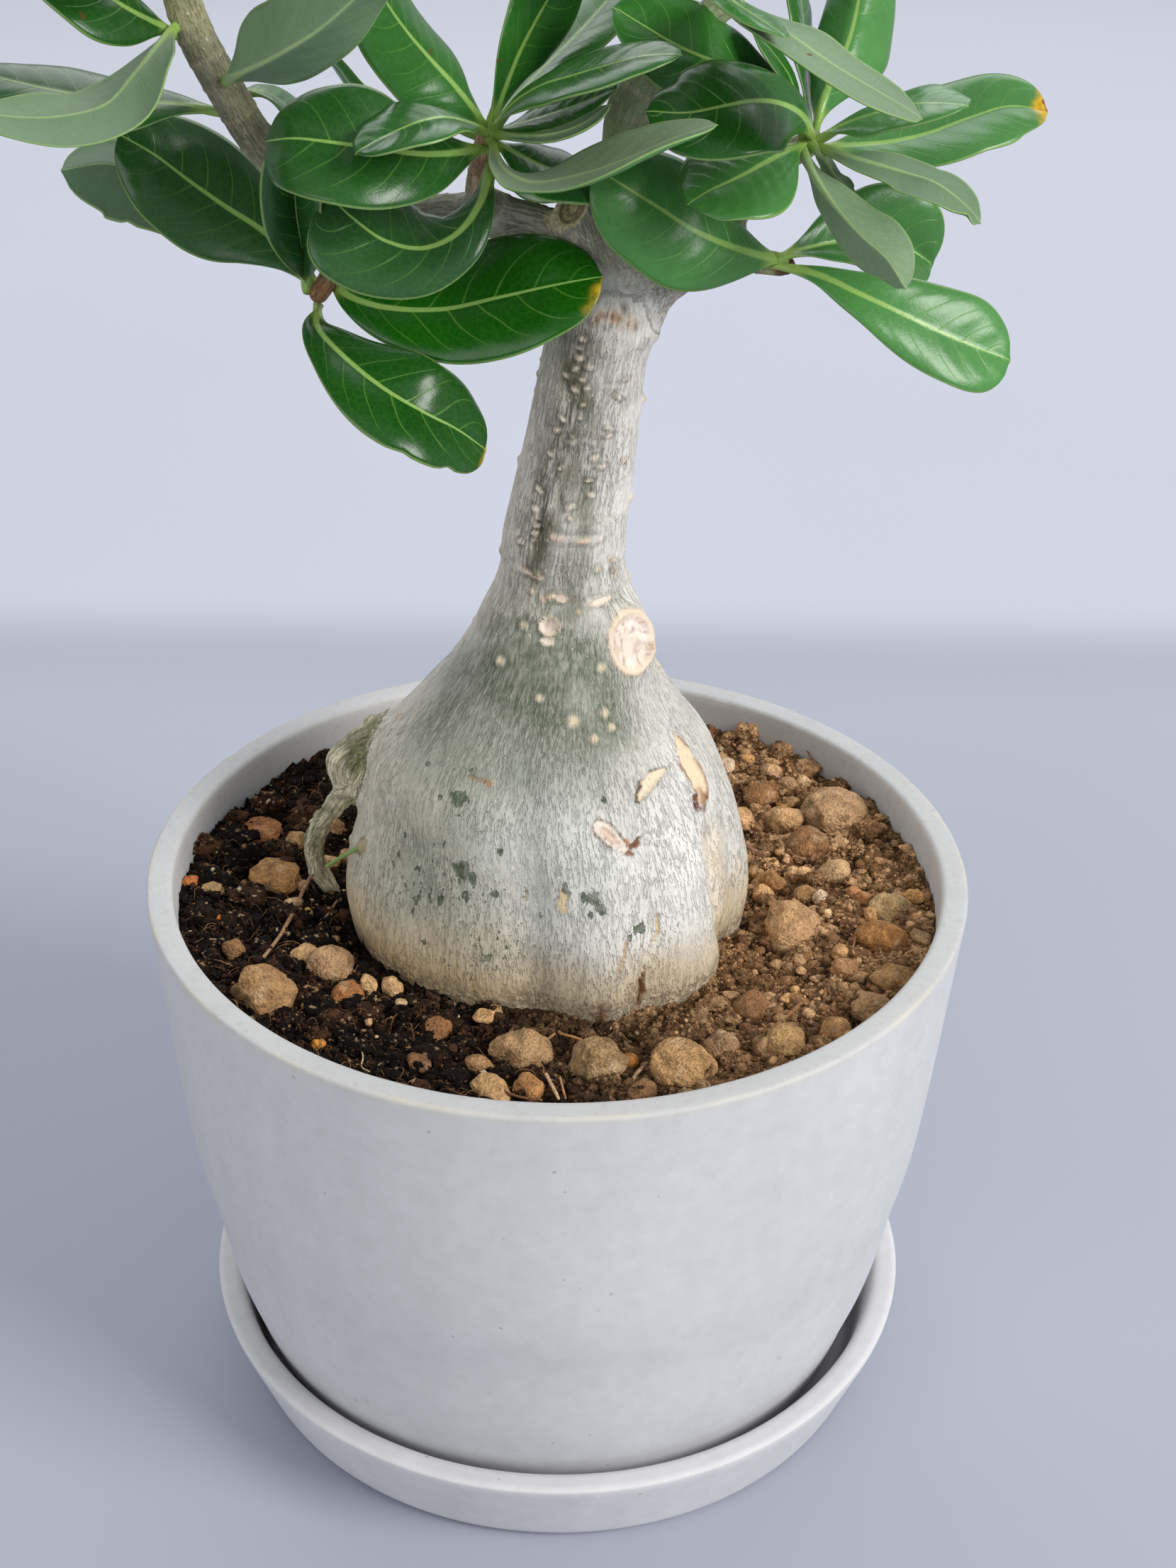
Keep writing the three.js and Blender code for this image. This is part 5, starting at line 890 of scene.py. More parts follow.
for px, py, w, h, col in PEBBLES:
    scale = FOCAL / np.dot(on_soil(px, py) - EYE, FORWARD)
    a = w / scale / 2
    c = (h / scale / 2) * 1.05
    p = on_soil(px, py, 0.12 * c)
    centres.append(p)
    sizes.append((a, max(a * rng.uniform(0.8, 1.0), 0.7 * c), c * 0.9))
    tones.append(srgb(*col))
# more of the same kind behind the caudex, where the photograph doesn't show them
for i in range(46):
    a = rng.uniform(math.radians(35), math.radians(200))
    r = rng.uniform(55, 89)
    s = rng.uniform(0.9, 4.6) ** 1.0 * (0.6 + 0.6 * rng.random() ** 2)
    x0, y0 = r * math.cos(a), r * math.sin(a)
    if math.hypot(x0 - 71.5, y0 - 39) < 13 or math.hypot(x0 + 70.9, y0 - 9) < 10:
        continue
    centres.append(np.array([x0, y0, float(ground(x0, y0)) + 0.05 * s]))
    sizes.append((s, s * rng.uniform(0.75, 1), s * rng.uniform(0.55, 0.8)))
    tones.append(mix(srgb(140, 108, 74)[None], srgb(206, 180, 142), np.array([rng.random()]))[0])
Vs, Fs, Ts, base = [], [], [], 0
for i, (c, s, t) in enumerate(zip(centres, sizes, tones)):
    level = 4 if max(s) > 4.6 else 3 if max(s) > 1.5 else 2
    V, BF = stone_shape(level, c, np.array(s) * 1.12, rng.uniform(0, 360), 100 + i, 0.85)
    Vs.append(V)
    Fs.append(BF + base)
    Ts.append(stone_tone(V, t, 200 + i, 0.7 if max(s) > 1.6 else 0.2))
    base += len(V)
make("pebbles", np.vstack(Vs), Fs, STONE_MAT, "stone", (("tone", "FLOAT_COLOR", np.vstack(Ts)),))

# ---------------------------------------------------------------- the woody plant
RINGS = np.array([(100, -2.5, 32), (108, -2.5, 40), (120, -2.5, 46), (131, -2.5, 48.5), (140, -2.8, 49.6), (150, -2.7, 48.8), (159, -2.5, 46.5), (168, -2.5, 44), (179, -3.2, 40),
                  (189, -3, 33), (199, -2.2, 25.8), (208, -1, 21), (217, -.5, 17.5), (226.5, .2, 14.5), (236.9, .9, 14), (250.2, 3, 13), (262.8, 4.7, 12.2), (274.4, 6.4, 11.6),
                  (281.8, 7.5, 11.5), (287.4, 8.4, 11), (292, 9, 9), (296, 9.4, 4)])
LOBES = np.array([(0, 1), (20, .99), (45, .96), (70, 1), (100, .97), (130, 1), (160, .97), (180, 1), (193, .985), (215, .95), (234, .9), (252, .86), (267, .87), (276, .92), (286, 1),
                  (294, 1.01), (300, .985), (309, 1.03), (318, 1.025), (326, 1.01), (338, .94), (345, .925), (352, 1.005), (360, 1)])
_z = np.arange(100, 296.01, 0.25)
_rows = curve(RINGS * np.array([1, 1, 1.0]), 3000)
_rows = _rows[np.argsort(_rows[:, 0])]
_R = np.interp(_z, _rows[:, 0], _rows[:, 2])
_X = np.interp(_z, _rows[:, 0], _rows[:, 1])
_ang = np.arange(0, 360, 1.0)
_lob = np.interp(_ang, LOBES[:, 0], LOBES[:, 1])
_k = np.exp(-0.5 * (np.arange(-9, 10) / 3.0) ** 2)
_lob = np.convolve(np.r_[_lob[-9:], _lob, _lob[:9]], _k / _k.sum(), "valid")
_lob = np.r_[_lob, _lob[0]]
_dR = np.gradient(_R, _z)


def caudex(P):
    """Signed distance to the swollen base and trunk."""
    z = np.clip(P[:, 2], 100, 296)
    x = P[:, 0] - np.interp(z, _z, _X)
    y = P[:, 1] / 0.97
    rho = np.hypot(x, y)
    a = np.degrees(np.arctan2(y, x)) % 360
    lobe = 1 + (np.interp(a, np.arange(361.0), _lob) - 1) * smooth(188, 145, z)
    r = np.interp(z, _z, _R) * lobe
    s = np.clip(np.interp(z, _z, _dR), -2.5, 2.5)
    d = (rho - r) / np.sqrt(1 + s * s)
    return np.maximum(d, np.maximum(104 - P[:, 2], P[:, 2] - 295.5))


BRANCHES = {
    "stub": [[8.3, 0, 286.7, 8.8], [6.6, -1, 294.5, 6.4], [4.3, -2.6, 303.4, 4.9], [1.9, -4.6, 311.0, 4.5], [0.6, -5.8, 315.4, 4.5]],
    "centre": [[10.1, 0, 287.8, 8.5], [12.7, 1, 298.6, 6], [13.2, 1, 309.1, 5], [12.8, 0, 318.6, 4.9], [12.5, 0, 326.8, 4.9], [13.8, -1, 333.4, 4.7], [16.8, -2, 339.3, 4.2],
               [22, -3, 345.3, 3.7], [28.6, -4, 351.3, 3.3], [33.2, -4, 356.7, 3.1], [34.6, -4, 360.3, 2.7], [35.2, -4, 362.2, 1.9]],
    "right": [[11.7, 0, 287.0, 8.2], [19, 2, 292.6, 5.9], [26.9, 4, 296.8, 4.7], [33.4, 4, 301.1, 4.0]],
    "right_tip": [[31.4, 4, 299.6, 3.9], [33.4, 4, 301.1, 3.9], [36, 2, 308.8, 3.2], [39.9, 0, 316.2, 3], [44.7, -1, 321.4, 2.8], [49.2, -2, 324.5, 2.8], [50.8, -3, 326.3, 2.4]],
    "right_spur": [[31.4, 4, 299.9, 3.7], [33.4, 4, 300.6, 3.5], [39.3, 2, 299.2, 2.8], [45.6, 0, 298.7, 2.5], [47.4, -0.6, 298.6, 2.0]],
    "left": [[7.3, -1, 293.6, 6.0], [6.0, -1, 298.3, 5.4], [0.5, 0, 303.7, 4.5], [-6, 2, 306.5, 3.8], [-14.6, 4, 307.8, 3.6], [-23.7, 5, 307.9, 3.5], [-35.8, 4, 307.5, 3.5], [-46.1, 2, 309.8, 3.5],
             [-54.3, -3, 316.2, 3.6], [-60.2, -7, 322.7, 3.7], [-64.3, -10, 328.9, 3.8], [-67.4, -12, 335.7, 3.9], [-70.6, -13, 342.3, 3.9], [-73.3, -13, 348, 3.8], [-75.4, -13, 354, 3.7],
             [-76.8, -13, 360.1, 3.3], [-77.4, -13, 363.2, 2.6]],
    "middle_spur": [[-15.4, 4, 306.1, 3.2], [-16.3, 3.4, 308.8, 3.2], [-17.9, -1, 314.2, 3], [-16.8, -6, 321.8, 2.9], [-15.6, -9, 328.3, 2.6]],
    "left_spur": [[-44.2, 2, 310.6, 3.2], [-44.8, 1.8, 308.6, 3.1], [-46.1, 0, 304, 2.7], [-48.2, -2, 299.2, 2.4], [-50.4, -3, 294.9, 2.2], [-52.3, -3.8, 292.2, 2.1]],
    "air_root": [[-34.5, 8.5, 177.0, 3.4], [-39.5, 8.3, 177.9, 3.7], [-43.5, 8, 177.7, 3.6], [-48.6, 6, 175.6, 3.3], [-52.1, 4, 172.4, 3.1], [-52.2, 3, 168.2, 2.9], [-50, 3, 165.8, 2.6], [-46.5, 3, 164.2, 2.2]],
    "air_root_low": [[-44.8, 7.4, 175.3, 3.0], [-45.8, 7, 173.1, 3], [-48.9, 3, 168, 2.9], [-53.1, 3, 161.9, 2.8], [-57.6, 4, 155.2, 2.6], [-60.1, 5, 147.3, 2.5], [-60.1, 6, 140, 2.4],
                     [-57.5, 6, 135, 2.2], [-54.6, 6, 128.8, 1.9]],
}
CHAINS = {k: curve(v, max(14, int(3 * len(v)))) for k, v in BRANCHES.items()}
CUT_N = unit(np.array([-0.62, -0.50, 0.60]))
CUT_AT = np.array([1.4, -5.0, 311.9])


def tube(P, Q):
    """Distance to a chain of round segments, and how far along it each point lies (mm)."""
    best = np.full(len(P), 40.0)
    along = np.zeros(len(P))
    s = 0.0
    for a, b in zip(Q[:-1], Q[1:]):
        ab = b[:3] - a[:3]
        L = np.linalg.norm(ab)
        t = np.clip((P - a[:3]) @ ab / L ** 2, 0, 1)
        d = np.linalg.norm(P - a[:3] - t[:, None] * ab, axis=1) - (a[3] + t * (b[3] - a[3]))
        k = d < best
        best[k] = d[k]
        along[k] = s + t[k] * L
        s += L
    return best, along


def soft_min(a, b, k):
    h = np.clip(k - np.abs(a - b), 0, None) / k
    return np.minimum(a, b) - h * h * k * 0.25


def wood(P):
    d = caudex(P)
    for name, Q in CHAINS.items():
        lo, hi = Q[:, :3].min(0) - 14, Q[:, :3].max(0) + 14
        k = ((P > lo) & (P < hi)).all(1)
        if not k.any():
            continue
        t, _ = tube(P[k], Q)
        if name == "stub":
            t = np.maximum(t, (P[k] - CUT_AT) @ CUT_N)
        d[k] = soft_min(d[k], t, 5.5 if name in ("air_root",) else 2.6 if name == "air_root_low" else 4.5)
    k = ((P - SCAR_AT) ** 2).sum(1) < 400
    if k.any():
        d[k] = soft_min(d[k], boss(P[k]), 5.0)
    return d


_v = sight(892, 906)
SCAR_AT = EYE + _v * ((-12.9 - EYE[1]) / _v[1])
SCAR_N = unit(np.array([0.38, -0.90, 0.20]))
SCAR_X = unit(np.cross(SCAR_N, [-0.10, 0, 1.0]))
SCAR_Z = np.cross(SCAR_N, SCAR_X)


def boss(P):
    """The swelling that carries the large healed cut."""
    o = P - (SCAR_AT - 3.4 * SCAR_N)
    h = o @ SCAR_N
    h = np.where(h < 0, h * 0.3, h) / 3.4
    q = ((o @ SCAR_X / 6.5) ** 2 + (o @ SCAR_Z / 8.3) ** 2) ** 1.5 + np.abs(h) ** 3
    return (q ** (1 / 3) - 1) * 3.4


def slope(P, f, e=0.15):
    g = np.stack([f(P + np.eye(3)[i] * e) - f(P - np.eye(3)[i] * e) for i in range(3)], 1) / (2 * e)
    return g


def hit(px, py, field=caudex, start=480.0):
    """Where the sight line through a point of the frame meets a surface."""
    v = sight(px, py)
    t = start
    for _ in range(160):
        d = float(field((EYE + v * t)[None])[0])
        t += max(d * 0.7, 0.02) if d > 0 else d * 0.5
        if abs(d) < 0.01:
            break
    return EYE + v * t


def remeshed(size):
    """A first even skin round the whole plant."""
    parts, base = [], 0
    Vs, Fs = [], []
    zz = np.arange(104, 294.6, 3.0)
    rows = [(0, 104)] + [(float(np.interp(z, _z, _R)) - 0.5, z) for z in zz] + [(0, 294.5)]
    V, F = turned(rows, 72)
    V[:, 0] += np.interp(V[:, 2], _z, _X)
    Vs.append(V)
    Fs += [f for f in F]
    base = len(V)
    B, BF = icosphere(2)
    for Q in CHAINS.values():
        for q in curve(Q, 4 * len(Q)):
            Vs.append(q[:3] + B * q[3])
            Fs.append(BF + base)
            base += len(B)
    Vs.append(SCAR_AT - 5.6 * SCAR_N + B * 6.0)
    Fs.append(BF + base)
    o = make("skin", np.vstack(Vs), Fs)
    m = o.modifiers.new("even", "REMESH")
    m.mode = "VOXEL"
    m.voxel_size = size * MM
    dg = bpy.context.evaluated_depsgraph_get()
    me = o.evaluated_get(dg).to_mesh()
    co = np.zeros(len(me.vertices) * 3)
    me.vertices.foreach_get("co", co)
    n = len(me.polygons)
    starts = np.zeros(n, int)
    me.polygons.foreach_get("loop_start", starts)
    totals = np.zeros(n, int)
    me.polygons.foreach_get("loop_total", totals)
    vi = np.zeros(len(me.loops), int)
    me.loops.foreach_get("vertex_index", vi)
    q = vi[starts[totals == 4][:, None] + np.arange(4)]
    t = vi[starts[totals == 3][:, None] + np.arange(3)]
    bpy.data.objects.remove(o)
    return co.reshape(-1, 3) / MM, q, t


V, Q4, T3 = remeshed(0.62)
for step in range(4):
    d = wood(V)
    g = slope(V, wood)
    V = V - (np.clip(d, -2, 2) * 0.9)[:, None] * g / np.maximum((g * g).sum(1, keepdims=True), 0.25)


def relax(V, quads, rounds, amount):
    """Evens out the spacing of the vertices."""
    e = np.vstack([quads[:, [0, 1]], quads[:, [1, 2]], quads[:, [2, 3]], quads[:, [3, 0]]])
    e = np.unique(np.sort(e, 1), axis=0)
    cnt = np.bincount(e.ravel(), minlength=len(V)).astype(float)
    for _ in range(rounds):
        s = np.stack([np.bincount(e[:, 0], V[e[:, 1], i], len(V)) + np.bincount(e[:, 1], V[e[:, 0], i], len(V)) for i in range(3)], 1)
        V = V + amount * (s / np.maximum(cnt, 1)[:, None] - V)
    return V


V = relax(V, Q4, 3, 0.5)
for step in range(2):
    d = wood(V)
    g = slope(V, wood)
    V = V - (np.clip(d, -2, 2))[:, None] * g / np.maximum((g * g).sum(1, keepdims=True), 0.25)
N = unit(slope(V, wood, 0.3))

# which part each point belongs to, and its place along the wood
D = [caudex(V)]
A = [V[:, 2]]
names = ["base"]
for name, Q in CHAINS.items():
    t, s = tube(V, Q)
    if name == "stub":
        t = np.maximum(t, -9)
    D.append(t)
    A.append(s)
    names.append(name)
D = np.array(D)
near = D.argmin(0)
near[(V[:, 2] < 284) & (V[:, 0] > -33)] = 0
is_base = near == 0
branch = ~is_base & (V[:, 2] > 250)
airy = ~is_base & (V[:, 2] <= 250)
w_base = smooth(-1.5, 2.0, np.delete(D, 0, 0).min(0) - D[0])
w_base[is_base & (V[:, 2] < 284)] = 1

# grain coordinates: two across the wood and one along it, in units of 10 mm
along = np.array(A)[near, np.arange(len(V))]
grain = np.zeros((len(V), 3))
ax = np.array([0.0, 0.0, 1.0])
zc = V[:, 2]
az = np.arctan2(V[:, 1], V[:, 0] - np.interp(np.clip(zc, 100, 296), _z, _X))
r_here = np.interp(np.clip(zc, 100, 296), _z, _R)
grain[is_base] = np.c_[np.cos(az) * 46.0, np.sin(az) * 46.0, zc - 0.45 * (r_here - 48)][is_base] / 10
grain_up = np.zeros((len(V), 3))
grain_up[is_base] = np.c_[np.cos(az) * 14.0, np.sin(az) * 14.0, zc][is_base] / 10
up_zone = smooth(202, 216, zc)
up_zone[~is_base] = 1
Ds = np.sort(D, 0)
edge_free = smooth(0.0, 1.6, Ds[1] - Ds[0])
edge_free[is_base & (zc < 284)] = 1
for i, (name, Q) in enumerate(CHAINS.items(), 1):
    k = near == i
    if not k.any():
        continue
    s = np.r_[0, np.cumsum(np.linalg.norm(np.diff(Q[:, :3], axis=0), axis=1))]
    axis = unit(np.stack([np.interp(along[k], s, np.gradient(Q[:, j], s)) for j in range(3)], 1))
    cen = np.stack([np.interp(along[k], s, Q[:, j]) for j in range(3)], 1)
    off = V[k] - cen
    e1 = unit(np.cross(axis, [0.2, 1.0, 0.1]))
    e2 = np.cross(axis, e1)
    grain[k] = np.c_[(off * e1).sum(1), (off * e2).sum(1), along[k] + 31.0 * i] / 10
    grain_up[k] = grain[k]

# colours
n_ = len(V)
az_d = np.degrees(az) % 360
P = V
tone = np.tile(srgb(219, 216, 209), (n_, 1))
low = smooth(0.1, 0.75, fbm(P * (1, 1, 0.6), 14, 4, 301) * 0.5 + 0.5)
tone = mix(tone, srgb(196, 193, 182), low * 0.6)
# painted shade: the front-left of the caudex made darker
tone = mix(tone, srgb(184, 185, 173), 0.45 * smooth(0.1, 0.9, np.cos(az - math.radians(245))) * smooth(134, 152, zc) * smooth(238, 218, zc))
front = smooth(-0.15, 0.75, -np.sin(az)) if True else 0
gcen = np.exp(-(((zc - 207) / 17) ** 2)) * smooth(0.05, 0.8, np.cos(az - math.radians(252)))
green = np.clip(1.15 * gcen * (0.80 + 0.4 * noise(P, 9, 303)) + 0.16 * smooth(0.2, 0.9, np.cos(az - math.radians(238))) * smooth(140, 165, zc) * smooth(215, 190, zc) * (0.8 + 0.5 * noise(P, 10, 304)), 0, 1)
trunk = smooth(203, 222, zc) * smooth(300, 286, zc)
dark_side = smooth(0.15, 0.85, np.cos(az - math.radians(243)) + 0.25 * noise(P * (1, 1, 0.35), 9, 305))
green = np.maximum(green, 0.26 * trunk * dark_side * smooth(-0.45, 0.5, fbm(P * (1, 1, 0.3), 8, 3, 306) + 0.2))
streaky = np.clip(trunk * (0.10 + 0.30 * dark_side) * (0.35 + 0.9 * smooth(-0.2, 0.5, noise(P * (1, 1, 0.35), 7, 308))), 0, 1)
fleck = np.zeros(n_)
for px, py, rad, much in ((600, 1260, 13, 1.12), (650, 1250, 13, 1.15), (690, 1340, 12, 1.05), (840, 1272, 8, 1.05), (655, 1135, 6, 1.0), (760, 1300, 9, 0.85), (560, 1220, 9, 1.0), (620, 1180, 9, 0.9), (940, 1310, 6, 0.9), (760, 1180, 8, 0.75), (640, 1370, 9, 1.0)):
    fleck = np.maximum(fleck, 0.52 * much * np.exp(-(np.linalg.norm(P - hit(px, py), axis=1) / rad) ** 2))
fleck = np.maximum(fleck, 0.42 * smooth(0.25, 0.6, noise(P, 21, 310)) * smooth(0.1, 0.5, np.sin(az)) * smooth(195, 165, zc))
scruff = smooth(0.05, 0.5, fbm(P * (1, 1, 0.6), 16, 3, 307)) * smooth(-0.2, 0.4, np.cos(az - math.radians(90)))
green = np.maximum(green, 0.55 * scruff * smooth(170, 200, zc))
green[~is_base] = 0
# painted fill light: the shaded left side of the caudex made lighter and warmer
left_shade = smooth(0.3, 1.0, np.cos(az - math.radians(200))) * smooth(210, 170, zc)
tone = mix(tone, srgb(222, 214, 190), 0.65 * left_shade)
# painted shade: a darker, greyer-green zone on the front-left
mid_left = smooth(0.55, 0.98, np.cos(az - math.radians(246))) * smooth(132, 146, zc) * smooth(204, 186, zc) * (0.75 + 0.5 * noise(P, 11, 315))
tone = mix(tone, srgb(158, 163, 148), np.clip(0.62 * mid_left, 0, 1))
tone = mix(tone, srgb(176, 178, 170), 0.45 * smooth(0.1, 0.7, fbm(P * (1, 1, 0.45), 8, 3, 316)) * smooth(150, 160, zc) * smooth(215, 195, zc))
# painted light: the right front, which faces the key lamp, made whiter
tone = mix(tone, srgb(236, 235, 232), 0.60 * smooth(0.45, 0.95, np.cos(az - math.radians(297))) * smooth(196, 172, zc) * smooth(140, 152, zc))
tone = mix(tone, srgb(206, 184, 146), 1.0 * smooth(157, 137, zc + 5 * noise(P, 12, 309)) * (0.72 + 0.28 * smooth(0.2, -0.6, np.cos(az))))
band = np.exp(-(((az_d - 334 + 180) % 360 - 180 + 0) / 7.5) ** 2) * smooth(176, 160, zc) * (0.75 + 0.3 * noise(P * (1, 1, 0.12), 2.2, 311))
tone = mix(tone, srgb(224, 204, 168), np.clip(band * 0.95, 0, 1))
crack = np.exp(-(((az_d - 286) / 2.2) ** 2)) * smooth(138, 133, zc)
tone = mix(tone, srgb(122, 86, 60), np.clip(crack, 0, 1))
# painted light: the trunk's left side and its right side, which faces the key lamp, made paler
tone = mix(tone, srgb(226, 216, 200), 0.60 * trunk * smooth(0.2, 0.9, np.cos(az - math.radians(200))))
tone = mix(tone, srgb(218, 214, 206), 0.55 * trunk * smooth(0.2, 0.9, np.cos(az - math.radians(330))))
patch = smooth(0.30, 0.42, noise(P * (0.8, 0.8, 1.6), 9, 313)) * trunk * smooth(-0.3, 0.3, np.cos(az - math.radians(320)))
tone = mix(tone, srgb(222, 218, 212), 0.55 * patch)

young = srgb(146, 158, 118)
old = srgb(158, 154, 138)
for i, (name, Q) in enumerate(CHAINS.items(), 1):
    k = near == i
    if not k.any():
        continue
    s = along[k]
    L = s.max()
    f = s / L
    m_ = fbm(P[k], 6, 4, 320 + i)
    c = np.tile(old, (k.sum(), 1))
    if name == "left":
        c = mix(np.tile(srgb(184, 180, 164), (k.sum(), 1)), srgb(142, 138, 112), smooth(0.25, 0.70, f))
        c = mix(c, srgb(160, 160, 116), 0.7 * smooth(0.82, 0.94, f))
    elif name == "centre":
        c = mix(np.tile(srgb(158, 158, 142), (k.sum(), 1)), srgb(156, 176, 128), smooth(0.25, 0.45, f))
    elif name == "right":
        c = np.tile(srgb(182, 178, 166), (k.sum(), 1))
    elif name in ("right_tip", "right_spur"):
        c = mix(np.tile(srgb(150, 158, 118), (k.sum(), 1)), srgb(170, 176, 120), smooth(0.4, 0.9, f))
        if name == "right_spur":
            c = mix(c, srgb(96, 34, 30), smooth(0.82, 0.95, f))
    elif name == "middle_spur":
        c = mix(np.tile(srgb(168, 164, 142), (k.sum(), 1)), srgb(202, 158, 124), smooth(0.35, 0.7, f))
    elif name == "left_spur":
        c = mix(np.tile(srgb(150, 148, 126), (k.sum(), 1)), srgb(136, 96, 62), smooth(0.66, 0.9, f))
    elif name.startswith("air"):
        c = mix(np.tile(srgb(222, 212, 182), (k.sum(), 1)), srgb(142, 142, 104), smooth(-0.30, 0.45, fbm(P[k] * (1, 1, 0.6), 2.8, 3, 344)))
    elif name == "stub":
        c = np.tile(srgb(168, 164, 146), (k.sum(), 1))
    c = mix(c, srgb(110, 112, 82), (0.2 if name.startswith("air") else 0.5) * smooth(0.05, 0.5, m_))
    melt = smooth(6.0, 1.0, D[0][k]) if not name.startswith("air") else np.zeros(k.sum())
    tone[k] = mix(c, mix(tone[k], srgb(196, 192, 180), np.array([0.15])), melt)
    streaky[k] = 0.7 if name.startswith("air") else 0.55 if name in ("stub", "right", "left") else 0.3
    if name == "left":
        streaky[k] = mix(np.full((k.sum(), 1), 0.6), np.array([0.15]), smooth(0.55, 0.85, f))[:, 0]

# relief
H = 0.55 * fbm(P, 19, 3, 331) * smooth(300, 190, zc) + 0.20 * fbm(P * (1, 1, 0.6), 6, 3, 333)
H *= 0.6 + 0.4 * w_base
stripes = mix(fbm(grain * 10 * (1, 1, 0.2), 3.6, 2, 335)[:, None], fbm(grain_up * 10 * (1, 1, 0.2), 3.6, 2, 335)[:, None], up_zone)[:, 0]
H += 0.12 * stripes * edge_free
H += -0.14 * smooth(0.18, 0.50, noise(grain * 10 * (1, 1, 0.22), 2.2, 337)) * (1 - up_zone) * is_base
H[airy] += (0.75 * fbm(P * (1, 1, 0.8), 4.6, 3, 339) + 0.30 * noise(grain * 10 * (1, 1, 0.25), 1.9, 340))[airy]
H[airy] += (0.60 * smooth(0.30, 0.6, noise(P, 2.6, 342)) - 0.35 * smooth(0.35, 0.6, noise(P * (1, 1, 0.7), 1.9, 343)))[airy]


def away(pts, field=caudex):
    """Distance of every vertex to a line through places of the frame."""
    X = np.array([hit(px, py, field) for px, py in pts])
    best = np.full(n_, 99.0)
    for a, b in zip(X[:-1], X[1:]):
        ab = b - a
        t = np.clip((V - a) @ ab / (ab @ ab), 0, 1)
        best = np.minimum(best, np.linalg.norm(V - a - t[:, None] * ab, axis=1))
    return best


# the furrow down the front, the two on the right, and the swellings beside them
for pts, wide_, deep_ in (([(733, 1130), (737, 1190), (742, 1270), (748, 1340), (754, 1430)], 5.6, 1.75), ([(652, 1200), (648, 1280), (662, 1350)], 8.0, -0.55), ([(862, 1230), (858, 1290), (852, 1350)], 9.0, -0.45),
                          ([(1002, 1185), (1010, 1245), (1018, 1305), (1022, 1350)], 3.0, 1.9), ([(958, 1290), (960, 1340), (965, 1390)], 6.5, -0.4), ([(905, 1395), (904, 1425), (900, 1450)], 3.2, 1.1),
                          ([(586, 1150), (576, 1230), (590, 1300)], 5.0, 0.35)):
    H -= deep_ * np.exp(-(away(pts) / wide_) ** 2)
# grooves and swellings of the side that isn't seen
for a0, wide_, deep_, z_hi in ((47, 5.0, 1.7, 172), (73, 9.0, -0.6, 170), (102, 6.0, 2.0, 180), (131, 9.0, -0.6, 172), (160, 4.6, 1.4, 170)):
    bend_ = 6 * noise(np.c_[zc, zc * 0 + a0, zc * 0], 24, a0)
    side_d = (((az_d - a0 - bend_ + 180) % 360) - 180) * np.pi / 180 * r_here
    H -= deep_ * np.exp(-(side_d / wide_) ** 2) * smooth(z_hi + 10, z_hi - 20, zc) * is_base
d = np.linalg.norm(V - hit(893, 1192), axis=1)
o = V - hit(893, 1192)
spoke = np.arctan2(o[:, 2], o[:, 0])
H -= 1.15 * np.exp(-(d / 3.2) ** 2) + 0.42 * np.sin(spoke * 10 + 2.2 * noise(V, 3, 345)) * np.exp(-((d - 4.6) / 2.8) ** 2)
rough_zone = 0.9 * smooth(139, 133.5, zc + 1.5 * noise(P, 6, 341)) * is_base + crack
smooth_zone = np.zeros(n_)
smooth_zone += 0.75 * patch + 0.4 * (near == names.index("centre"))

# a dark streak down the left of the trunk: partly painted shadow, partly dark green-streaked bark
band_d = away([(818, 490), (806, 560), (796, 610), (780, 660), (766, 710), (752, 760), (742, 800)])
dark_d = trunk * np.exp(-(band_d / 4.4) ** 2)
streaky = np.maximum(streaky, dark_d * (0.85 + 0.35 * noise(P * (1, 1, 0.5), 3, 347)))
tone = mix(tone, srgb(98, 93, 74), np.clip(dark_d * (0.70 + 1.0 * noise(P * (1, 1, 0.45), 2.6, 346)), 0, 0.95))
band_e = away([(836, 560), (826, 640), (826, 700), (818, 760), (806, 820), (800, 868)])
streaky = np.maximum(streaky, 0.75 * np.exp(-(band_e / 5.0) ** 2) * (0.8 + 0.3 * noise(P * (1, 1, 0.5), 3, 348)))
tone = mix(tone, srgb(128, 129, 112), np.clip(0.75 * trunk * np.exp(-(band_e / 4.6) ** 2) * (0.7 + 0.6 * noise(P * (1, 1, 0.4), 3.4, 350)), 0, 0.9))
H += trunk * np.exp(-(band_d / 4.0) ** 2) * 0.34 * fbm(P * (1, 1, 0.6), 2.2, 2, 349)

# ring marks where old leaves and branches grew
def ring(z0, height, wide, wob, seed, part=None, lo=0.0):
    global H, tone
    k = is_base if part is None else near == part
    w = wob * noise(np.c_[np.cos(az), np.sin(az), np.zeros(n_)] * 1.1 + seed, 0.8, seed)
    d = (zc if part is None else along) - z0 - w
    e = np.exp(-(d / wide) ** 2)
    live = smooth(-0.35, 0.2, noise(np.c_[np.cos(az), np.sin(az), np.zeros(n_)] * 2.2 + 5 * seed, 0.7, seed + 1) + lo)
    if part is not None:
        live = np.ones(n_)
    wt = w_base if part is None else np.where(k, smooth(0.0, 1.6, D[0] - Ds[0]) * edge_free, 0)
    H += wt * (height * e * live - 0.6 * height * np.exp(-((d + 1.6 * wide) / wide) ** 2) * live)
    return wt * e * live


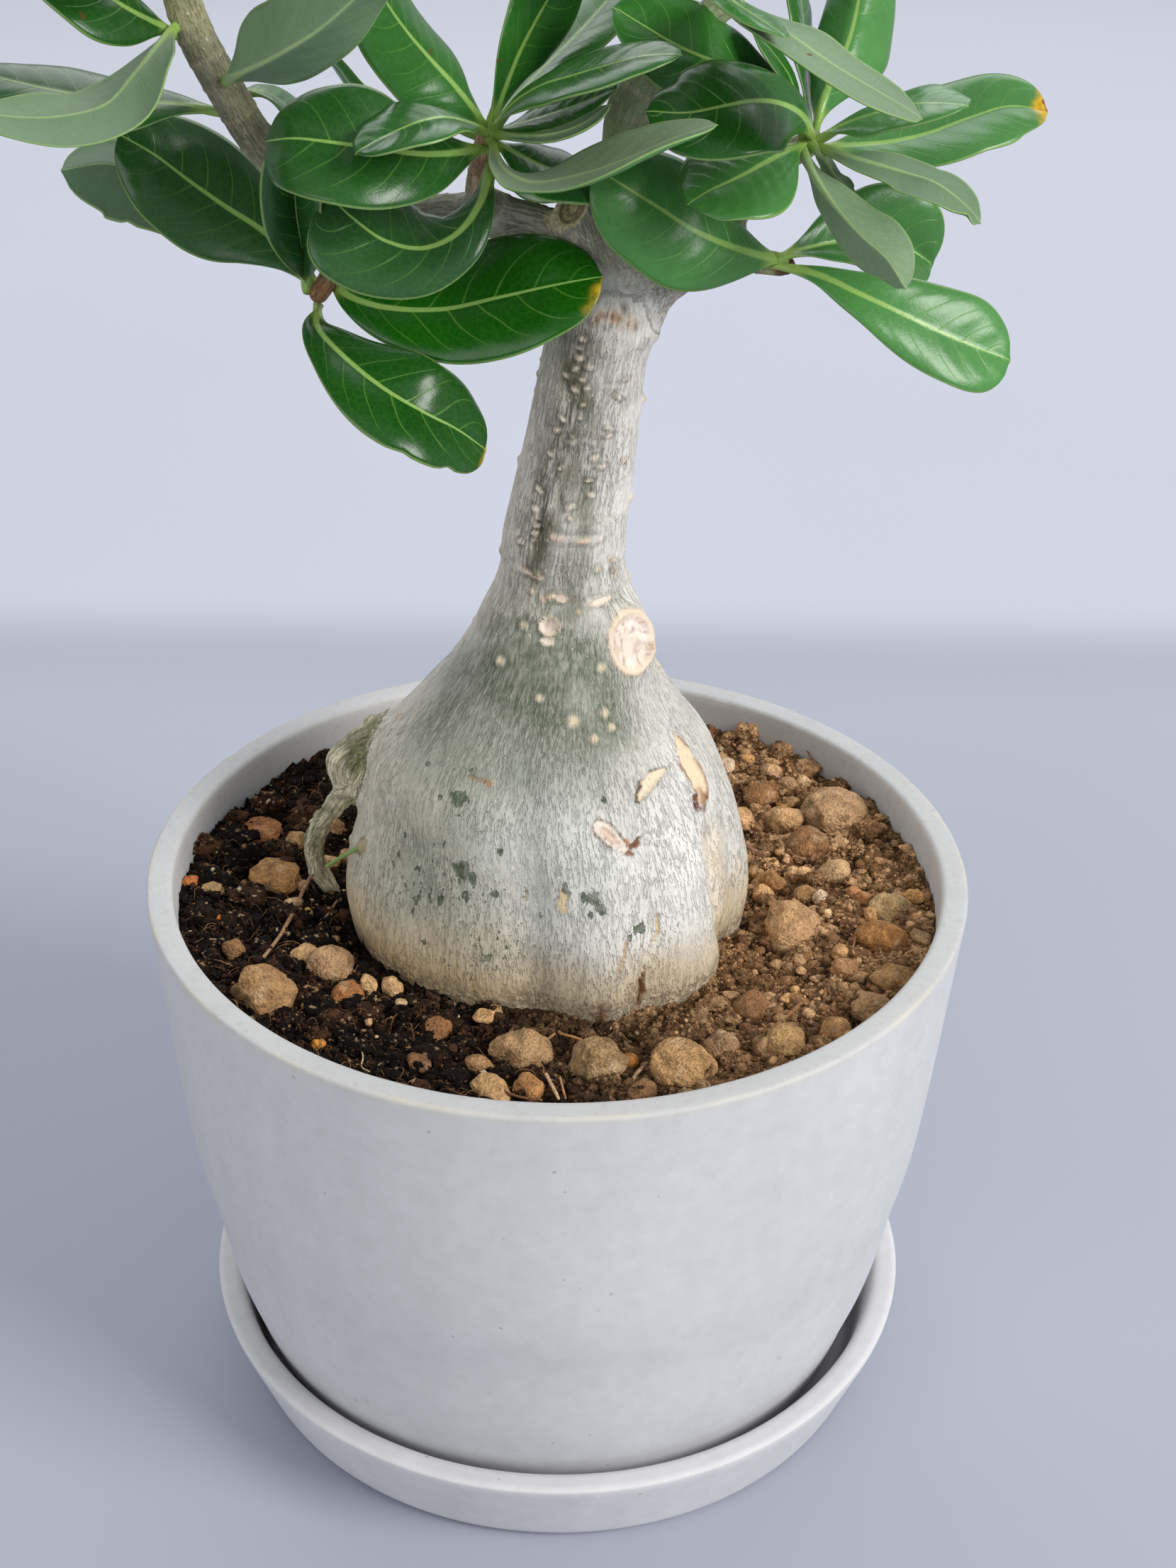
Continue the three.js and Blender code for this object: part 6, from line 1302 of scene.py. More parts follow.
for z0, hgt, wd, wob, sd in ((219.5, 0.25, 0.7, 1.8, 3), (231, 0.16, 0.6, 1.6, 4), (243.5, 0.18, 0.6, 1.4, 5), (257, 0.18, 0.6, 1.4, 6), (268.5, 0.16, 0.6, 1.4, 7), (283.0, 0.45, 1.2, 1.0, 8)):
    e = ring(z0, hgt, wd, wob, sd, None, -0.05)
    tone = mix(tone, srgb(218, 208, 192), 0.35 * e)
    green = green * (1 - 0.5 * e)
for i, (name, Q) in enumerate(CHAINS.items(), 1):
    if name.startswith("air") or name == "stub":
        continue
    L = along[near == i].max() if (near == i).any() else 0
    s0 = 9.0 if name in ("left", "centre", "right") else 4.0
    r_ = np.random.default_rng(50 + i)
    while s0 < L - 1:
        e = ring(s0, 0.15, 0.55, 0.0, 60 + i, i)
        tone = mix(tone, srgb(186, 170, 136), 0.40 * e)
        s0 += r_.uniform(4.0, 7.5)

# scars and bumps, by the places where they are seen
def dist_to(c):
    return np.linalg.norm(V - c, axis=1)


def bump(px, py, rad, height, col=(222, 204, 172), halo=True, field=caudex):
    global H, tone, green
    c = hit(px, py, field)
    d = dist_to(c)
    H += height * np.exp(-(d / rad) ** 2) - 0.25 * height * np.exp(-((d - 1.7 * rad) / (0.5 * rad)) ** 2)
    tone = mix(tone, srgb(*col), np.clip(1.15 * np.exp(-(d / (rad * 1.05)) ** 4), 0, 1))
    if halo:
        e = np.exp(-((d - 1.75 * rad) / (0.55 * rad)) ** 2)
        tone = mix(tone, srgb(122, 130, 100), 0.45 * e)
    green = green * (1 - np.exp(-(d / (1.2 * rad)) ** 4))


for px, py, rad, hh in ((705, 933, 1.05, 0.75), (847, 942, 1.1, 0.8), (760, 985, 0.95, 0.7), (808, 1018, 1.35, 0.95), (853, 1005, 1.05, 0.7), (862, 1026, 0.9, 0.55), (838, 1042, 1.0, 0.7),
                        (738, 882, 0.95, 0.6), (778, 842, 0.8, 0.5), (868, 842, 1.0, 0.4), (751, 834, 0.7, 0.45), (861, 789, 0.6, 0.3), (842, 803, 0.7, 0.35), (866, 806, 1.0, 0.35),
                        (762, 815, 0.5, 0.3), (816, 863, 0.6, 0.3)):
    bump(px, py, rad, hh)
for px, py, rad in ((884, 1190, 1.2), (900, 1192, 0.8), (690, 1105, 0.8)):
    bump(px, py, rad, 0.4, (176, 130, 92), False)
for px, py, rad in ((648, 1127, 2.2), (636, 1123, 1.2), (620, 1124, 0.9), (604, 1078, 0.7), (664, 1086, 0.7), (655, 1228, 2.4), (668, 1240, 1.7), (643, 1222, 1.2), (660, 1262, 1.3), (700, 1262, 1.3), (797, 1256, 1.5), (838, 1272, 1.9),
                    (826, 1266, 1.2), (846, 1284, 1.4), (834, 1290, 1.0), (902, 1310, 1.7), (890, 1322, 1.0), (851, 1130, 0.9), (800, 1100, 0.6), (570, 1178, 0.9), (705, 1205, 1.1), (620, 1270, 1.2), (598, 1330, 1.0), (690, 1350, 1.2), (716, 1338, 1.0)):
    c = hit(px, py)
    o = V - c
    d = np.hypot(np.hypot(o[:, 0], o[:, 1]), o[:, 2] * 0.85)
    fleck = np.maximum(fleck, 1.05 * np.exp(-(d / (1.15 * rad)) ** 2.6))
    H -= 0.12 * np.exp(-(d / rad) ** 4)
# a chain of small lenticels up the trunk
r_ = np.random.default_rng(77)
for px, py in ((821, 478), (817, 491), (817, 506), (832, 518), (821, 536), (810, 549), (803, 563), (823, 571), (819, 589), (793, 591), (786, 606), (806, 615), (798, 529), (858, 603), (858, 615), (838, 646),
               (849, 658), (830, 678), (833, 698), (804, 716), (805, 732), (845, 733), (760, 690), (755, 718), (758, 730), (756, 742), (754, 752), (753, 762), (734, 764), (866, 790), (863, 805), (884, 535),
               (872, 560), (880, 650), (790, 660), (776, 640), (812, 520), (828, 548)):
    c = hit(px, py)
    rad = r_.uniform(0.60, 1.08)
    o = V - c
    tilt, slim = r_.uniform(-0.7, 0.7), r_.uniform(1.3, 2.1)
    oy = np.hypot(o[:, 0], o[:, 1]) * np.sign(o[:, 0])
    d = np.hypot(oy * math.cos(tilt) + o[:, 2] * math.sin(tilt), (o[:, 2] * math.cos(tilt) - oy * math.sin(tilt)) * slim) * (1 + 0.28 * noise(V, 1.1, 355))
    H += r_.uniform(0.45, 0.75) * np.exp(-(d / rad) ** 2) - 0.18 * np.exp(-((d - 1.8 * rad) / (0.5 * rad)) ** 2)
    tone = mix(tone, srgb(222, 208, 188), 0.92 * np.exp(-(d / (rad * 0.95)) ** 4))
    tone = mix(tone, srgb(96, 88, 70), r_.uniform(0.35, 0.7) * np.exp(-((d - 1.6 * rad) / (0.42 * rad)) ** 2))
    streaky *= 1 - np.exp(-(d / (1.1 * rad)) ** 4)
    green = green * (1 - np.exp(-(d / (1.2 * rad)) ** 4))
# raised skin lines, cracked rings and smooth patches of the trunk
for pts, wide_, high_, col_, much in (([(812, 622), (803, 640), (790, 668), (781, 700), (774, 735), (772, 760)], 0.9, 0.45, (206, 202, 188), 0.6), ([(770, 754), (786, 761), (800, 760), (824, 764), (847, 761)], 0.8, 0.55, (238, 200, 172), 0.95),
                                      ([(722, 796), (742, 806), (765, 816)], 0.75, 0.45, (232, 204, 180), 0.85), ([(851, 546), (880, 545), (909, 545)], 0.5, 0.25, (186, 178, 164), 0.6), ([(798, 625), (822, 620), (840, 626)], 0.5, 0.25, (200, 190, 172), 0.6),
                                      ([(868, 686), (880, 684), (893, 682)], 0.5, 0.25, (196, 186, 170), 0.6), ([(765, 845), (778, 843), (790, 842)], 0.8, 0.35, (230, 186, 160), 0.8), ([(828, 850), (845, 847), (858, 845)], 0.85, 0.35, (228, 182, 156), 0.8),
                                      ([(824, 440), (850, 456), (884, 456), (912, 448)], 0.9, 0.4, (206, 196, 178), 0.5)):
    d = away(pts) + 0.35 * np.abs(noise(V, 2.4, 352))
    broken = smooth(-0.45, 0.05, noise(V, 1.7, 354))
    H += broken * (high_ * np.exp(-(d / wide_) ** 2) - 0.5 * high_ * np.exp(-((d - 2.0 * wide_) / wide_) ** 2) * (d > wide_))
    tone = mix(tone, srgb(*col_), broken * much * np.exp(-(d / (0.85 * wide_)) ** 2) * (0.75 + 0.5 * noise(V, 1.2, 353)))
    tone = mix(tone, srgb(104, 96, 80), 0.35 * much * np.exp(-((d - 2.0 * wide_) / (0.6 * wide_)) ** 2))
    streaky *= 1 - 0.8 * np.exp(-(d / wide_) ** 2)
    green = green * (1 - np.exp(-(d / wide_) ** 2))
# the same marks on the side that isn't seen
for _ in range(46):
    a = r_.uniform(-0.3, math.pi + 0.3)
    z0 = r_.uniform(150, 280)
    rr_ = np.interp(z0, _z, _R)
    c = np.array([np.interp(z0, _z, _X) + rr_ * math.cos(a), rr_ * math.sin(a) * 0.97, z0])
    rad = r_.uniform(0.6, 1.45)
    d = dist_to(c)
    H += 0.70 * rad * np.exp(-(d / rad) ** 2)
    tone = mix(tone, srgb(216, 198, 170), np.exp(-(d / (rad * 1.05)) ** 4))
    green = green * (1 - np.exp(-(d / (1.2 * rad)) ** 4))


def disc_scar(px, py, ra, rb, turn, field=caudex, deep=0.7, lip=0.9, at=None, facing=None):
    """An oval healed cut: a raised callus ring round a flat pale middle."""
    global H, tone, green, smooth_zone
    c = hit(px, py, field) if at is None else at
    n = unit(slope(c[None], field, 0.3))[0] if facing is None else facing
    e1 = unit(np.cross(n, [0, 0, 1.0]))
    e2 = np.cross(e1, n)
    t = math.radians(turn)
    f1, f2 = math.cos(t) * e1 + math.sin(t) * e2, -math.sin(t) * e1 + math.cos(t) * e2
    o = V - c
    x, y, h = o @ f1, o @ f2, np.abs(o @ n)
    q = np.hypot(x / ra, y / rb) + 0.05 * noise(V, 2.2, 361)
    live = smooth(7, 4, h)
    H += live * (-deep * smooth(0.96, 0.72, q) + lip * np.exp(-((q - 1.0) / 0.13) ** 2) + 0.25 * deep * fbm(V, 1.8, 3, 363) * smooth(0.95, 0.7, q))
    inside = smooth(1.16, 1.02, q) * live
    tone = mix(tone, srgb(226, 212, 196), 0.92 * inside)
    tone = mix(tone, srgb(230, 204, 174), 0.75 * live * np.exp(-((q - 1.02) / 0.12) ** 2))
    tone = mix(tone, srgb(196, 160, 132), 0.45 * live * smooth(0.25, 0.6, noise(V * (1, 1, 0.5), 1.6, 365)) * smooth(0.95, 0.8, q))
    tone = mix(tone, srgb(120, 80, 54), 0.55 * live * np.exp(-((q - 0.86) / 0.05) ** 2) * smooth(0.0, 0.5, noise(V, 3, 367)))
    green = green * (1 - inside)
    smooth_zone = np.maximum(smooth_zone, inside)
    return c, n, f1, f2, x, y, q


disc_scar(893, 905, 5.5, 7.2, -8, deep=0.6, lip=0.75, at=SCAR_AT, facing=SCAR_N)
c = hit(911, 927, wood)
d = np.hypot((V - c) @ unit(np.array([1, 0.35, 0.15])), ((V - c) @ unit(np.array([0.1, -0.3, 1.0]))) * 0.62)
k = np.exp(-((d - 2.3) / 0.5) ** 2)
H += 0.35 * k - 0.2 * (d < 2)
k = k * smooth(-0.35, 0.3, noise(V, 1.6, 373))
tone = mix(tone, srgb(168, 120, 90), 0.60 * k)
o = V - SCAR_AT
q = np.hypot((o @ SCAR_X) / 5.5, (o @ SCAR_Z) / 7.2)
lines_ = np.exp(-(noise(V * (1, 1, 0.55), 2.0, 374) / 0.09) ** 2) * smooth(0.92, 0.78, q) * (np.abs(o @ SCAR_N) < 4)
tone = mix(tone, srgb(240, 228, 220), 0.6 * smooth(0.9, 0.7, q) * (np.abs(o @ SCAR_N) < 4) * smooth(-0.2, 0.5, noise(V, 2.4, 375)))
tone = mix(tone, srgb(150, 104, 78), 0.75 * lines_ * smooth(-0.5, 0.1, noise(V, 3.1, 376)))
H -= 0.18 * lines_
disc_scar(775, 883, 2.3, 2.2, 0, deep=0.45, lip=0.7)
disc_scar(773, 905, 1.7, 1.1, 0, deep=0.2, lip=0.4)
disc_scar(792, 843, 1.6, 0.9, 10, deep=0.2, lip=0.35)
disc_scar(845, 847, 2.6, 0.8, -5, deep=0.2, lip=0.3)


def line_scar(pts, wide, deep, col, edge_col, lip=0.25, widths=None):
    global H, tone, green, smooth_zone
    X = np.array([hit(px, py) for px, py in pts])
    widths = [wide] * len(pts) if widths is None else widths
    best = np.full(n_, 99.0)
    for a, b, wa, wb in zip(X[:-1], X[1:], widths[:-1], widths[1:]):
        ab = b - a
        t = np.clip((V - a) @ ab / (ab @ ab), 0, 1)
        best = np.minimum(best, np.linalg.norm(V - a - t[:, None] * ab, axis=1) / (wa + t * (wb - wa)))
    q = best / (1 + 0.16 * noise(V, 1.5, 371))
    H += -deep * smooth(1.0, 0.5, q) + lip * np.exp(-((q - 1.15) / 0.25) ** 2)
    tone = mix(tone, srgb(*col), 0.95 * smooth(1.12, 0.9, q))
    tone = mix(tone, srgb(*edge_col), 0.85 * np.exp(-((q - 1.10) / 0.17) ** 2) * smooth(-0.6, 0.0, noise(V, 1.8, 372)))
    smooth_zone = np.maximum(smooth_zone, smooth(1.1, 0.9, q))


line_scar([(952, 1036), (958, 1050), (968, 1072), (980, 1094), (989, 1112), (992, 1128)], 1, 0.55, (232, 206, 172), (150, 104, 66), 0.4, [0.5, 1.7, 2.9, 3.0, 2.6, 1.3])
c = hit(988, 1124)
o = V - c
d = np.hypot(np.hypot(o[:, 0], o[:, 1]) / 2.5, o[:, 2] / 3.0) * (1 + 0.30 * noise(V, 1.5, 377))
k = np.exp(-((d - 0.85) / 0.26) ** 2) * smooth(3.0, -0.5, o[:, 2])
tone = mix(tone, srgb(118, 68, 40), 0.85 * k)
tone = mix(tone, srgb(222, 186, 148), 0.7 * smooth(0.62, 0.35, d))
H += 0.35 * k - 0.9 * smooth(0.85, 0.3, d) * smooth(0.1, 0.3, d)
line_scar([(980, 1126), (981, 1136), (985, 1144)], 1, 0.7, (104, 60, 36), (108, 62, 36), 0.2, [0.9, 0.8, 0.3])
line_scar([(937, 1085), (922, 1096), (909, 1111), (900, 1129)], 1, 0.50, (230, 212, 184), (86, 76, 54), 0.35, [0.5, 1.5, 1.65, 0.6])
line_scar([(905, 1108), (899, 1120), (898, 1130)], 0.45, 0.6, (70, 64, 44), (90, 80, 58))
line_scar([(845, 1166), (853, 1172), (862, 1181), (873, 1191), (884, 1201)], 1, -0.30, (228, 216, 204), (112, 74, 50), 0.4, [1.5, 2.0, 1.9, 1.4, 0.7])
line_scar([(850, 1170), (860, 1180), (870, 1189)], 1, 0.6, (214, 188, 172), (136, 92, 66), 0.2, [0.6, 0.9, 0.5])
line_scar([(893, 1196), (900, 1190), (903, 1184)], 0.55, 0.5, (112, 72, 46), (128, 92, 64), 0.2)
line_scar([(886, 1203), (893, 1206)], 0.45, 0.35, (132, 90, 60), (128, 92, 64), 0.2)
line_scar([(662, 1095), (690, 1105)], 0.35, 0.2, (176, 140, 112), (120, 96, 74), 0.1)
line_scar([(740, 1262), (738, 1275)], 0.4, 0.3, (190, 180, 158), (120, 116, 96), 0.1)
line_scar([(796, 1262), (792, 1276), (795, 1284)], 0.9, -0.25, (232, 210, 166), (150, 130, 96), 0.1)
line_scar([(740, 800), (752, 812), (766, 816)], 0.45, 0.25, (206, 180, 160), (90, 80, 62), 0.15)
line_scar([(909, 1362), (906, 1384), (909, 1404), (904, 1420)], 1, 0.9, (150, 108, 76), (112, 80, 56), 0.3, [0.25, 0.5, 0.85, 0.7])
line_scar([(884, 1330), (880, 1352), (872, 1370)], 0.35, 0.25, (196, 168, 132), (150, 122, 90), 0.1)
line_scar([(926, 1290), (928, 1312), (922, 1330)], 0.35, 0.25, (214, 190, 152), (170, 140, 104), 0.1)
line_scar([(866, 862), (880, 858), (888, 856)], 0.5, 0.3, (120, 92, 66), (90, 72, 54), 0.15)
for pts in ([(506, 1195), (514, 1192)],):
    line_scar(pts, 1.6, -0.8, (176, 160, 124), (120, 100, 70), 0.2)

# the sawn end of the stub: flat, with a bark rim and growth rings
o = V - CUT_AT
h = o @ CUT_N
on_cut = (np.abs(h) < 0.7) & (np.linalg.norm(o, axis=1) < 7.5) & ((N @ CUT_N) > 0.55)
rc = np.linalg.norm(o - h[:, None] * CUT_N, axis=1)
tone[on_cut] = mix(np.tile(srgb(150, 144, 96), (n_, 1)), srgb(92, 84, 52), smooth(0.2, 0.8, 0.5 + 0.5 * np.sin(rc * 4.6 + 2 * noise(V, 2.5, 381))))[on_cut]
rim_c = on_cut & (rc > 3.4)
tone[rim_c] = mix(tone, np.tile(srgb(196, 186, 148), (n_, 1)), smooth(3.4, 3.9, rc))[rim_c]
tone[on_cut & (rc < 0.9)] = srgb(176, 164, 120)
H[on_cut] = (0.16 * np.sin(rc * 4.6) - 0.5 * np.exp(-(rc / 2.6) ** 2))[on_cut]
smooth_zone[on_cut] = 1
green[on_cut] = 0
# node just under the fork
wood_hit = lambda px, py: hit(px, py, wood)
for px, py, rad, hh, col in ((838, 452, 0.9, 0.45, (214, 190, 166)), (846, 447, 0.8, 0.5, (206, 172, 144)), (858, 446, 1.0, 0.55, (214, 188, 164)), (868, 448, 0.9, 0.5, (196, 150, 118)), (878, 452, 1.1, 0.5, (210, 192, 172)), (893, 455, 1.2, 0.4, (206, 192, 174))):
    c = wood_hit(px, py)
    o = V - c
    d = np.hypot(np.hypot(o[:, 0], o[:, 1]), o[:, 2] * 0.45)
    H += hh * np.exp(-(d / rad) ** 2)
    tone = mix(tone, srgb(*col), 0.85 * np.exp(-(d / rad) ** 4))
    green = green * (1 - np.exp(-(d / rad) ** 2))
for px, py, rad in ((881, 436, 0.9), (898, 462, 0.7), (842, 450, 0.45), (852, 446, 0.45), (863, 446, 0.45), (873, 450, 0.55), (886, 458, 0.5)):
    o = V - wood_hit(px, py)
    d = np.hypot(np.hypot(o[:, 0], o[:, 1]), o[:, 2] * 0.5)
    k = np.exp(-(d / rad) ** 2)
    H -= 0.45 * k
    tone = mix(tone, srgb(92, 68, 48), 0.8 * k)
# ridge on the right branch's base
c = hit(940, 450, wood)
d = np.hypot((V - c) @ unit(np.array([1.0, 0, 0.35])) * 0.5, (V - c)[:, 2] * 1.0 + 0.3 * (V - c)[:, 0])
k = np.exp(-(d / 1.1) ** 2) * (dist_to(c) < 9)
H += 1.5 * k
tone = mix(tone, srgb(206, 184, 160), 0.6 * k)

smooth_zone = np.maximum(smooth_zone, 1.1 * (1 - edge_free) * (zc > 250))
streaky = streaky * edge_free
H = np.clip(H, -2.5, 2.5)
V = V + N * H[:, None]
tone = np.clip(tone, 0.01, 0.95)
F = [Q4] + ([T3] if len(T3) else [])
plant = make("adenium_wood", V, F, BARK_MAT, "bark", (("tone", "FLOAT_COLOR", tone), ("grain", "FLOAT_VECTOR", grain), ("grain_up", "FLOAT_VECTOR", grain_up), ("up", "FLOAT", up_zone), ("green", "FLOAT", np.clip(green, 0, 1)),
             ("rough_zone", "FLOAT", np.clip(rough_zone, 0, 1)), ("streaky", "FLOAT", np.clip(streaky, 0, 1)), ("fleck", "FLOAT", np.clip(fleck, 0, 1)), ("smooth_zone", "FLOAT", np.clip(smooth_zone, 0, 1))))
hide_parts("adenium_plant")
faces = 2 * len(Q4) + len(T3)
if faces > 192000:
    m = plant.modifiers.new("lighter", "DECIMATE")
    m.ratio = 190000 / faces
print("wood faces", faces)

# green sprig between the caudex and the hanging root
X = np.array([hit(506, 1196) - np.array([0, -1.2, 0]), EYE + sight(490, 1205) * 0, EYE * 0])
a, b = hit(507, 1196), None
v = sight(464, 1220)
b = EYE + v * ((a[1] + 1.5 - EYE[1]) / v[1])
mid = 0.5 * (a + b) + np.array([0, -1.0, 0.8])
strands("root_sprig", [curve(np.array([a + unit(a - b) * 1.5, a, mid, b, b + unit(b - a) * 1.0]), 18)], [np.linspace(0.62, 0.42, 18)], SPRIG_MAT, "leaf", [srgb(110, 140, 70)], 12)

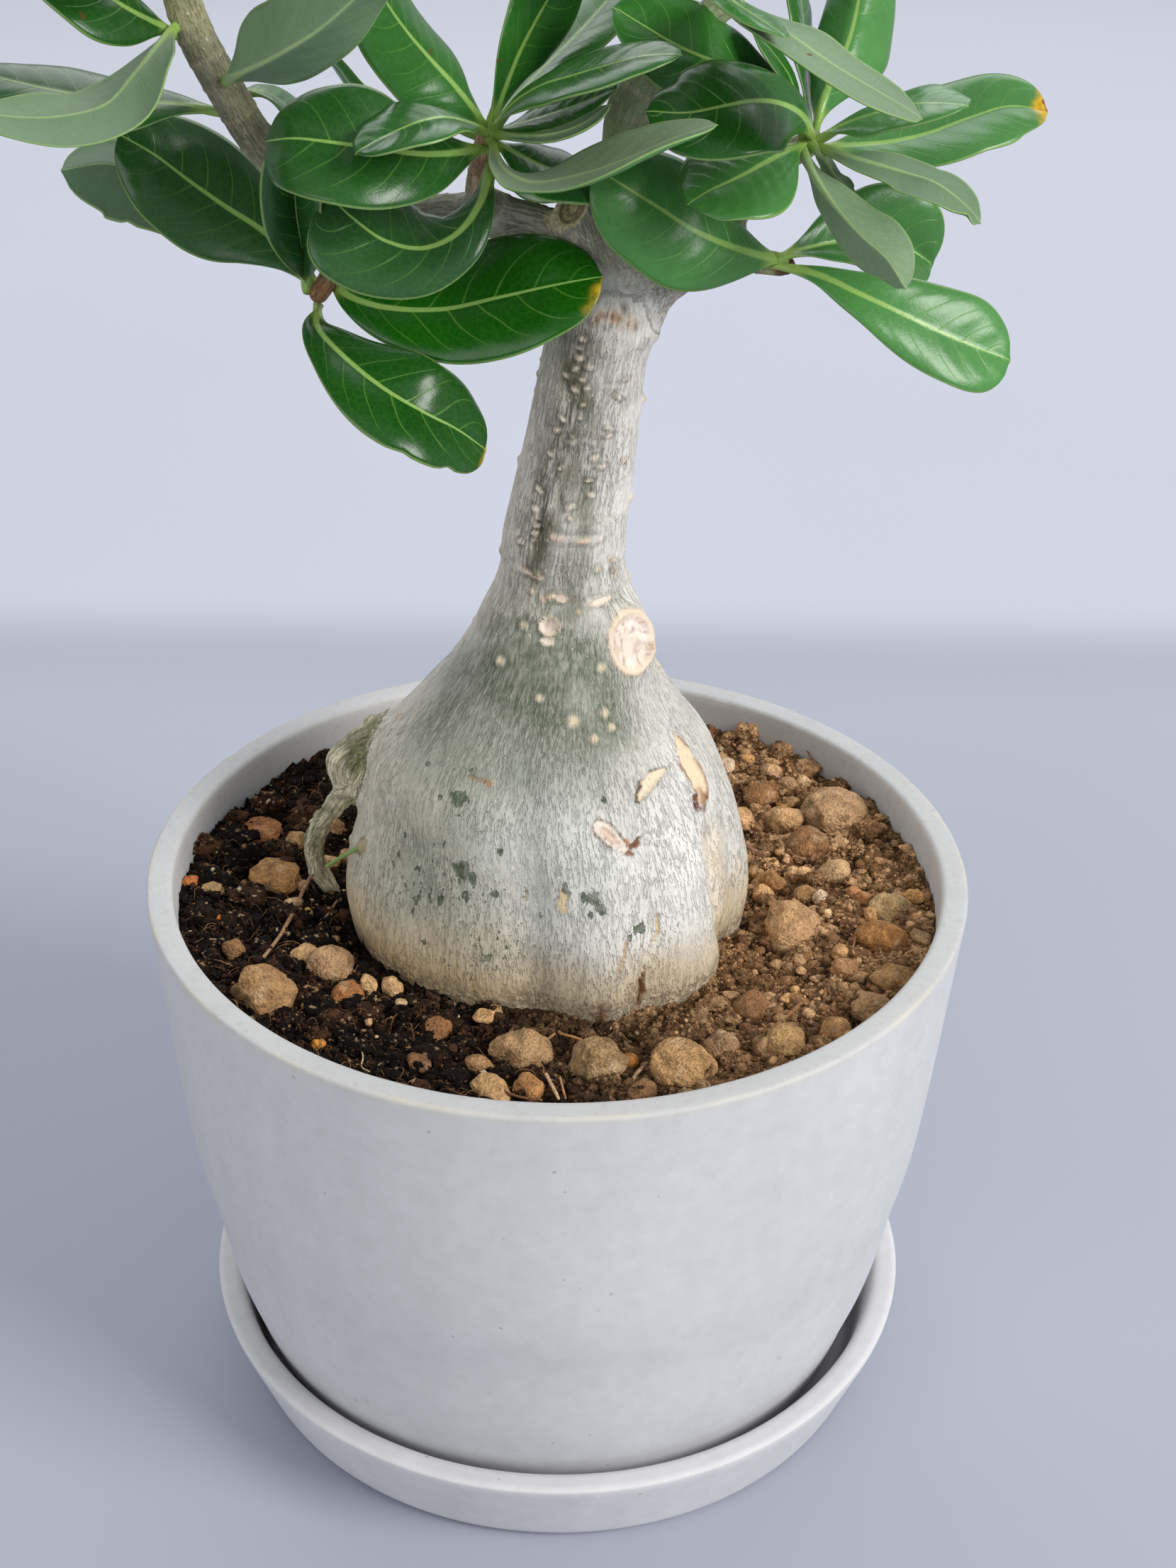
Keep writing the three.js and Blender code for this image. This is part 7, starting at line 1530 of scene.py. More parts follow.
# ---------------------------------------------------------------- leaves
# shade 0: the upper side faces the front; 1: the underside does. Rows are at these shares of the length.
STATIONS = np.array([0, 0.15, 0.325, 0.5, 0.675, 0.85, 1])
LEAVES = [
    ("leaf_left_top_1", 12, 0.55, 0,
     [[-78.02, -15.61, 349.92], [-81.29, -18.11, 352.22], [-85.17, -20.48, 355.05], [-89.18, -21.78, 358.09], [-93.29, -22.23, 361.21], [-97.4, -21.56, 364.25], [-100.78, -20.0, 366.68]],
     [[0.162, -0.779, -0.606], [0.153, -0.781, -0.605], [0.002, -0.861, -0.509], [-0.124, -0.897, -0.424], [-0.253, -0.91, -0.33], [-0.453, -0.875, -0.172], [-0.494, -0.859, -0.133]],
     [[-0.241, 0.814, 0.529], [-0.234, 0.816, 0.529], [-0.078, 0.899, 0.43], [0.052, 0.938, 0.342], [0.188, 0.951, 0.243], [0.399, 0.914, 0.077], [0.442, 0.896, 0.037]]),
    ("leaf_left_top_2", 12, 0.5, 1,
     [[-76.97, -16.74, 350.46], [-79.48, -24.78, 348.92], [-82.73, -33.21, 345.83], [-87.43, -39.72, 341.88], [-95.15, -44.05, 340.71], [-103.89, -46.22, 341.07], [-111.46, -47.0, 342.4]],
     [[0.906, -0.34, 0.253], [0.897, -0.344, 0.278], [0.809, -0.537, 0.239], [0.679, -0.731, -0.071], [0.324, -0.917, -0.232], [0.127, -0.964, -0.233], [0.049, -0.975, -0.218]],
     [[-0.861, 0.349, -0.37], [-0.849, 0.353, -0.393], [-0.747, 0.57, -0.342], [-0.655, 0.754, -0.05], [-0.327, 0.939, 0.109], [-0.145, 0.983, 0.111], [-0.073, 0.993, 0.096]]),
    ("leaf_left_top_3", 12, 0.55, 0,
     [[-70.43, -9.28, 332.51], [-78.58, -7.21, 333.0], [-88.09, -5.27, 332.82], [-97.48, -3.76, 333.32], [-106.8, -2.35, 334.48], [-116.06, -1.0, 336.16], [-123.99, 0.0, 337.79]],
     [[-0.26, -0.911, -0.319], [-0.218, -0.915, -0.34], [-0.169, -0.922, -0.349], [-0.168, -0.929, -0.33], [-0.191, -0.932, -0.309], [-0.187, -0.935, -0.301], [-0.177, -0.937, -0.301]],
     [[0.259, 0.954, 0.153], [0.225, 0.959, 0.175], [0.176, 0.967, 0.184], [0.16, 0.973, 0.165], [0.17, 0.975, 0.144], [0.161, 0.977, 0.137], [0.147, 0.98, 0.137]]),
    ("leaf_left_top_4", 12, 0.42, 1,
     [[-67.25, -16.71, 340.78], [-65.28, -26.05, 343.64], [-61.63, -36.26, 347.49], [-54.79, -43.74, 352.29], [-46.23, -48.35, 358.24], [-38.22, -51.86, 365.53], [-31.21, -54.0, 372.01]],
     [[0.17, 0.323, 0.931], [0.181, 0.34, 0.923], [0.14, 0.464, 0.875], [-0.069, 0.652, 0.755], [-0.235, 0.666, 0.708], [-0.364, 0.672, 0.645], [-0.383, 0.678, 0.627]],
     [[0.979, 0.176, -0.105], [0.973, 0.194, -0.126], [0.907, 0.372, -0.198], [0.647, 0.674, -0.357], [0.598, 0.736, -0.317], [0.562, 0.773, -0.293], [0.525, 0.785, -0.329]]),
    ("leaf_left_top_5", 9, 0.55, 0,
     [[-65.73, -7.5, 335.92], [-62.26, -3.83, 334.78], [-58.7, -0.71, 331.8], [-55.26, 1.25, 328.16], [-51.74, 2.92, 324.47], [-47.94, 4.59, 321.07], [-44.6, 6.0, 318.23]],
     [[-0.686, 0.686, 0.245], [-0.55, 0.759, 0.349], [-0.296, 0.893, 0.339], [-0.19, 0.947, 0.259], [-0.201, 0.949, 0.241], [-0.214, 0.951, 0.222], [-0.216, 0.951, 0.221]],
     [[0.708, -0.687, -0.163], [0.591, -0.759, -0.274], [0.356, -0.892, -0.278], [0.253, -0.946, -0.201], [0.26, -0.949, -0.18], [0.269, -0.95, -0.157], [0.271, -0.95, -0.156]]),
    ("leaf_left_top_6", 11, 0.6, 0,
     [[-77.74, -14.91, 366.18], [-79.27, -15.65, 370.69], [-81.17, -16.56, 376.33], [-83.17, -17.76, 382.49], [-84.91, -19.95, 388.51], [-86.25, -22.84, 394.32], [-86.76, -26.0, 399.02]],
     [[-0.356, -0.897, -0.262], [-0.351, -0.896, -0.273], [-0.354, -0.9, -0.255], [-0.327, -0.883, -0.338], [-0.295, -0.844, -0.447], [-0.309, -0.794, -0.524], [-0.331, -0.763, -0.556]],
     [[0.356, 0.897, 0.262], [0.351, 0.896, 0.273], [0.354, 0.9, 0.255], [0.327, 0.883, 0.338], [0.295, 0.844, 0.447], [0.309, 0.794, 0.524], [0.331, 0.763, 0.556]]),
    ("leaf_left_top_7", 11, 0.6, 0,
     [[-75.82, -10.91, 365.58], [-74.02, -10.38, 370.15], [-71.22, -9.52, 375.56], [-67.45, -8.32, 381.05], [-63.24, -7.86, 386.4], [-58.7, -7.99, 391.49], [-54.4, -8.0, 395.44]],
     [[-0.591, 0.792, 0.154], [-0.594, 0.792, 0.142], [-0.56, 0.808, 0.182], [-0.519, 0.822, 0.234], [-0.416, 0.839, 0.352], [-0.379, 0.847, 0.373], [-0.34, 0.854, 0.394]],
     [[0.644, -0.744, -0.18], [0.646, -0.744, -0.17], [0.608, -0.762, -0.221], [0.565, -0.777, -0.276], [0.464, -0.794, -0.393], [0.425, -0.804, -0.416], [0.381, -0.812, -0.442]]),
    ("leaf_left_top_8", 11, 0.6, 0,
     [[-77.96, -16.35, 364.24], [-79.54, -21.8, 366.92], [-81.72, -28.13, 370.06], [-84.99, -34.13, 373.23], [-88.85, -39.94, 376.12], [-93.22, -45.62, 378.5], [-97.72, -50.0, 380.03]],
     [[0.458, -0.501, -0.735], [0.466, -0.494, -0.734], [0.497, -0.558, -0.665], [0.501, -0.63, -0.594], [0.553, -0.634, -0.54], [0.568, -0.674, -0.473], [0.533, -0.732, -0.424]],
     [[-0.503, 0.5, 0.705], [-0.512, 0.492, 0.704], [-0.539, 0.559, 0.63], [-0.539, 0.633, 0.555], [-0.587, 0.639, 0.498], [-0.597, 0.68, 0.426], [-0.555, 0.742, 0.375]]),
    ("leaf_left_top_9", 11, 0.6, 0,
     [[-77.55, -9.33, 362.44], [-78.16, -2.29, 363.81], [-78.78, 5.59, 365.29], [-79.0, 12.97, 366.7], [-78.92, 20.31, 368.14], [-78.71, 27.67, 369.39], [-78.45, 34.0, 370.37]],
     [[-0.743, 0.068, -0.665], [-0.742, 0.062, -0.668], [-0.78, 0.07, -0.622], [-0.835, 0.103, -0.54], [-0.867, 0.107, -0.487], [-0.897, 0.103, -0.43], [-0.902, 0.102, -0.419]],
     [[0.415, 0.208, -0.886], [0.417, 0.206, -0.885], [0.366, 0.191, -0.911], [0.279, 0.188, -0.942], [0.221, 0.175, -0.959], [0.156, 0.146, -0.977], [0.144, 0.147, -0.979]]),
    ("leaf_left_top_10", 10, 0.6, 0,
     [[-74.57, -15.04, 363.7], [-71.5, -18.5, 365.35], [-67.52, -22.74, 367.4], [-62.88, -27.09, 369.87], [-58.05, -31.17, 372.57], [-52.91, -34.95, 375.14], [-48.35, -38.0, 377.28]],
     [[0.481, 0.692, 0.538], [0.486, 0.688, 0.539], [0.43, 0.713, 0.554], [0.344, 0.746, 0.571], [0.32, 0.77, 0.552], [0.298, 0.803, 0.516], [0.301, 0.803, 0.515]],
     [[-0.517, -0.701, -0.49], [-0.522, -0.697, -0.491], [-0.466, -0.725, -0.507], [-0.382, -0.76, -0.526], [-0.357, -0.785, -0.506], [-0.332, -0.819, -0.468], [-0.334, -0.819, -0.467]]),
    ("leaf_left_low_1", 12.5, 0.78, 1,
     [[-52.12, -0.48, 292.31], [-59.93, 6.48, 295.64], [-69.23, 12.53, 300.03], [-78.79, 15.03, 305.2], [-88.63, 16.61, 310.14], [-99.11, 16.74, 313.47], [-108.35, 15.0, 312.31]],
     [[-0.69, -0.544, -0.477], [-0.679, -0.555, -0.48], [-0.545, -0.627, -0.557], [-0.454, -0.648, -0.611], [-0.373, -0.651, -0.661], [0.026, -0.622, -0.783], [0.307, -0.565, -0.766]],
     [[0.594, 0.769, -0.234], [0.567, 0.793, -0.223], [0.337, 0.937, -0.094], [0.189, 0.982, -0.005], [0.122, 0.992, 0.041], [-0.109, 0.985, 0.132], [-0.242, 0.961, 0.133]]),
    ("leaf_left_low_2", 13, 0.6, 0,
     [[-52.91, -0.73, 291.86], [-57.89, 2.34, 297.41], [-64.87, 5.36, 302.73], [-72.7, 7.33, 307.2], [-80.21, 8.04, 312.49], [-87.42, 8.0, 318.22], [-94.23, 8.0, 322.25]],
     [[-0.77, -0.458, -0.445], [-0.754, -0.46, -0.47], [-0.541, -0.513, -0.667], [-0.522, -0.514, -0.681], [-0.55, -0.513, -0.659], [-0.468, -0.515, -0.718], [-0.431, -0.516, -0.74]],
     [[0.737, 0.582, 0.345], [0.721, 0.585, 0.371], [0.524, 0.638, 0.564], [0.486, 0.644, 0.59], [0.493, 0.645, 0.584], [0.416, 0.648, 0.638], [0.383, 0.648, 0.658]]),
    ("leaf_left_low_3", 11, 0.6, 0,
     [[-54.73, -4.17, 294.29], [-54.7, -7.54, 299.81], [-54.83, -11.07, 306.66], [-55.1, -13.85, 314.15], [-54.62, -16.47, 321.7], [-53.42, -17.81, 329.49], [-51.76, -18.0, 336.14]],
     [[-0.378, -0.795, -0.474], [-0.386, -0.791, -0.475], [-0.432, -0.825, -0.364], [-0.484, -0.824, -0.293], [-0.545, -0.82, -0.177], [-0.554, -0.832, 0.037], [-0.54, -0.822, 0.18]],
     [[0.625, -0.663, -0.412], [0.619, -0.676, -0.399], [0.58, -0.759, -0.296], [0.532, -0.796, -0.288], [0.465, -0.835, -0.293], [0.441, -0.883, -0.163], [0.433, -0.895, -0.106]]),
    ("leaf_left_low_4", 12, 0.62, 0,
     [[-52.64, -4.0, 288.58], [-52.16, -12.43, 287.57], [-46.04, -20.16, 283.97], [-38.15, -26.18, 279.98], [-29.84, -28.02, 275.48], [-22.17, -23.56, 269.22], [-16.65, -17.97, 262.63]],
     [[0.846, -0.045, -0.531], [0.914, 0.392, 0.107], [0.748, 0.56, 0.357], [0.586, 0.629, 0.511], [0.31, 0.688, 0.656], [0.223, 0.619, 0.753], [0.287, 0.613, 0.736]],
     [[-0.634, -0.022, 0.773], [-0.871, -0.444, 0.211], [-0.71, -0.7, -0.07], [-0.553, -0.798, -0.24], [-0.141, -0.881, -0.451], [0.038, -0.771, -0.636], [-0.017, -0.767, -0.641]]),
    ("leaf_left_low_5", 13.5, 0.66, 0,
     [[-49.86, -0.3, 293.08], [-44.84, -5.95, 291.79], [-36.28, -8.46, 290.52], [-25.02, -9.77, 291.03], [-13.54, -12.47, 294.74], [-2.09, -14.64, 298.32], [7.69, -14.58, 300.36]],
     [[0.603, 0.551, 0.576], [0.574, 0.541, 0.615], [0.128, 0.674, 0.728], [-0.027, 0.678, 0.735], [-0.109, 0.65, 0.752], [-0.128, 0.67, 0.731], [-0.173, 0.675, 0.717]],
     [[-0.605, -0.606, -0.517], [-0.607, -0.587, -0.536], [-0.13, -0.741, -0.659], [0.003, -0.746, -0.666], [0.069, -0.716, -0.695], [0.108, -0.739, -0.665], [0.162, -0.745, -0.648]]),
    ("leaf_middle_1", 12.8, 0.8, 0,
     [[-15.47, -10.29, 322.59], [-16.84, -18.38, 317.89], [-21.48, -24.06, 312.6], [-28.59, -25.1, 309.64], [-36.2, -24.58, 310.89], [-42.74, -23.29, 315.05], [-47.85, -22.0, 319.3]],
     [[0.993, -0.119, -0.023], [0.964, -0.191, -0.183], [0.66, -0.505, -0.557], [0.114, -0.62, -0.776], [-0.394, -0.619, -0.679], [-0.588, -0.592, -0.551], [-0.596, -0.592, -0.543]],
     [[-0.927, 0.27, -0.26], [-0.927, 0.362, -0.092], [-0.599, 0.729, 0.333], [-0.086, 0.837, 0.541], [0.321, 0.833, 0.45], [0.475, 0.81, 0.344], [0.481, 0.81, 0.337]]),
    ("leaf_middle_2", 12.8, 0.6, 0,
     [[-16.66, -11.72, 326.13], [-22.1, -20.61, 327.78], [-28.71, -29.71, 330.2], [-35.9, -33.91, 332.26], [-44.09, -34.73, 333.58], [-52.69, -31.63, 333.47], [-58.78, -27.07, 331.6]],
     [[0.515, -0.473, -0.715], [0.502, -0.436, -0.747], [0.318, -0.609, -0.727], [0.077, -0.731, -0.678], [-0.126, -0.75, -0.65], [-0.323, -0.674, -0.664], [-0.228, -0.644, -0.73]],
     [[-0.383, 0.401, 0.833], [-0.357, 0.38, 0.853], [-0.194, 0.514, 0.836], [-0.009, 0.603, 0.798], [0.127, 0.615, 0.778], [0.238, 0.562, 0.792], [0.098, 0.548, 0.831]]),
    ("leaf_middle_3", 9.5, 0.6, 0,
     [[-16.47, -11.85, 330.06], [-19.73, -23.85, 334.81], [-23.47, -31.44, 337.74], [-26.95, -34.94, 338.16], [-30.98, -38.02, 337.54], [-35.5, -41.05, 336.13], [-39.89, -43.2, 334.3]],
     [[0.811, -0.401, -0.426], [0.827, -0.388, -0.406], [0.74, -0.659, -0.136], [0.664, -0.748, -0.007], [0.558, -0.829, 0.044], [0.525, -0.849, 0.069], [0.29, -0.957, -0.02]],
     [[-0.681, 0.431, 0.592], [-0.701, 0.419, 0.577], [-0.672, 0.659, 0.338], [-0.649, 0.728, 0.221], [-0.588, 0.792, 0.166], [-0.573, 0.808, 0.134], [-0.365, 0.907, 0.211]]),
    ("leaf_middle_4", 11.5, 0.55, 0,
     [[-16.26, -11.49, 330.61], [-19.13, -15.25, 335.94], [-23.07, -16.39, 341.24], [-27.32, -17.35, 346.27], [-31.45, -21.63, 352.56], [-35.15, -26.42, 359.75], [-37.76, -27.3, 365.91]],
     [[-0.42, -0.58, -0.698], [-0.503, -0.646, -0.574], [-0.553, -0.649, -0.523], [-0.44, -0.647, -0.623], [-0.441, -0.566, -0.696], [-0.582, -0.598, -0.552], [-0.74, -0.627, -0.246]],
     [[-0.115, 0.788, 0.604], [0.02, 0.924, 0.381], [0.165, 0.963, 0.212], [-0.025, 0.917, 0.398], [-0.078, 0.807, 0.586], [0.087, 0.889, 0.45], [0.299, 0.953, 0.051]]),
    ("leaf_middle_5", 11, 0.6, 0,
     [[-15.29, -11.31, 330.85], [-12.87, -9.83, 337.57], [-10.0, -7.04, 344.35], [-6.93, -2.85, 349.52], [-3.63, 1.52, 354.37], [-0.49, 5.52, 359.64], [2.0, 8.0, 364.8]],
     [[-0.533, -0.776, 0.337], [-0.501, -0.765, 0.405], [-0.392, -0.686, 0.613], [-0.288, -0.595, 0.75], [-0.316, -0.624, 0.715], [-0.373, -0.667, 0.645], [-0.455, -0.738, 0.498]],
     [[0.657, 0.662, -0.359], [0.627, 0.655, -0.422], [0.525, 0.587, -0.617], [0.424, 0.501, -0.755], [0.45, 0.528, -0.72], [0.505, 0.567, -0.651], [0.581, 0.632, -0.512]]),
    ("leaf_middle_6", 11, 0.6, 0,
     [[-14.89, -11.7, 330.32], [-10.73, -18.14, 336.75], [-4.92, -24.43, 342.26], [1.39, -28.81, 345.53], [7.89, -32.77, 348.63], [14.92, -35.97, 351.38], [21.57, -38.0, 352.44]],
     [[0.26, 0.757, 0.599], [0.331, 0.77, 0.545], [0.453, 0.82, 0.351], [0.417, 0.861, 0.291], [0.373, 0.891, 0.258], [0.296, 0.939, 0.176], [0.256, 0.957, 0.138]],
     [[-0.328, -0.761, -0.559], [-0.395, -0.771, -0.499], [-0.495, -0.821, -0.285], [-0.453, -0.864, -0.221], [-0.407, -0.894, -0.187], [-0.317, -0.943, -0.1], [-0.267, -0.962, -0.061]]),
    ("leaf_middle_7", 11, 0.6, 0,
     [[-13.97, -9.0, 331.33], [-10.26, -3.92, 334.19], [-5.76, 1.89, 337.68], [-0.7, 7.17, 341.46], [4.49, 12.06, 345.6], [9.49, 16.57, 350.35], [13.24, 20.0, 355.26]],
     [[-0.739, 0.648, -0.185], [-0.74, 0.646, -0.185], [-0.706, 0.695, -0.137], [-0.658, 0.748, -0.084], [-0.632, 0.77, -0.086], [-0.598, 0.794, -0.109], [-0.579, 0.807, -0.117]],
     [[0.705, -0.662, 0.253], [0.707, -0.661, 0.253], [0.673, -0.711, 0.205], [0.624, -0.766, 0.152], [0.595, -0.789, 0.151], [0.552, -0.817, 0.167], [0.529, -0.831, 0.171]]),
    ("leaf_middle_8", 9, 0.55, 0,
     [[-14.38, -11.91, 329.68], [-10.53, -13.62, 331.28], [-6.15, -13.63, 332.6], [-1.87, -13.17, 333.88], [2.35, -14.16, 335.76], [6.47, -17.1, 338.34], [9.98, -20.73, 340.98]],
     [[0.452, 0.856, 0.249], [0.03, 0.991, 0.13], [-0.123, 0.987, 0.101], [-0.024, 0.994, 0.109], [0.301, 0.922, 0.245], [0.474, 0.79, 0.389], [0.474, 0.766, 0.434]],
     [[-0.481, -0.856, -0.19], [-0.052, -0.997, -0.061], [0.104, -0.994, -0.031], [0.001, -0.999, -0.044], [-0.333, -0.924, -0.187], [-0.513, -0.791, -0.333], [-0.518, -0.767, -0.379]]),
    ("leaf_middle_9", 4, 0.6, 1,
     [[-14.15, -12.04, 328.95], [-10.43, -19.33, 330.68], [-5.92, -26.02, 332.72], [-1.6, -28.3, 334.05], [2.25, -29.06, 335.66], [5.75, -28.72, 337.71], [8.51, -28.08, 339.94]],
     [[0.827, 0.545, 0.137], [0.867, 0.44, 0.235], [0.585, 0.783, 0.21], [0.253, 0.954, 0.161], [-0.014, 0.99, 0.138], [-0.25, 0.968, 0.03], [-0.219, 0.974, 0.053]],
     [[-0.841, -0.537, -0.062], [-0.889, -0.43, -0.158], [-0.608, -0.782, -0.137], [-0.278, -0.956, -0.091], [-0.021, -0.998, -0.067], [0.203, -0.978, 0.038], [0.169, -0.986, 0.01]]),
    ("leaf_middle_10", 9, 0.5, 0,
     [[-14.34, -12.14, 327.72], [-11.19, -12.77, 326.02], [-7.48, -13.1, 324.17], [-3.59, -13.02, 322.49], [0.42, -12.48, 321.22], [4.38, -11.37, 320.22], [7.68, -10.0, 319.51]],
     [[0.394, 0.908, 0.142], [0.23, 0.947, 0.226], [0.153, 0.954, 0.259], [0.038, 0.955, 0.294], [-0.097, 0.945, 0.313], [-0.276, 0.903, 0.329], [-0.299, 0.898, 0.322]],
     [[-0.42, -0.882, -0.212], [-0.263, -0.919, -0.293], [-0.184, -0.927, -0.327], [-0.066, -0.929, -0.363], [0.073, -0.92, -0.384], [0.251, -0.881, -0.4], [0.275, -0.877, -0.394]]),
    ("leaf_middle_11", 9, 0.6, 1,
     [[-13.61, -6.28, 319.61], [-11.86, -2.37, 316.19], [-9.07, 2.87, 312.47], [-4.4, 6.56, 310.66], [0.57, 8.38, 310.15], [5.44, 10.08, 310.15], [9.59, 12.2, 310.13]],
     [[-0.511, 0.781, 0.358], [-0.614, 0.594, 0.519], [-0.728, 0.677, 0.108], [-0.479, 0.862, -0.167], [-0.288, 0.931, -0.224], [-0.382, 0.89, -0.248], [-0.479, 0.841, -0.253]],
     [[0.488, -0.785, -0.382], [0.587, -0.602, -0.541], [0.716, -0.685, -0.139], [0.477, -0.869, 0.134], [0.289, -0.938, 0.189], [0.386, -0.897, 0.215], [0.482, -0.848, 0.22]]),
    ("leaf_middle_12", 10, 0.5, 1,
     [[-15.22, -12.37, 327.67], [-12.92, -22.39, 325.26], [-6.45, -32.08, 325.11], [2.13, -38.65, 328.53], [11.04, -43.85, 333.27], [20.07, -45.87, 338.21], [28.39, -45.32, 341.3]],
     [[0.716, 0.302, -0.63], [0.883, 0.379, -0.278], [0.635, 0.718, 0.285], [0.384, 0.84, 0.383], [0.19, 0.912, 0.363], [-0.073, 0.971, 0.23], [-0.167, 0.966, 0.196]],
     [[-0.401, -0.301, 0.865], [-0.692, -0.368, 0.622], [-0.71, -0.697, 0.102], [-0.552, -0.833, -0.025], [-0.392, -0.92, -0.024], [-0.082, -0.988, 0.132], [0.035, -0.983, 0.179]]),
    ("leaf_middle_13", 5, 0.6, 0,
     [[-19.09, -6.92, 327.45], [-24.09, -4.84, 328.56], [-30.08, -2.68, 329.81], [-36.41, -1.27, 330.92], [-42.22, -0.11, 333.63], [-46.35, 0.01, 338.7], [-49.65, 0.0, 343.27]],
     [[0.199, 0.796, -0.572], [0.202, 0.795, -0.571], [0.137, 0.83, -0.541], [0.041, 0.846, -0.532], [-0.221, 0.873, -0.434], [-0.37, 0.894, -0.252], [-0.362, 0.895, -0.261]],
     [[-0.152, -0.731, 0.665], [-0.155, -0.731, 0.664], [-0.101, -0.764, 0.637], [-0.005, -0.778, 0.628], [0.292, -0.809, 0.51], [0.456, -0.833, 0.314], [0.448, -0.834, 0.323]]),
    ("leaf_top_1", 11, 0.6, 1,
     [[31.92, -7.56, 357.47], [33.13, -17.64, 357.8], [36.42, -28.23, 357.31], [42.44, -36.4, 355.56], [50.27, -41.7, 351.58], [59.24, -44.14, 347.13], [67.07, -45.0, 343.08]],
     [[0.906, 0.088, -0.414], [0.927, 0.148, -0.344], [0.862, 0.447, -0.24], [0.638, 0.754, -0.154], [0.391, 0.919, -0.045], [0.183, 0.981, 0.064], [0.143, 0.986, 0.084]],
     [[-0.906, -0.088, 0.414], [-0.927, -0.148, 0.344], [-0.862, -0.447, 0.24], [-0.638, -0.754, 0.154], [-0.391, -0.919, 0.045], [-0.183, -0.981, -0.064], [-0.143, -0.986, -0.084]]),
    ("leaf_top_2", 6, 0.6, 0,
     [[31.7, -7.46, 357.54], [30.91, -21.85, 360.07], [30.97, -29.69, 360.86], [32.31, -32.85, 360.41], [34.15, -37.69, 360.26], [36.93, -43.37, 359.69], [40.09, -48.0, 358.68]],
     [[0.903, -0.124, -0.411], [0.9, -0.114, -0.421], [0.896, 0.24, -0.375], [0.883, 0.387, -0.266], [0.902, 0.357, -0.244], [0.798, 0.557, -0.228], [0.79, 0.57, -0.226]],
     [[-0.903, 0.124, 0.411], [-0.9, 0.114, 0.421], [-0.896, -0.24, 0.375], [-0.883, -0.387, 0.266], [-0.902, -0.357, 0.244], [-0.798, -0.557, 0.228], [-0.79, -0.57, 0.226]]),
    ("leaf_top_3", 11, 0.6, 0,
     [[34.62, -6.08, 363.06], [34.75, -5.95, 367.68], [35.0, -6.28, 373.41], [35.44, -7.29, 379.62], [35.76, -9.09, 385.7], [35.95, -11.64, 391.52], [35.9, -14.0, 396.43]],
     [[-0.706, -0.707, 0.046], [-0.706, -0.708, 0.023], [-0.713, -0.7, -0.037], [-0.72, -0.688, -0.095], [-0.724, -0.652, -0.227], [-0.717, -0.641, -0.274], [-0.703, -0.625, -0.34]],
     [[0.565, -0.825, 0.012], [0.562, -0.827, -0.014], [0.548, -0.826, -0.131], [0.539, -0.816, -0.208], [0.536, -0.778, -0.327], [0.545, -0.759, -0.355], [0.562, -0.744, -0.36]]),
    ("leaf_top_4", 11, 0.6, 0,
     [[32.85, -6.68, 361.62], [29.85, -9.17, 365.55], [25.97, -12.04, 370.13], [21.06, -14.4, 374.43], [15.99, -16.79, 378.59], [11.1, -19.62, 382.67], [6.36, -22.0, 385.41]],
     [[-0.082, -0.818, -0.57], [-0.07, -0.814, -0.577], [-0.032, -0.844, -0.536], [-0.025, -0.874, -0.486], [0.022, -0.851, -0.525], [0.083, -0.849, -0.521], [0.162, -0.853, -0.497]],
     [[0.106, 0.806, 0.582], [0.095, 0.803, 0.589], [0.054, 0.833, 0.551], [0.045, 0.862, 0.505], [-0.001, 0.84, 0.542], [-0.064, 0.839, 0.54], [-0.146, 0.842, 0.519]]),
    ("leaf_top_5", 11, 0.6, 0,
     [[37.31, -5.86, 361.28], [39.79, -6.95, 364.77], [43.18, -8.03, 368.94], [47.43, -8.16, 373.15], [51.96, -8.0, 377.13], [56.79, -8.0, 380.74], [61.41, -8.0, 382.97]],
     [[-0.167, 0.913, 0.372], [-0.144, 0.905, 0.401], [-0.211, 0.92, 0.331], [-0.285, 0.924, 0.255], [-0.239, 0.926, 0.292], [-0.211, 0.927, 0.311], [-0.116, 0.926, 0.36]],
     [[0.13, -0.928, -0.35], [0.107, -0.919, -0.379], [0.179, -0.936, -0.304], [0.257, -0.94, -0.224], [0.213, -0.942, -0.26], [0.187, -0.943, -0.276], [0.103, -0.942, -0.32]]),
    ("leaf_top_6", 11, 0.6, 0,
     [[34.98, -0.51, 359.52], [37.09, 5.81, 361.22], [39.45, 12.84, 363.07], [41.58, 19.42, 364.5], [43.67, 26.0, 365.76], [45.9, 32.49, 367.19], [47.92, 38.0, 368.53]],
     [[-0.798, 0.386, -0.462], [-0.796, 0.394, -0.46], [-0.806, 0.38, -0.455], [-0.823, 0.347, -0.449], [-0.827, 0.355, -0.435], [-0.821, 0.396, -0.411], [-0.822, 0.397, -0.408]],
     [[0.798, -0.386, 0.462], [0.796, -0.394, 0.46], [0.806, -0.38, 0.455], [0.823, -0.347, 0.449], [0.827, -0.355, 0.435], [0.821, -0.396, 0.411], [0.822, -0.397, 0.408]]),
    ("leaf_top_7", 10, 0.6, 0,
     [[34.13, -0.44, 359.59], [32.19, 3.54, 362.3], [29.92, 8.16, 365.3], [27.72, 12.84, 367.97], [25.42, 17.54, 370.48], [22.71, 22.12, 372.8], [20.22, 26.0, 374.69]],
     [[-0.185, 0.482, -0.856], [-0.187, 0.49, -0.852], [-0.154, 0.456, -0.877], [-0.123, 0.431, -0.894], [-0.069, 0.435, -0.898], [0.0, 0.439, -0.899], [0.005, 0.443, -0.896]],
     [[0.185, -0.482, 0.856], [0.187, -0.49, 0.852], [0.154, -0.456, 0.877], [0.123, -0.431, 0.894], [0.069, -0.435, 0.898], [-0.0, -0.439, 0.899], [-0.005, -0.443, 0.896]]),
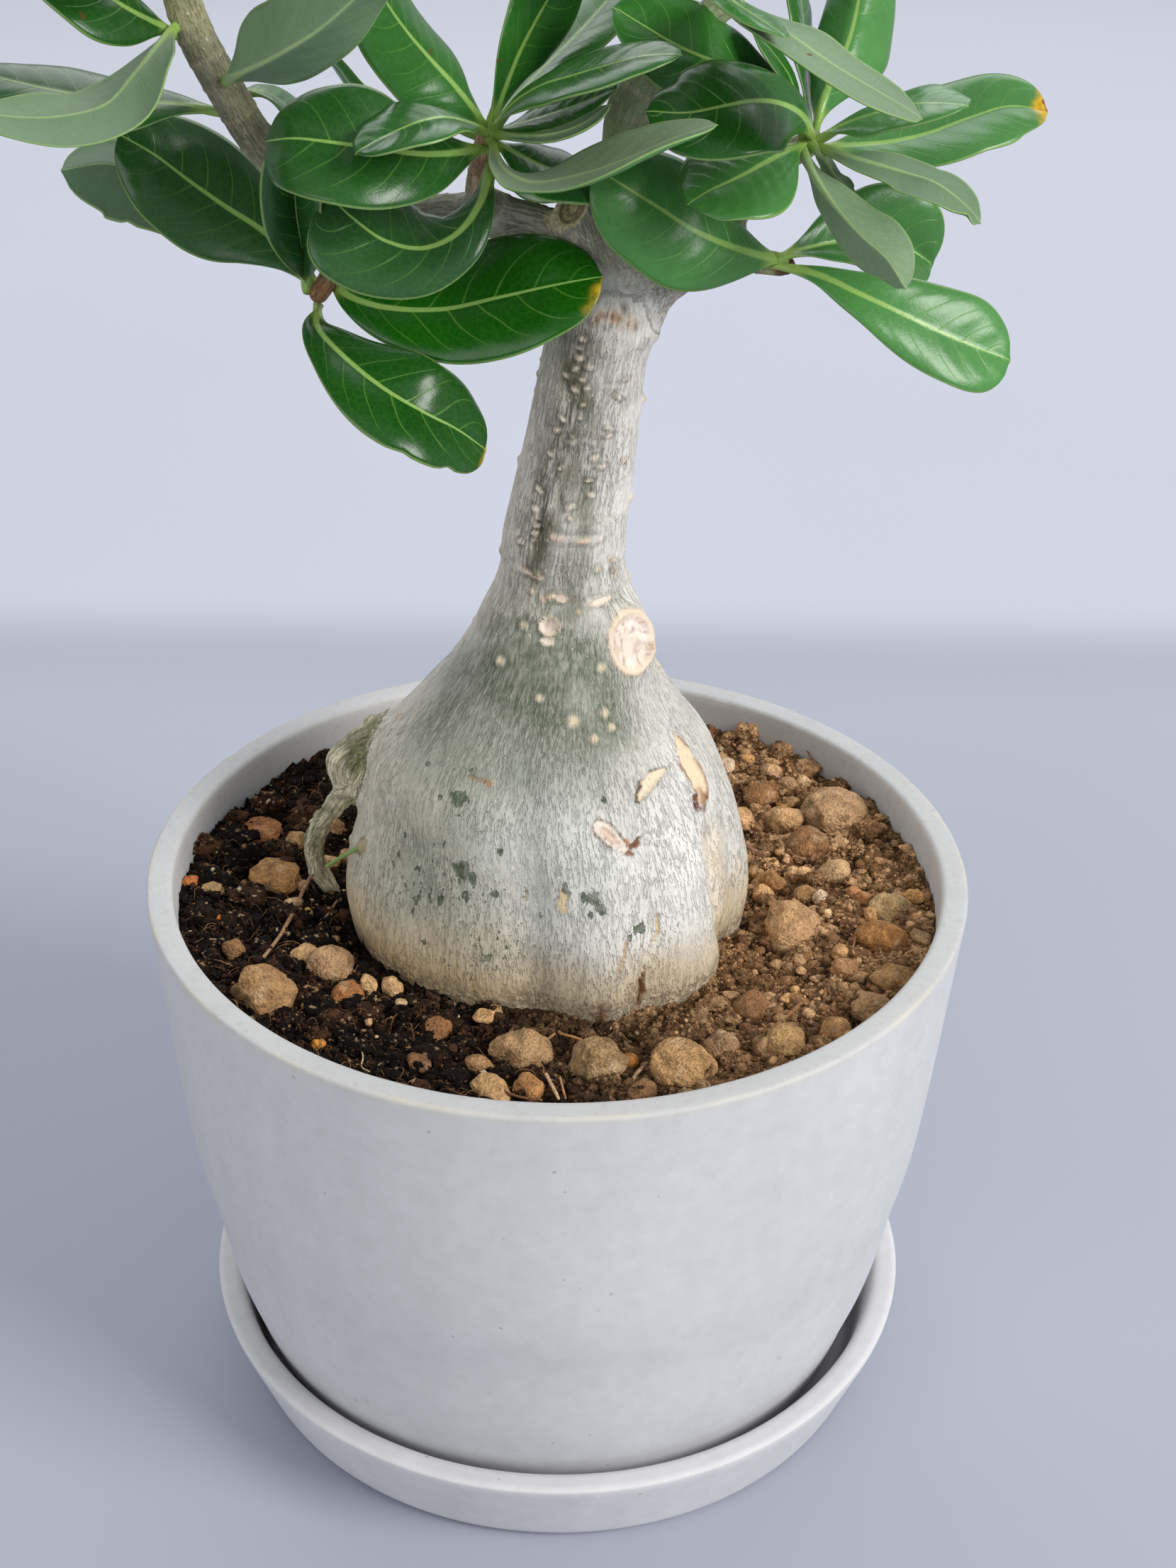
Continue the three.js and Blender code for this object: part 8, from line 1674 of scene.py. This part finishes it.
    ("leaf_right_1", 12, 0.6, 0,
     [[50.04, -0.1, 327.95], [44.3, -3.36, 334.2], [36.85, -10.59, 340.82], [29.36, -15.29, 344.98], [22.43, -14.94, 347.71], [15.63, -13.79, 351.21], [9.23, -13.5, 355.03]],
     [[-0.217, -0.858, -0.465], [-0.035, -0.733, -0.68], [0.199, -0.742, -0.641], [0.062, -0.879, -0.472], [-0.385, -0.84, -0.382], [-0.251, -0.892, -0.377], [-0.307, -0.898, -0.315]],
     [[0.382, 0.718, 0.582], [0.235, 0.611, 0.756], [-0.015, 0.639, 0.769], [0.042, 0.753, 0.656], [0.439, 0.695, 0.569], [0.344, 0.754, 0.559], [0.406, 0.766, 0.498]]),
    ("leaf_right_2", 12.5, 0.6, 0,
     [[50.6, -5.89, 327.97], [47.55, -13.81, 334.3], [42.18, -21.23, 338.75], [36.58, -26.08, 340.51], [30.42, -30.23, 340.54], [23.02, -32.69, 339.86], [15.87, -32.67, 340.09]],
     [[-0.452, -0.476, -0.754], [-0.167, -0.505, -0.847], [0.27, -0.616, -0.74], [0.403, -0.68, -0.613], [0.461, -0.698, -0.548], [0.162, -0.78, -0.604], [-0.182, -0.786, -0.591]],
     [[0.363, 0.524, 0.77], [0.072, 0.541, 0.838], [-0.34, 0.655, 0.675], [-0.449, 0.72, 0.53], [-0.478, 0.748, 0.46], [-0.166, 0.839, 0.519], [0.181, 0.844, 0.506]]),
    ("leaf_right_3", 12, 0.55, 0,
     [[48.92, -5.78, 326.42], [44.84, -10.28, 325.67], [40.45, -14.96, 324.78], [36.62, -18.82, 323.87], [32.64, -22.43, 323.1], [28.44, -25.71, 322.1], [24.74, -28.0, 320.46]],
     [[0.732, -0.611, -0.303], [0.728, -0.615, -0.304], [0.719, -0.624, -0.306], [0.694, -0.64, -0.331], [0.637, -0.674, -0.374], [0.611, -0.715, -0.338], [0.595, -0.734, -0.328]],
     [[-0.744, 0.638, 0.199], [-0.739, 0.643, 0.2], [-0.728, 0.655, 0.203], [-0.703, 0.674, 0.229], [-0.651, 0.709, 0.273], [-0.605, 0.76, 0.239], [-0.58, 0.781, 0.232]]),
    ("leaf_right_4", 12, 0.55, 0,
     [[51.92, -1.64, 329.12], [53.22, 0.42, 333.95], [55.8, 2.84, 339.43], [58.45, 7.45, 344.76], [60.36, 13.26, 350.16], [61.38, 17.79, 356.39], [61.33, 19.93, 362.39]],
     [[-0.599, 0.755, -0.268], [-0.577, 0.817, -0.027], [-0.599, 0.782, -0.171], [-0.652, 0.641, -0.404], [-0.623, 0.636, -0.456], [-0.559, 0.751, -0.353], [-0.546, 0.806, -0.231]],
     [[0.763, 0.438, -0.476], [0.813, 0.466, -0.348], [0.662, 0.376, -0.648], [0.711, 0.334, -0.619], [0.758, 0.339, -0.558], [0.823, 0.476, -0.311], [0.83, 0.553, -0.076]]),
    ("leaf_right_5", 11, 0.55, 0,
     [[50.74, 0.06, 327.75], [50.53, 5.55, 331.58], [50.29, 11.69, 335.95], [49.93, 15.52, 340.71], [49.28, 17.63, 346.06], [48.44, 19.69, 351.51], [47.73, 22.1, 355.99]],
     [[-0.336, -0.608, 0.719], [-0.349, -0.472, 0.81], [-0.324, -0.653, 0.684], [-0.305, -0.843, 0.443], [-0.287, -0.927, 0.243], [-0.304, -0.878, 0.37], [-0.314, -0.843, 0.436]],
     [[0.336, 0.608, -0.719], [0.349, 0.472, -0.81], [0.324, 0.653, -0.684], [0.305, 0.843, -0.443], [0.287, 0.927, -0.243], [0.304, 0.878, -0.37], [0.314, 0.843, -0.436]]),
    ("leaf_right_6", 8, 0.6, 0,
     [[49.04, -4.26, 328.85], [47.9, -5.18, 332.37], [46.53, -5.73, 336.45], [44.75, -5.87, 340.42], [42.1, -6.81, 344.08], [39.05, -9.34, 347.97], [36.37, -11.91, 351.43]],
     [[-0.107, -0.942, -0.317], [-0.14, -0.962, -0.234], [-0.169, -0.977, -0.127], [-0.113, -0.985, -0.133], [0.14, -0.928, -0.344], [0.23, -0.859, -0.458], [0.229, -0.864, -0.448]],
     [[0.107, 0.942, 0.317], [0.14, 0.962, 0.234], [0.169, 0.977, 0.127], [0.113, 0.985, 0.133], [-0.14, 0.928, 0.344], [-0.23, 0.859, 0.458], [-0.229, 0.864, 0.448]]),
    ("leaf_right_7", 12, 0.62, 0,
     [[53.8, -3.0, 324.84], [60.32, 0.14, 324.19], [68.43, 3.47, 324.0], [76.93, 6.8, 324.98], [85.34, 9.8, 327.32], [94.1, 11.65, 329.46], [101.82, 12.0, 328.62]],
     [[-0.307, 0.747, 0.589], [-0.299, 0.764, 0.572], [-0.329, 0.786, 0.523], [-0.418, 0.791, 0.446], [-0.367, 0.816, 0.447], [-0.185, 0.82, 0.542], [0.186, 0.795, 0.577]],
     [[0.386, -0.853, -0.35], [0.363, -0.871, -0.33], [0.362, -0.891, -0.274], [0.403, -0.894, -0.194], [0.322, -0.925, -0.202], [0.169, -0.939, -0.298], [-0.122, -0.929, -0.349]]),
    ("leaf_right_8", 9, 0.6, 0,
     [[52.6, -5.41, 327.72], [56.48, -7.14, 330.42], [60.92, -10.05, 333.16], [65.35, -13.61, 335.61], [69.87, -17.21, 337.88], [74.73, -20.87, 339.03], [78.99, -24.0, 339.63]],
     [[0.232, 0.936, 0.265], [0.274, 0.921, 0.276], [0.462, 0.826, 0.323], [0.486, 0.819, 0.306], [0.535, 0.808, 0.248], [0.568, 0.806, 0.169], [0.569, 0.806, 0.161]],
     [[-0.212, -0.932, -0.293], [-0.254, -0.918, -0.303], [-0.444, -0.824, -0.352], [-0.468, -0.817, -0.336], [-0.521, -0.806, -0.28], [-0.561, -0.803, -0.203], [-0.562, -0.804, -0.195]]),
    ("leaf_right_9", 9, 0.6, 1,
     [[52.1, -5.96, 325.43], [57.02, -12.74, 325.89], [63.16, -15.05, 324.83], [69.03, -16.63, 323.6], [74.59, -19.65, 322.67], [79.74, -22.33, 319.77], [83.8, -24.0, 316.17]],
     [[0.827, 0.558, 0.066], [0.731, 0.681, 0.031], [0.167, 0.981, 0.096], [0.389, 0.921, 0.024], [0.518, 0.854, -0.048], [0.375, 0.927, -0.02], [0.374, 0.927, -0.019]],
     [[-0.811, -0.556, -0.182], [-0.723, -0.676, -0.141], [-0.189, -0.961, -0.202], [-0.403, -0.906, -0.128], [-0.535, -0.843, -0.054], [-0.433, -0.899, -0.062], [-0.433, -0.899, -0.063]]),
    ("leaf_right_10", 3, 0.5, 1,
     [[51.12, -6.28, 325.71], [52.29, -7.76, 324.72], [53.7, -8.01, 322.97], [54.83, -9.0, 320.91], [56.57, -10.99, 319.66], [58.3, -12.55, 318.5], [59.87, -12.77, 317.23]],
     [[0.864, 0.462, -0.2], [0.539, 0.696, 0.475], [0.567, 0.816, 0.117], [0.649, 0.75, -0.131], [0.796, 0.595, 0.11], [0.487, 0.862, 0.139], [0.205, 0.94, 0.274]],
     [[-0.864, -0.462, 0.2], [-0.539, -0.696, -0.475], [-0.567, -0.816, -0.117], [-0.649, -0.75, 0.131], [-0.796, -0.595, -0.11], [-0.487, -0.862, -0.139], [-0.205, -0.94, -0.274]]),
    ("leaf_right_11", 9.5, 0.65, 1,
     [[49.0, -5.71, 324.9], [49.97, -13.21, 323.4], [51.75, -21.27, 321.79], [54.79, -27.75, 319.23], [58.81, -33.36, 316.17], [63.89, -37.69, 312.79], [67.57, -40.0, 307.96]],
     [[0.944, 0.169, -0.285], [0.949, 0.201, -0.244], [0.929, 0.336, -0.156], [0.843, 0.532, -0.077], [0.745, 0.662, 0.082], [0.652, 0.75, 0.11], [0.634, 0.763, 0.122]],
     [[0.081, 0.205, -0.975], [0.114, 0.216, -0.97], [0.159, 0.277, -0.948], [0.067, 0.498, -0.864], [0.13, 0.543, -0.83], [-0.166, 0.754, -0.635], [-0.245, 0.799, -0.549]]),
    ("leaf_right_low_1", 13.3, 0.55, 0,
     [[45.71, -2.63, 300.45], [39.98, -6.56, 303.03], [32.96, -10.04, 306.47], [25.96, -12.63, 310.49], [19.35, -14.79, 315.34], [12.33, -15.85, 319.96], [6.1, -16.0, 323.7]],
     [[-0.118, -0.417, -0.901], [-0.161, -0.408, -0.899], [-0.282, -0.403, -0.871], [-0.42, -0.386, -0.821], [-0.471, -0.378, -0.797], [-0.468, -0.383, -0.796], [-0.469, -0.385, -0.795]],
     [[-0.158, 0.69, 0.707], [-0.106, 0.695, 0.711], [0.058, 0.727, 0.685], [0.191, 0.721, 0.666], [0.267, 0.725, 0.634], [0.314, 0.738, 0.597], [0.35, 0.74, 0.574]]),
    ("leaf_right_low_2", 12.8, 0.72, 0,
     [[46.58, -1.83, 301.08], [51.23, 1.95, 301.1], [56.94, 5.98, 300.98], [63.08, 9.34, 300.53], [69.52, 11.97, 299.63], [75.73, 13.73, 296.99], [80.72, 14.7, 293.77]],
     [[-0.232, 0.24, 0.942], [-0.188, 0.256, 0.948], [-0.123, 0.245, 0.962], [-0.008, 0.238, 0.971], [0.153, 0.199, 0.968], [0.501, 0.139, 0.854], [0.513, 0.116, 0.85]],
     [[0.606, -0.777, -0.171], [0.624, -0.76, -0.185], [0.517, -0.825, -0.23], [0.389, -0.877, -0.283], [0.246, -0.901, -0.356], [-0.046, -0.918, -0.394], [-0.065, -0.91, -0.409]]),
    ("leaf_right_low_3", 10.5, 0.78, 0,
     [[46.15, -3.04, 299.31], [54.08, -5.87, 298.15], [62.94, -8.35, 294.88], [71.76, -9.1, 291.07], [80.43, -8.58, 286.89], [88.99, -6.9, 282.79], [96.35, -5.0, 279.53]],
     [[0.276, 0.557, 0.783], [0.393, 0.534, 0.749], [0.391, 0.536, 0.748], [0.362, 0.538, 0.762], [0.314, 0.54, 0.781], [0.238, 0.545, 0.804], [0.194, 0.55, 0.812]],
     [[-0.317, -0.707, -0.632], [-0.405, -0.691, -0.599], [-0.366, -0.703, -0.61], [-0.305, -0.707, -0.638], [-0.236, -0.708, -0.666], [-0.145, -0.707, -0.692], [-0.103, -0.71, -0.697]]),
]

# name: (paleness, partly painted light on the right-hand leaves, yellow tip, how strongly the blade waves)
TRAITS = {
    "leaf_middle_1": (0.25, 0.0, 0.5), "leaf_right_low_3": (0.62, 0.0, 0.8), "leaf_right_7": (0.62, 1.0, 1.0), "leaf_right_low_2": (0.5, 0.0, 0.6),
    "leaf_left_low_4": (0.05, 0.62, 0.9), "leaf_left_low_5": (0.0, 0.25, 0.6), "leaf_left_top_5": (0.8, 0.0, 0.3), "leaf_middle_13": (0.8, 0.0, 0.3),
    "leaf_right_4": (0.6, 0.0, 0.6), "leaf_right_low_1": (0.5, 0.0, 0.8), "leaf_right_3": (0.45, 0.0, 0.8), "leaf_right_8": (0.6, 0.0, 0.8), "leaf_right_2": (0.12, 0.0, 0.8), "leaf_left_low_1": (0.0, 0.0, 0.8), "leaf_right_1": (0.2, 0.0, 0.7), "leaf_left_top_3": (0.25, 0.25, 0.8),
    "leaf_middle_11": (0.5, 0.0, 0.8), "leaf_middle_12": (0.7, 0.0, 0.8), "leaf_top_1": (0.5, 0.0, 0.6), "leaf_right_9": (0.1, 0.2, 1.2),
}
# the leaves that lie in shade under a sky sheen: painted shade and painted reflection turn them dull grey-green
SHADE_SHEEN = {"leaf_middle_1": 0.85, "leaf_left_low_2": 0.75, "leaf_middle_2": 0.55, "leaf_middle_3": 0.35, "leaf_left_top_3": 0.45, "leaf_left_low_3": 0.6, "leaf_middle_6": 0.3, "leaf_middle_8": 0.3, "leaf_middle_10": 0.4, "leaf_middle_5": 0.2}
# name: (side, share of the length, depth as a share of the half width, length as a share)
NOTCHES = {"leaf_left_low_4": [(1, 0.80, 0.10, 0.030), (1, 0.66, 0.05, 0.02)], "leaf_right_9": [(1, 0.93, 0.55, 0.045), (-1, 0.60, 0.08, 0.03)], "leaf_left_top_3": [(-1, 0.62, 0.07, 0.02)],
           "leaf_left_low_1": [(-1, 0.7, 0.06, 0.02)]}


def blade_width(t, widest):
    s = np.clip(t / widest, 0, 1)
    a = 0.06 + 0.94 * np.sin(np.pi / 2 * s) ** 1.5
    r = np.clip((t - widest) / (1 - widest), 0, 1)
    b = np.sqrt(np.clip(1 - r ** 2.2, 0, 1))
    return np.where(t < widest, a, b)


def through(rows, t):
    """Smooth values at t of rows given at the stations."""
    X = np.asarray(rows, float)
    m = np.gradient(X, STATIONS, axis=0)
    k = np.clip(np.searchsorted(STATIONS, t, "right") - 1, 0, len(STATIONS) - 2)
    h = (STATIONS[k + 1] - STATIONS[k])[:, None]
    f = ((t - STATIONS[k]) / h[:, 0])[:, None]
    return (2 * f ** 3 - 3 * f ** 2 + 1) * X[k] + (f ** 3 - 2 * f ** 2 + f) * h * m[k] + (3 * f ** 2 - 2 * f ** 3) * X[k + 1] + (f ** 3 - f ** 2) * h * m[k + 1]


def leaf(i, name, width, widest, shade, spine, left, right):
    rnd = ((i * 0.6180339) % 1.0)
    pale_lit, tip, wave = TRAITS.get(name, (0.10 + 0.22 * ((i * 0.377) % 1.0), 0.0, 0.8))
    nt, nu = 50, 23
    x = np.linspace(0, 1, nt)
    t = 0.55 * x + 0.45 * np.sin(np.pi / 2 * x) ** 1.3
    t = np.minimum(t, 0.9985)
    S, L, R = through(spine, t), unit(through(left, t)), unit(through(right, t))
    w = np.maximum(blade_width(t, widest) * width, 0.35)
    w = np.where(t < 0.12, np.maximum(w, 0.75), w)
    T = unit(np.gradient(S, axis=0))
    # into the wood at the base, and a small point at the tip
    S = np.vstack([S[0] - T[0] * 2.2, S[0] - T[0] * 1.0, S, S[-1] + T[-1] * 0.45])
    L, R = np.vstack([L[0], L[0], L, L[-1]]), np.vstack([R[0], R[0], R, R[-1]])
    w = np.r_[w[0] * 1.5, w[0] * 1.15, w, 0.10]
    t = np.r_[0, 0, t, 1.0]
    T = unit(np.gradient(S, axis=0))
    L = unit(L - (L * T).sum(1, keepdims=True) * T)
    R = unit(R - (R * T).sum(1, keepdims=True) * T)
    m = len(t)
    u = np.linspace(-1, 1, nu)
    u = np.sign(u) * np.abs(u) ** 0.92
    a = np.abs(u)
    e = 0.13
    sp, sm = 0.5 * (u + np.sqrt(u * u + e * e)), 0.5 * (-u + np.sqrt(u * u + e * e))
    keep = (t > 0.1) & (t < 0.97)
    wl = w * (1 + 0.035 * noise(np.c_[t * 5, np.full(m, i * 1.7), np.zeros(m)], 1.0, 11) * keep)
    wr = w * (1 + 0.035 * noise(np.c_[t * 5, np.full(m, i * 2.9), np.ones(m)], 1.0, 12) * keep)
    for side, t0, deep, wide in NOTCHES.get(name, []):
        cut = 1 - deep * np.exp(-((t - t0) / wide) ** 2)
        if side < 0:
            wl = wl * cut
        else:
            wr = wr * cut
    P = S[:, None] + L[:, None] * (sm[None, :, None] * wl[:, None, None]) + R[:, None] * (sp[None, :, None] * wr[:, None, None])

    def normals(P):
        return unit(np.cross(np.gradient(P, axis=1), np.gradient(P, axis=0)))
    N = normals(P)
    up = np.cross(R - L, T)
    flip = np.sign((N * up[:, None]).sum(2).mean())
    N = N * flip
    top = 1.0 if shade == 0 else -1.0                     # which way the upper side looks along N
    body = smooth(0.02, 0.18, t)
    arch = 0.115 * w * body
    phase = 6.28 * rnd
    live = (smooth(0.12, 0.3, t) * smooth(1.0, 0.9, t))[:, None]
    lift = top * arch[:, None] * (a - a ** 2)[None] * 1.6
    lift = lift + wave * 0.040 * width * live * (a ** 2.2)[None] * np.where(u < 0, np.sin(6.28 * 1.9 * t[:, None] + phase), np.sin(6.28 * 2.3 * t[:, None] + 2.1 + 1.7 * phase))
    lift = lift - top * 0.05 * width * live * (a ** 7)[None]
    dd = a[None] * w[:, None]
    q = (t[:, None] - 0.13 * a - 0.10 * a ** 3) * 8.6 + 0.47 * (u > 0) + (0.5 + rnd) * 0.85
    relief = -np.cos(6.2832 * (q - 0.5)) * smooth(0.06, 0.25, a)[None] * smooth(0.97, 0.75, a)[None] * live
    lift = lift + top * 0.065 * relief * min(1.0, width / 11)
    P = P + N * lift[:, :, None]
    N = normals(P)
    N = N * np.sign((N * up[:, None]).sum(2).mean())
    stalk = smooth(0.16, 0.0, t)
    half = 0.17 + 0.14 * (1 - a ** 2)[None] + 0.40 * stalk[:, None] * (1 - 0.35 * a)[None]
    ridge = (0.95 - 0.80 * t)[:, None] * np.exp(-(dd / (0.80 - 0.35 * t)[:, None]) ** 2) * smooth(1.0, 0.93, t)[:, None]
    tips = smooth(0.0, 0.02, 1.001 - t)[:, None] * 0.6 + 0.4
    hu = (half + 0.07 * ridge) * tips                      # upper side
    hd = (half + 0.80 * ridge) * tips                      # underside with its standing midrib
    near_, far_ = (hu, hd) if shade == 0 else (hd, hu)
    A, B = P + N * near_[:, :, None], P - N * far_[:, :, None]
    under_a = 0.0 if shade == 0 else 1.0
    loop = np.concatenate([A, B[:, ::-1]], 1)
    k = 2 * nu
    V = loop.reshape(-1, 3)
    j = np.arange(k)
    j2 = (j + 1) % k
    F = [np.c_[r * k + j, (r + 1) * k + j, (r + 1) * k + j2, r * k + j2] for r in range(m - 1)]
    jj = np.arange(nu - 1)
    F.append(np.c_[jj, jj + 1, k - 2 - jj, k - 1 - jj])
    b = (m - 1) * k
    F.append(np.c_[b + jj + 1, b + jj, b + k - 1 - jj, b + k - 2 - jj])
    F = np.vstack(F)
    # point outward
    c0 = V[F[:, 0]]
    vol = (c0 * np.cross(V[F[:, 1]], V[F[:, 2]])).sum() + (c0 * np.cross(V[F[:, 2]], V[F[:, 3]])).sum()
    if vol < 0:
        F = F[:, ::-1]
    uu = np.concatenate([np.tile(u, (m, 1)), np.tile(u[::-1], (m, 1))], 1).ravel()
    tt = np.repeat(t, k)
    un = np.tile(np.r_[np.full(nu, under_a), np.full(nu, 1 - under_a)], m)
    full = np.repeat(w, k)
    one = np.ones(len(V))
    tipv = tip * smooth(0.915, 0.995, tt + 0.03 * noise(V, 3, 21)) * (0.75 + 0.45 * np.clip(-uu, -0.5, 1))
    if name == "leaf_left_low_4":
        tipv = 0.62 * smooth(0.93, 1.0, tt + 0.02 * noise(V, 3, 22)) * smooth(-0.1, 0.8, uu) + 0.5 * smooth(0.985, 1.0, tt)
    if name == "leaf_left_low_5":
        tipv = 0.56 * smooth(0.915, 1.0, tt + 0.03 * noise(V, 3, 22)) * smooth(-0.05, 0.8, uu)
    o = make(name + "_blade", V, [F], LEAF_MAT, "leaf", (("along", "FLOAT", tt), ("across", "FLOAT", uu), ("underside", "FLOAT", un), ("rnd", "FLOAT", one * rnd), ("half", "FLOAT", full),
             ("pale_lit", "FLOAT", one * pale_lit), ("shade_sheen", "FLOAT", one * SHADE_SHEEN.get(name, 0.0)), ("tip", "FLOAT", np.clip(tipv, 0, 1))))
    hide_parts(name)
    return o


for i, row in enumerate(LEAVES):
    leaf(i, *row)

# ---------------------------------------------------------------- stage
a = np.linspace(0, 2 * np.pi, 96, endpoint=False)
rad = np.array([0, 0.15, 0.3, 0.45, 0.6, 0.8, 1.1, 1.6, 2.4, 4.0, 8.0]) * 1000
V = np.vstack([[0, 0, 0]] + [np.c_[r0 * np.cos(a), r0 * np.sin(a), np.zeros(96)] for r0 in rad[1:]])
V[:, 2] = -0.02
j = np.arange(96)
k = (j + 1) % 96
F = [np.c_[np.zeros(96, int), 1 + j, 1 + k]] + [np.c_[1 + (i - 1) * 96 + j, 1 + i * 96 + j, 1 + i * 96 + k, 1 + (i - 1) * 96 + k] for i in range(1, len(rad) - 1)]
m = Nodes("pale_floor")
p = m.place()
yy = m.put("ShaderNodeSeparateXYZ", {0: p}).outputs[1]
xx = m.put("ShaderNodeSeparateXYZ", {0: p}).outputs[0]
near_c, far_c = srgb(168, 172, 185), srgb(190, 193, 205)
soft = m.noise(p, 3.0, 2.0)
col = m.blend(m.ramp(yy, -0.2, 0.36), srgb(162, 166, 180), near_c)
col = m.blend(m.ramp(yy, 0.37, 0.44), col, far_c)
col = m.blend(m.ramp(yy, 0.55, 2.2), col, srgb(212, 215, 226))
# painted shadow: a darker band across the floor where the foot of the wall would be
col = m.blend(m.math("MULTIPLY", m.math("MULTIPLY", m.ramp(yy, 0.33, 0.385), m.ramp(yy, 0.42, 0.39)), 0.22), col, srgb(150, 154, 168))
col = m.scale_colour(col, m.ramp(soft, 0.3, 0.7, 0.985, 1.015, "LINEAR"))
floor_mat = m.finish(col, 0.62, None, Specular_IOR_Level=0.2)
floor = make("floor", V, F, floor_mat)

world = bpy.data.worlds.new("studio")
bpy.context.scene.world = world
world.use_nodes = True
bg = world.node_tree.nodes["Background"]
bg.inputs[0].default_value = (*srgb(235, 237, 241), 1)
bg.inputs[1].default_value = 0.60


def area(name, at, aim, size, power, colour):
    d = bpy.data.lights.new(name, "AREA")
    d.shape = "RECTANGLE"
    d.size, d.size_y = size
    d.energy = power
    d.color = colour
    o = bpy.data.objects.new(name, d)
    o.location = at
    o.rotation_mode = "QUATERNION"
    o.rotation_quaternion = (Vector(aim) - Vector(at)).to_track_quat("-Z", "Y")
    bpy.context.scene.collection.objects.link(o)
    return o


area("key", (1.9, -1.15, 1.55), (0, 0, 0.18), (1.1, 1.1), 62, (1.0, 0.985, 0.96))
area("top", (-0.1, 1.25, 1.25), (0, 0, 0.25), (1.9, 1.0), 12, (0.96, 0.98, 1.0))
area("front", (-0.95, -1.5, 0.85), (0, 0, 0.14), (1.4, 1.0), 9.5, (1.0, 0.99, 0.965))

cd = bpy.data.cameras.new("view")
cd.sensor_width = 36.0
cd.lens = FOCAL * 36.0 / 2212.0
cd.clip_start, cd.clip_end = 0.02, 60
cam = bpy.data.objects.new("view", cd)
bpy.context.scene.collection.objects.link(cam)
M = Matrix.Identity(4)
for r_i in range(3):
    M[r_i][0], M[r_i][1], M[r_i][2], M[r_i][3] = RIGHT[r_i], -DOWN[r_i], -FORWARD[r_i], EYE[r_i] * MM
cam.matrix_world = M
bpy.context.scene.camera = cam
bpy.context.scene.view_settings.view_transform = "Standard"
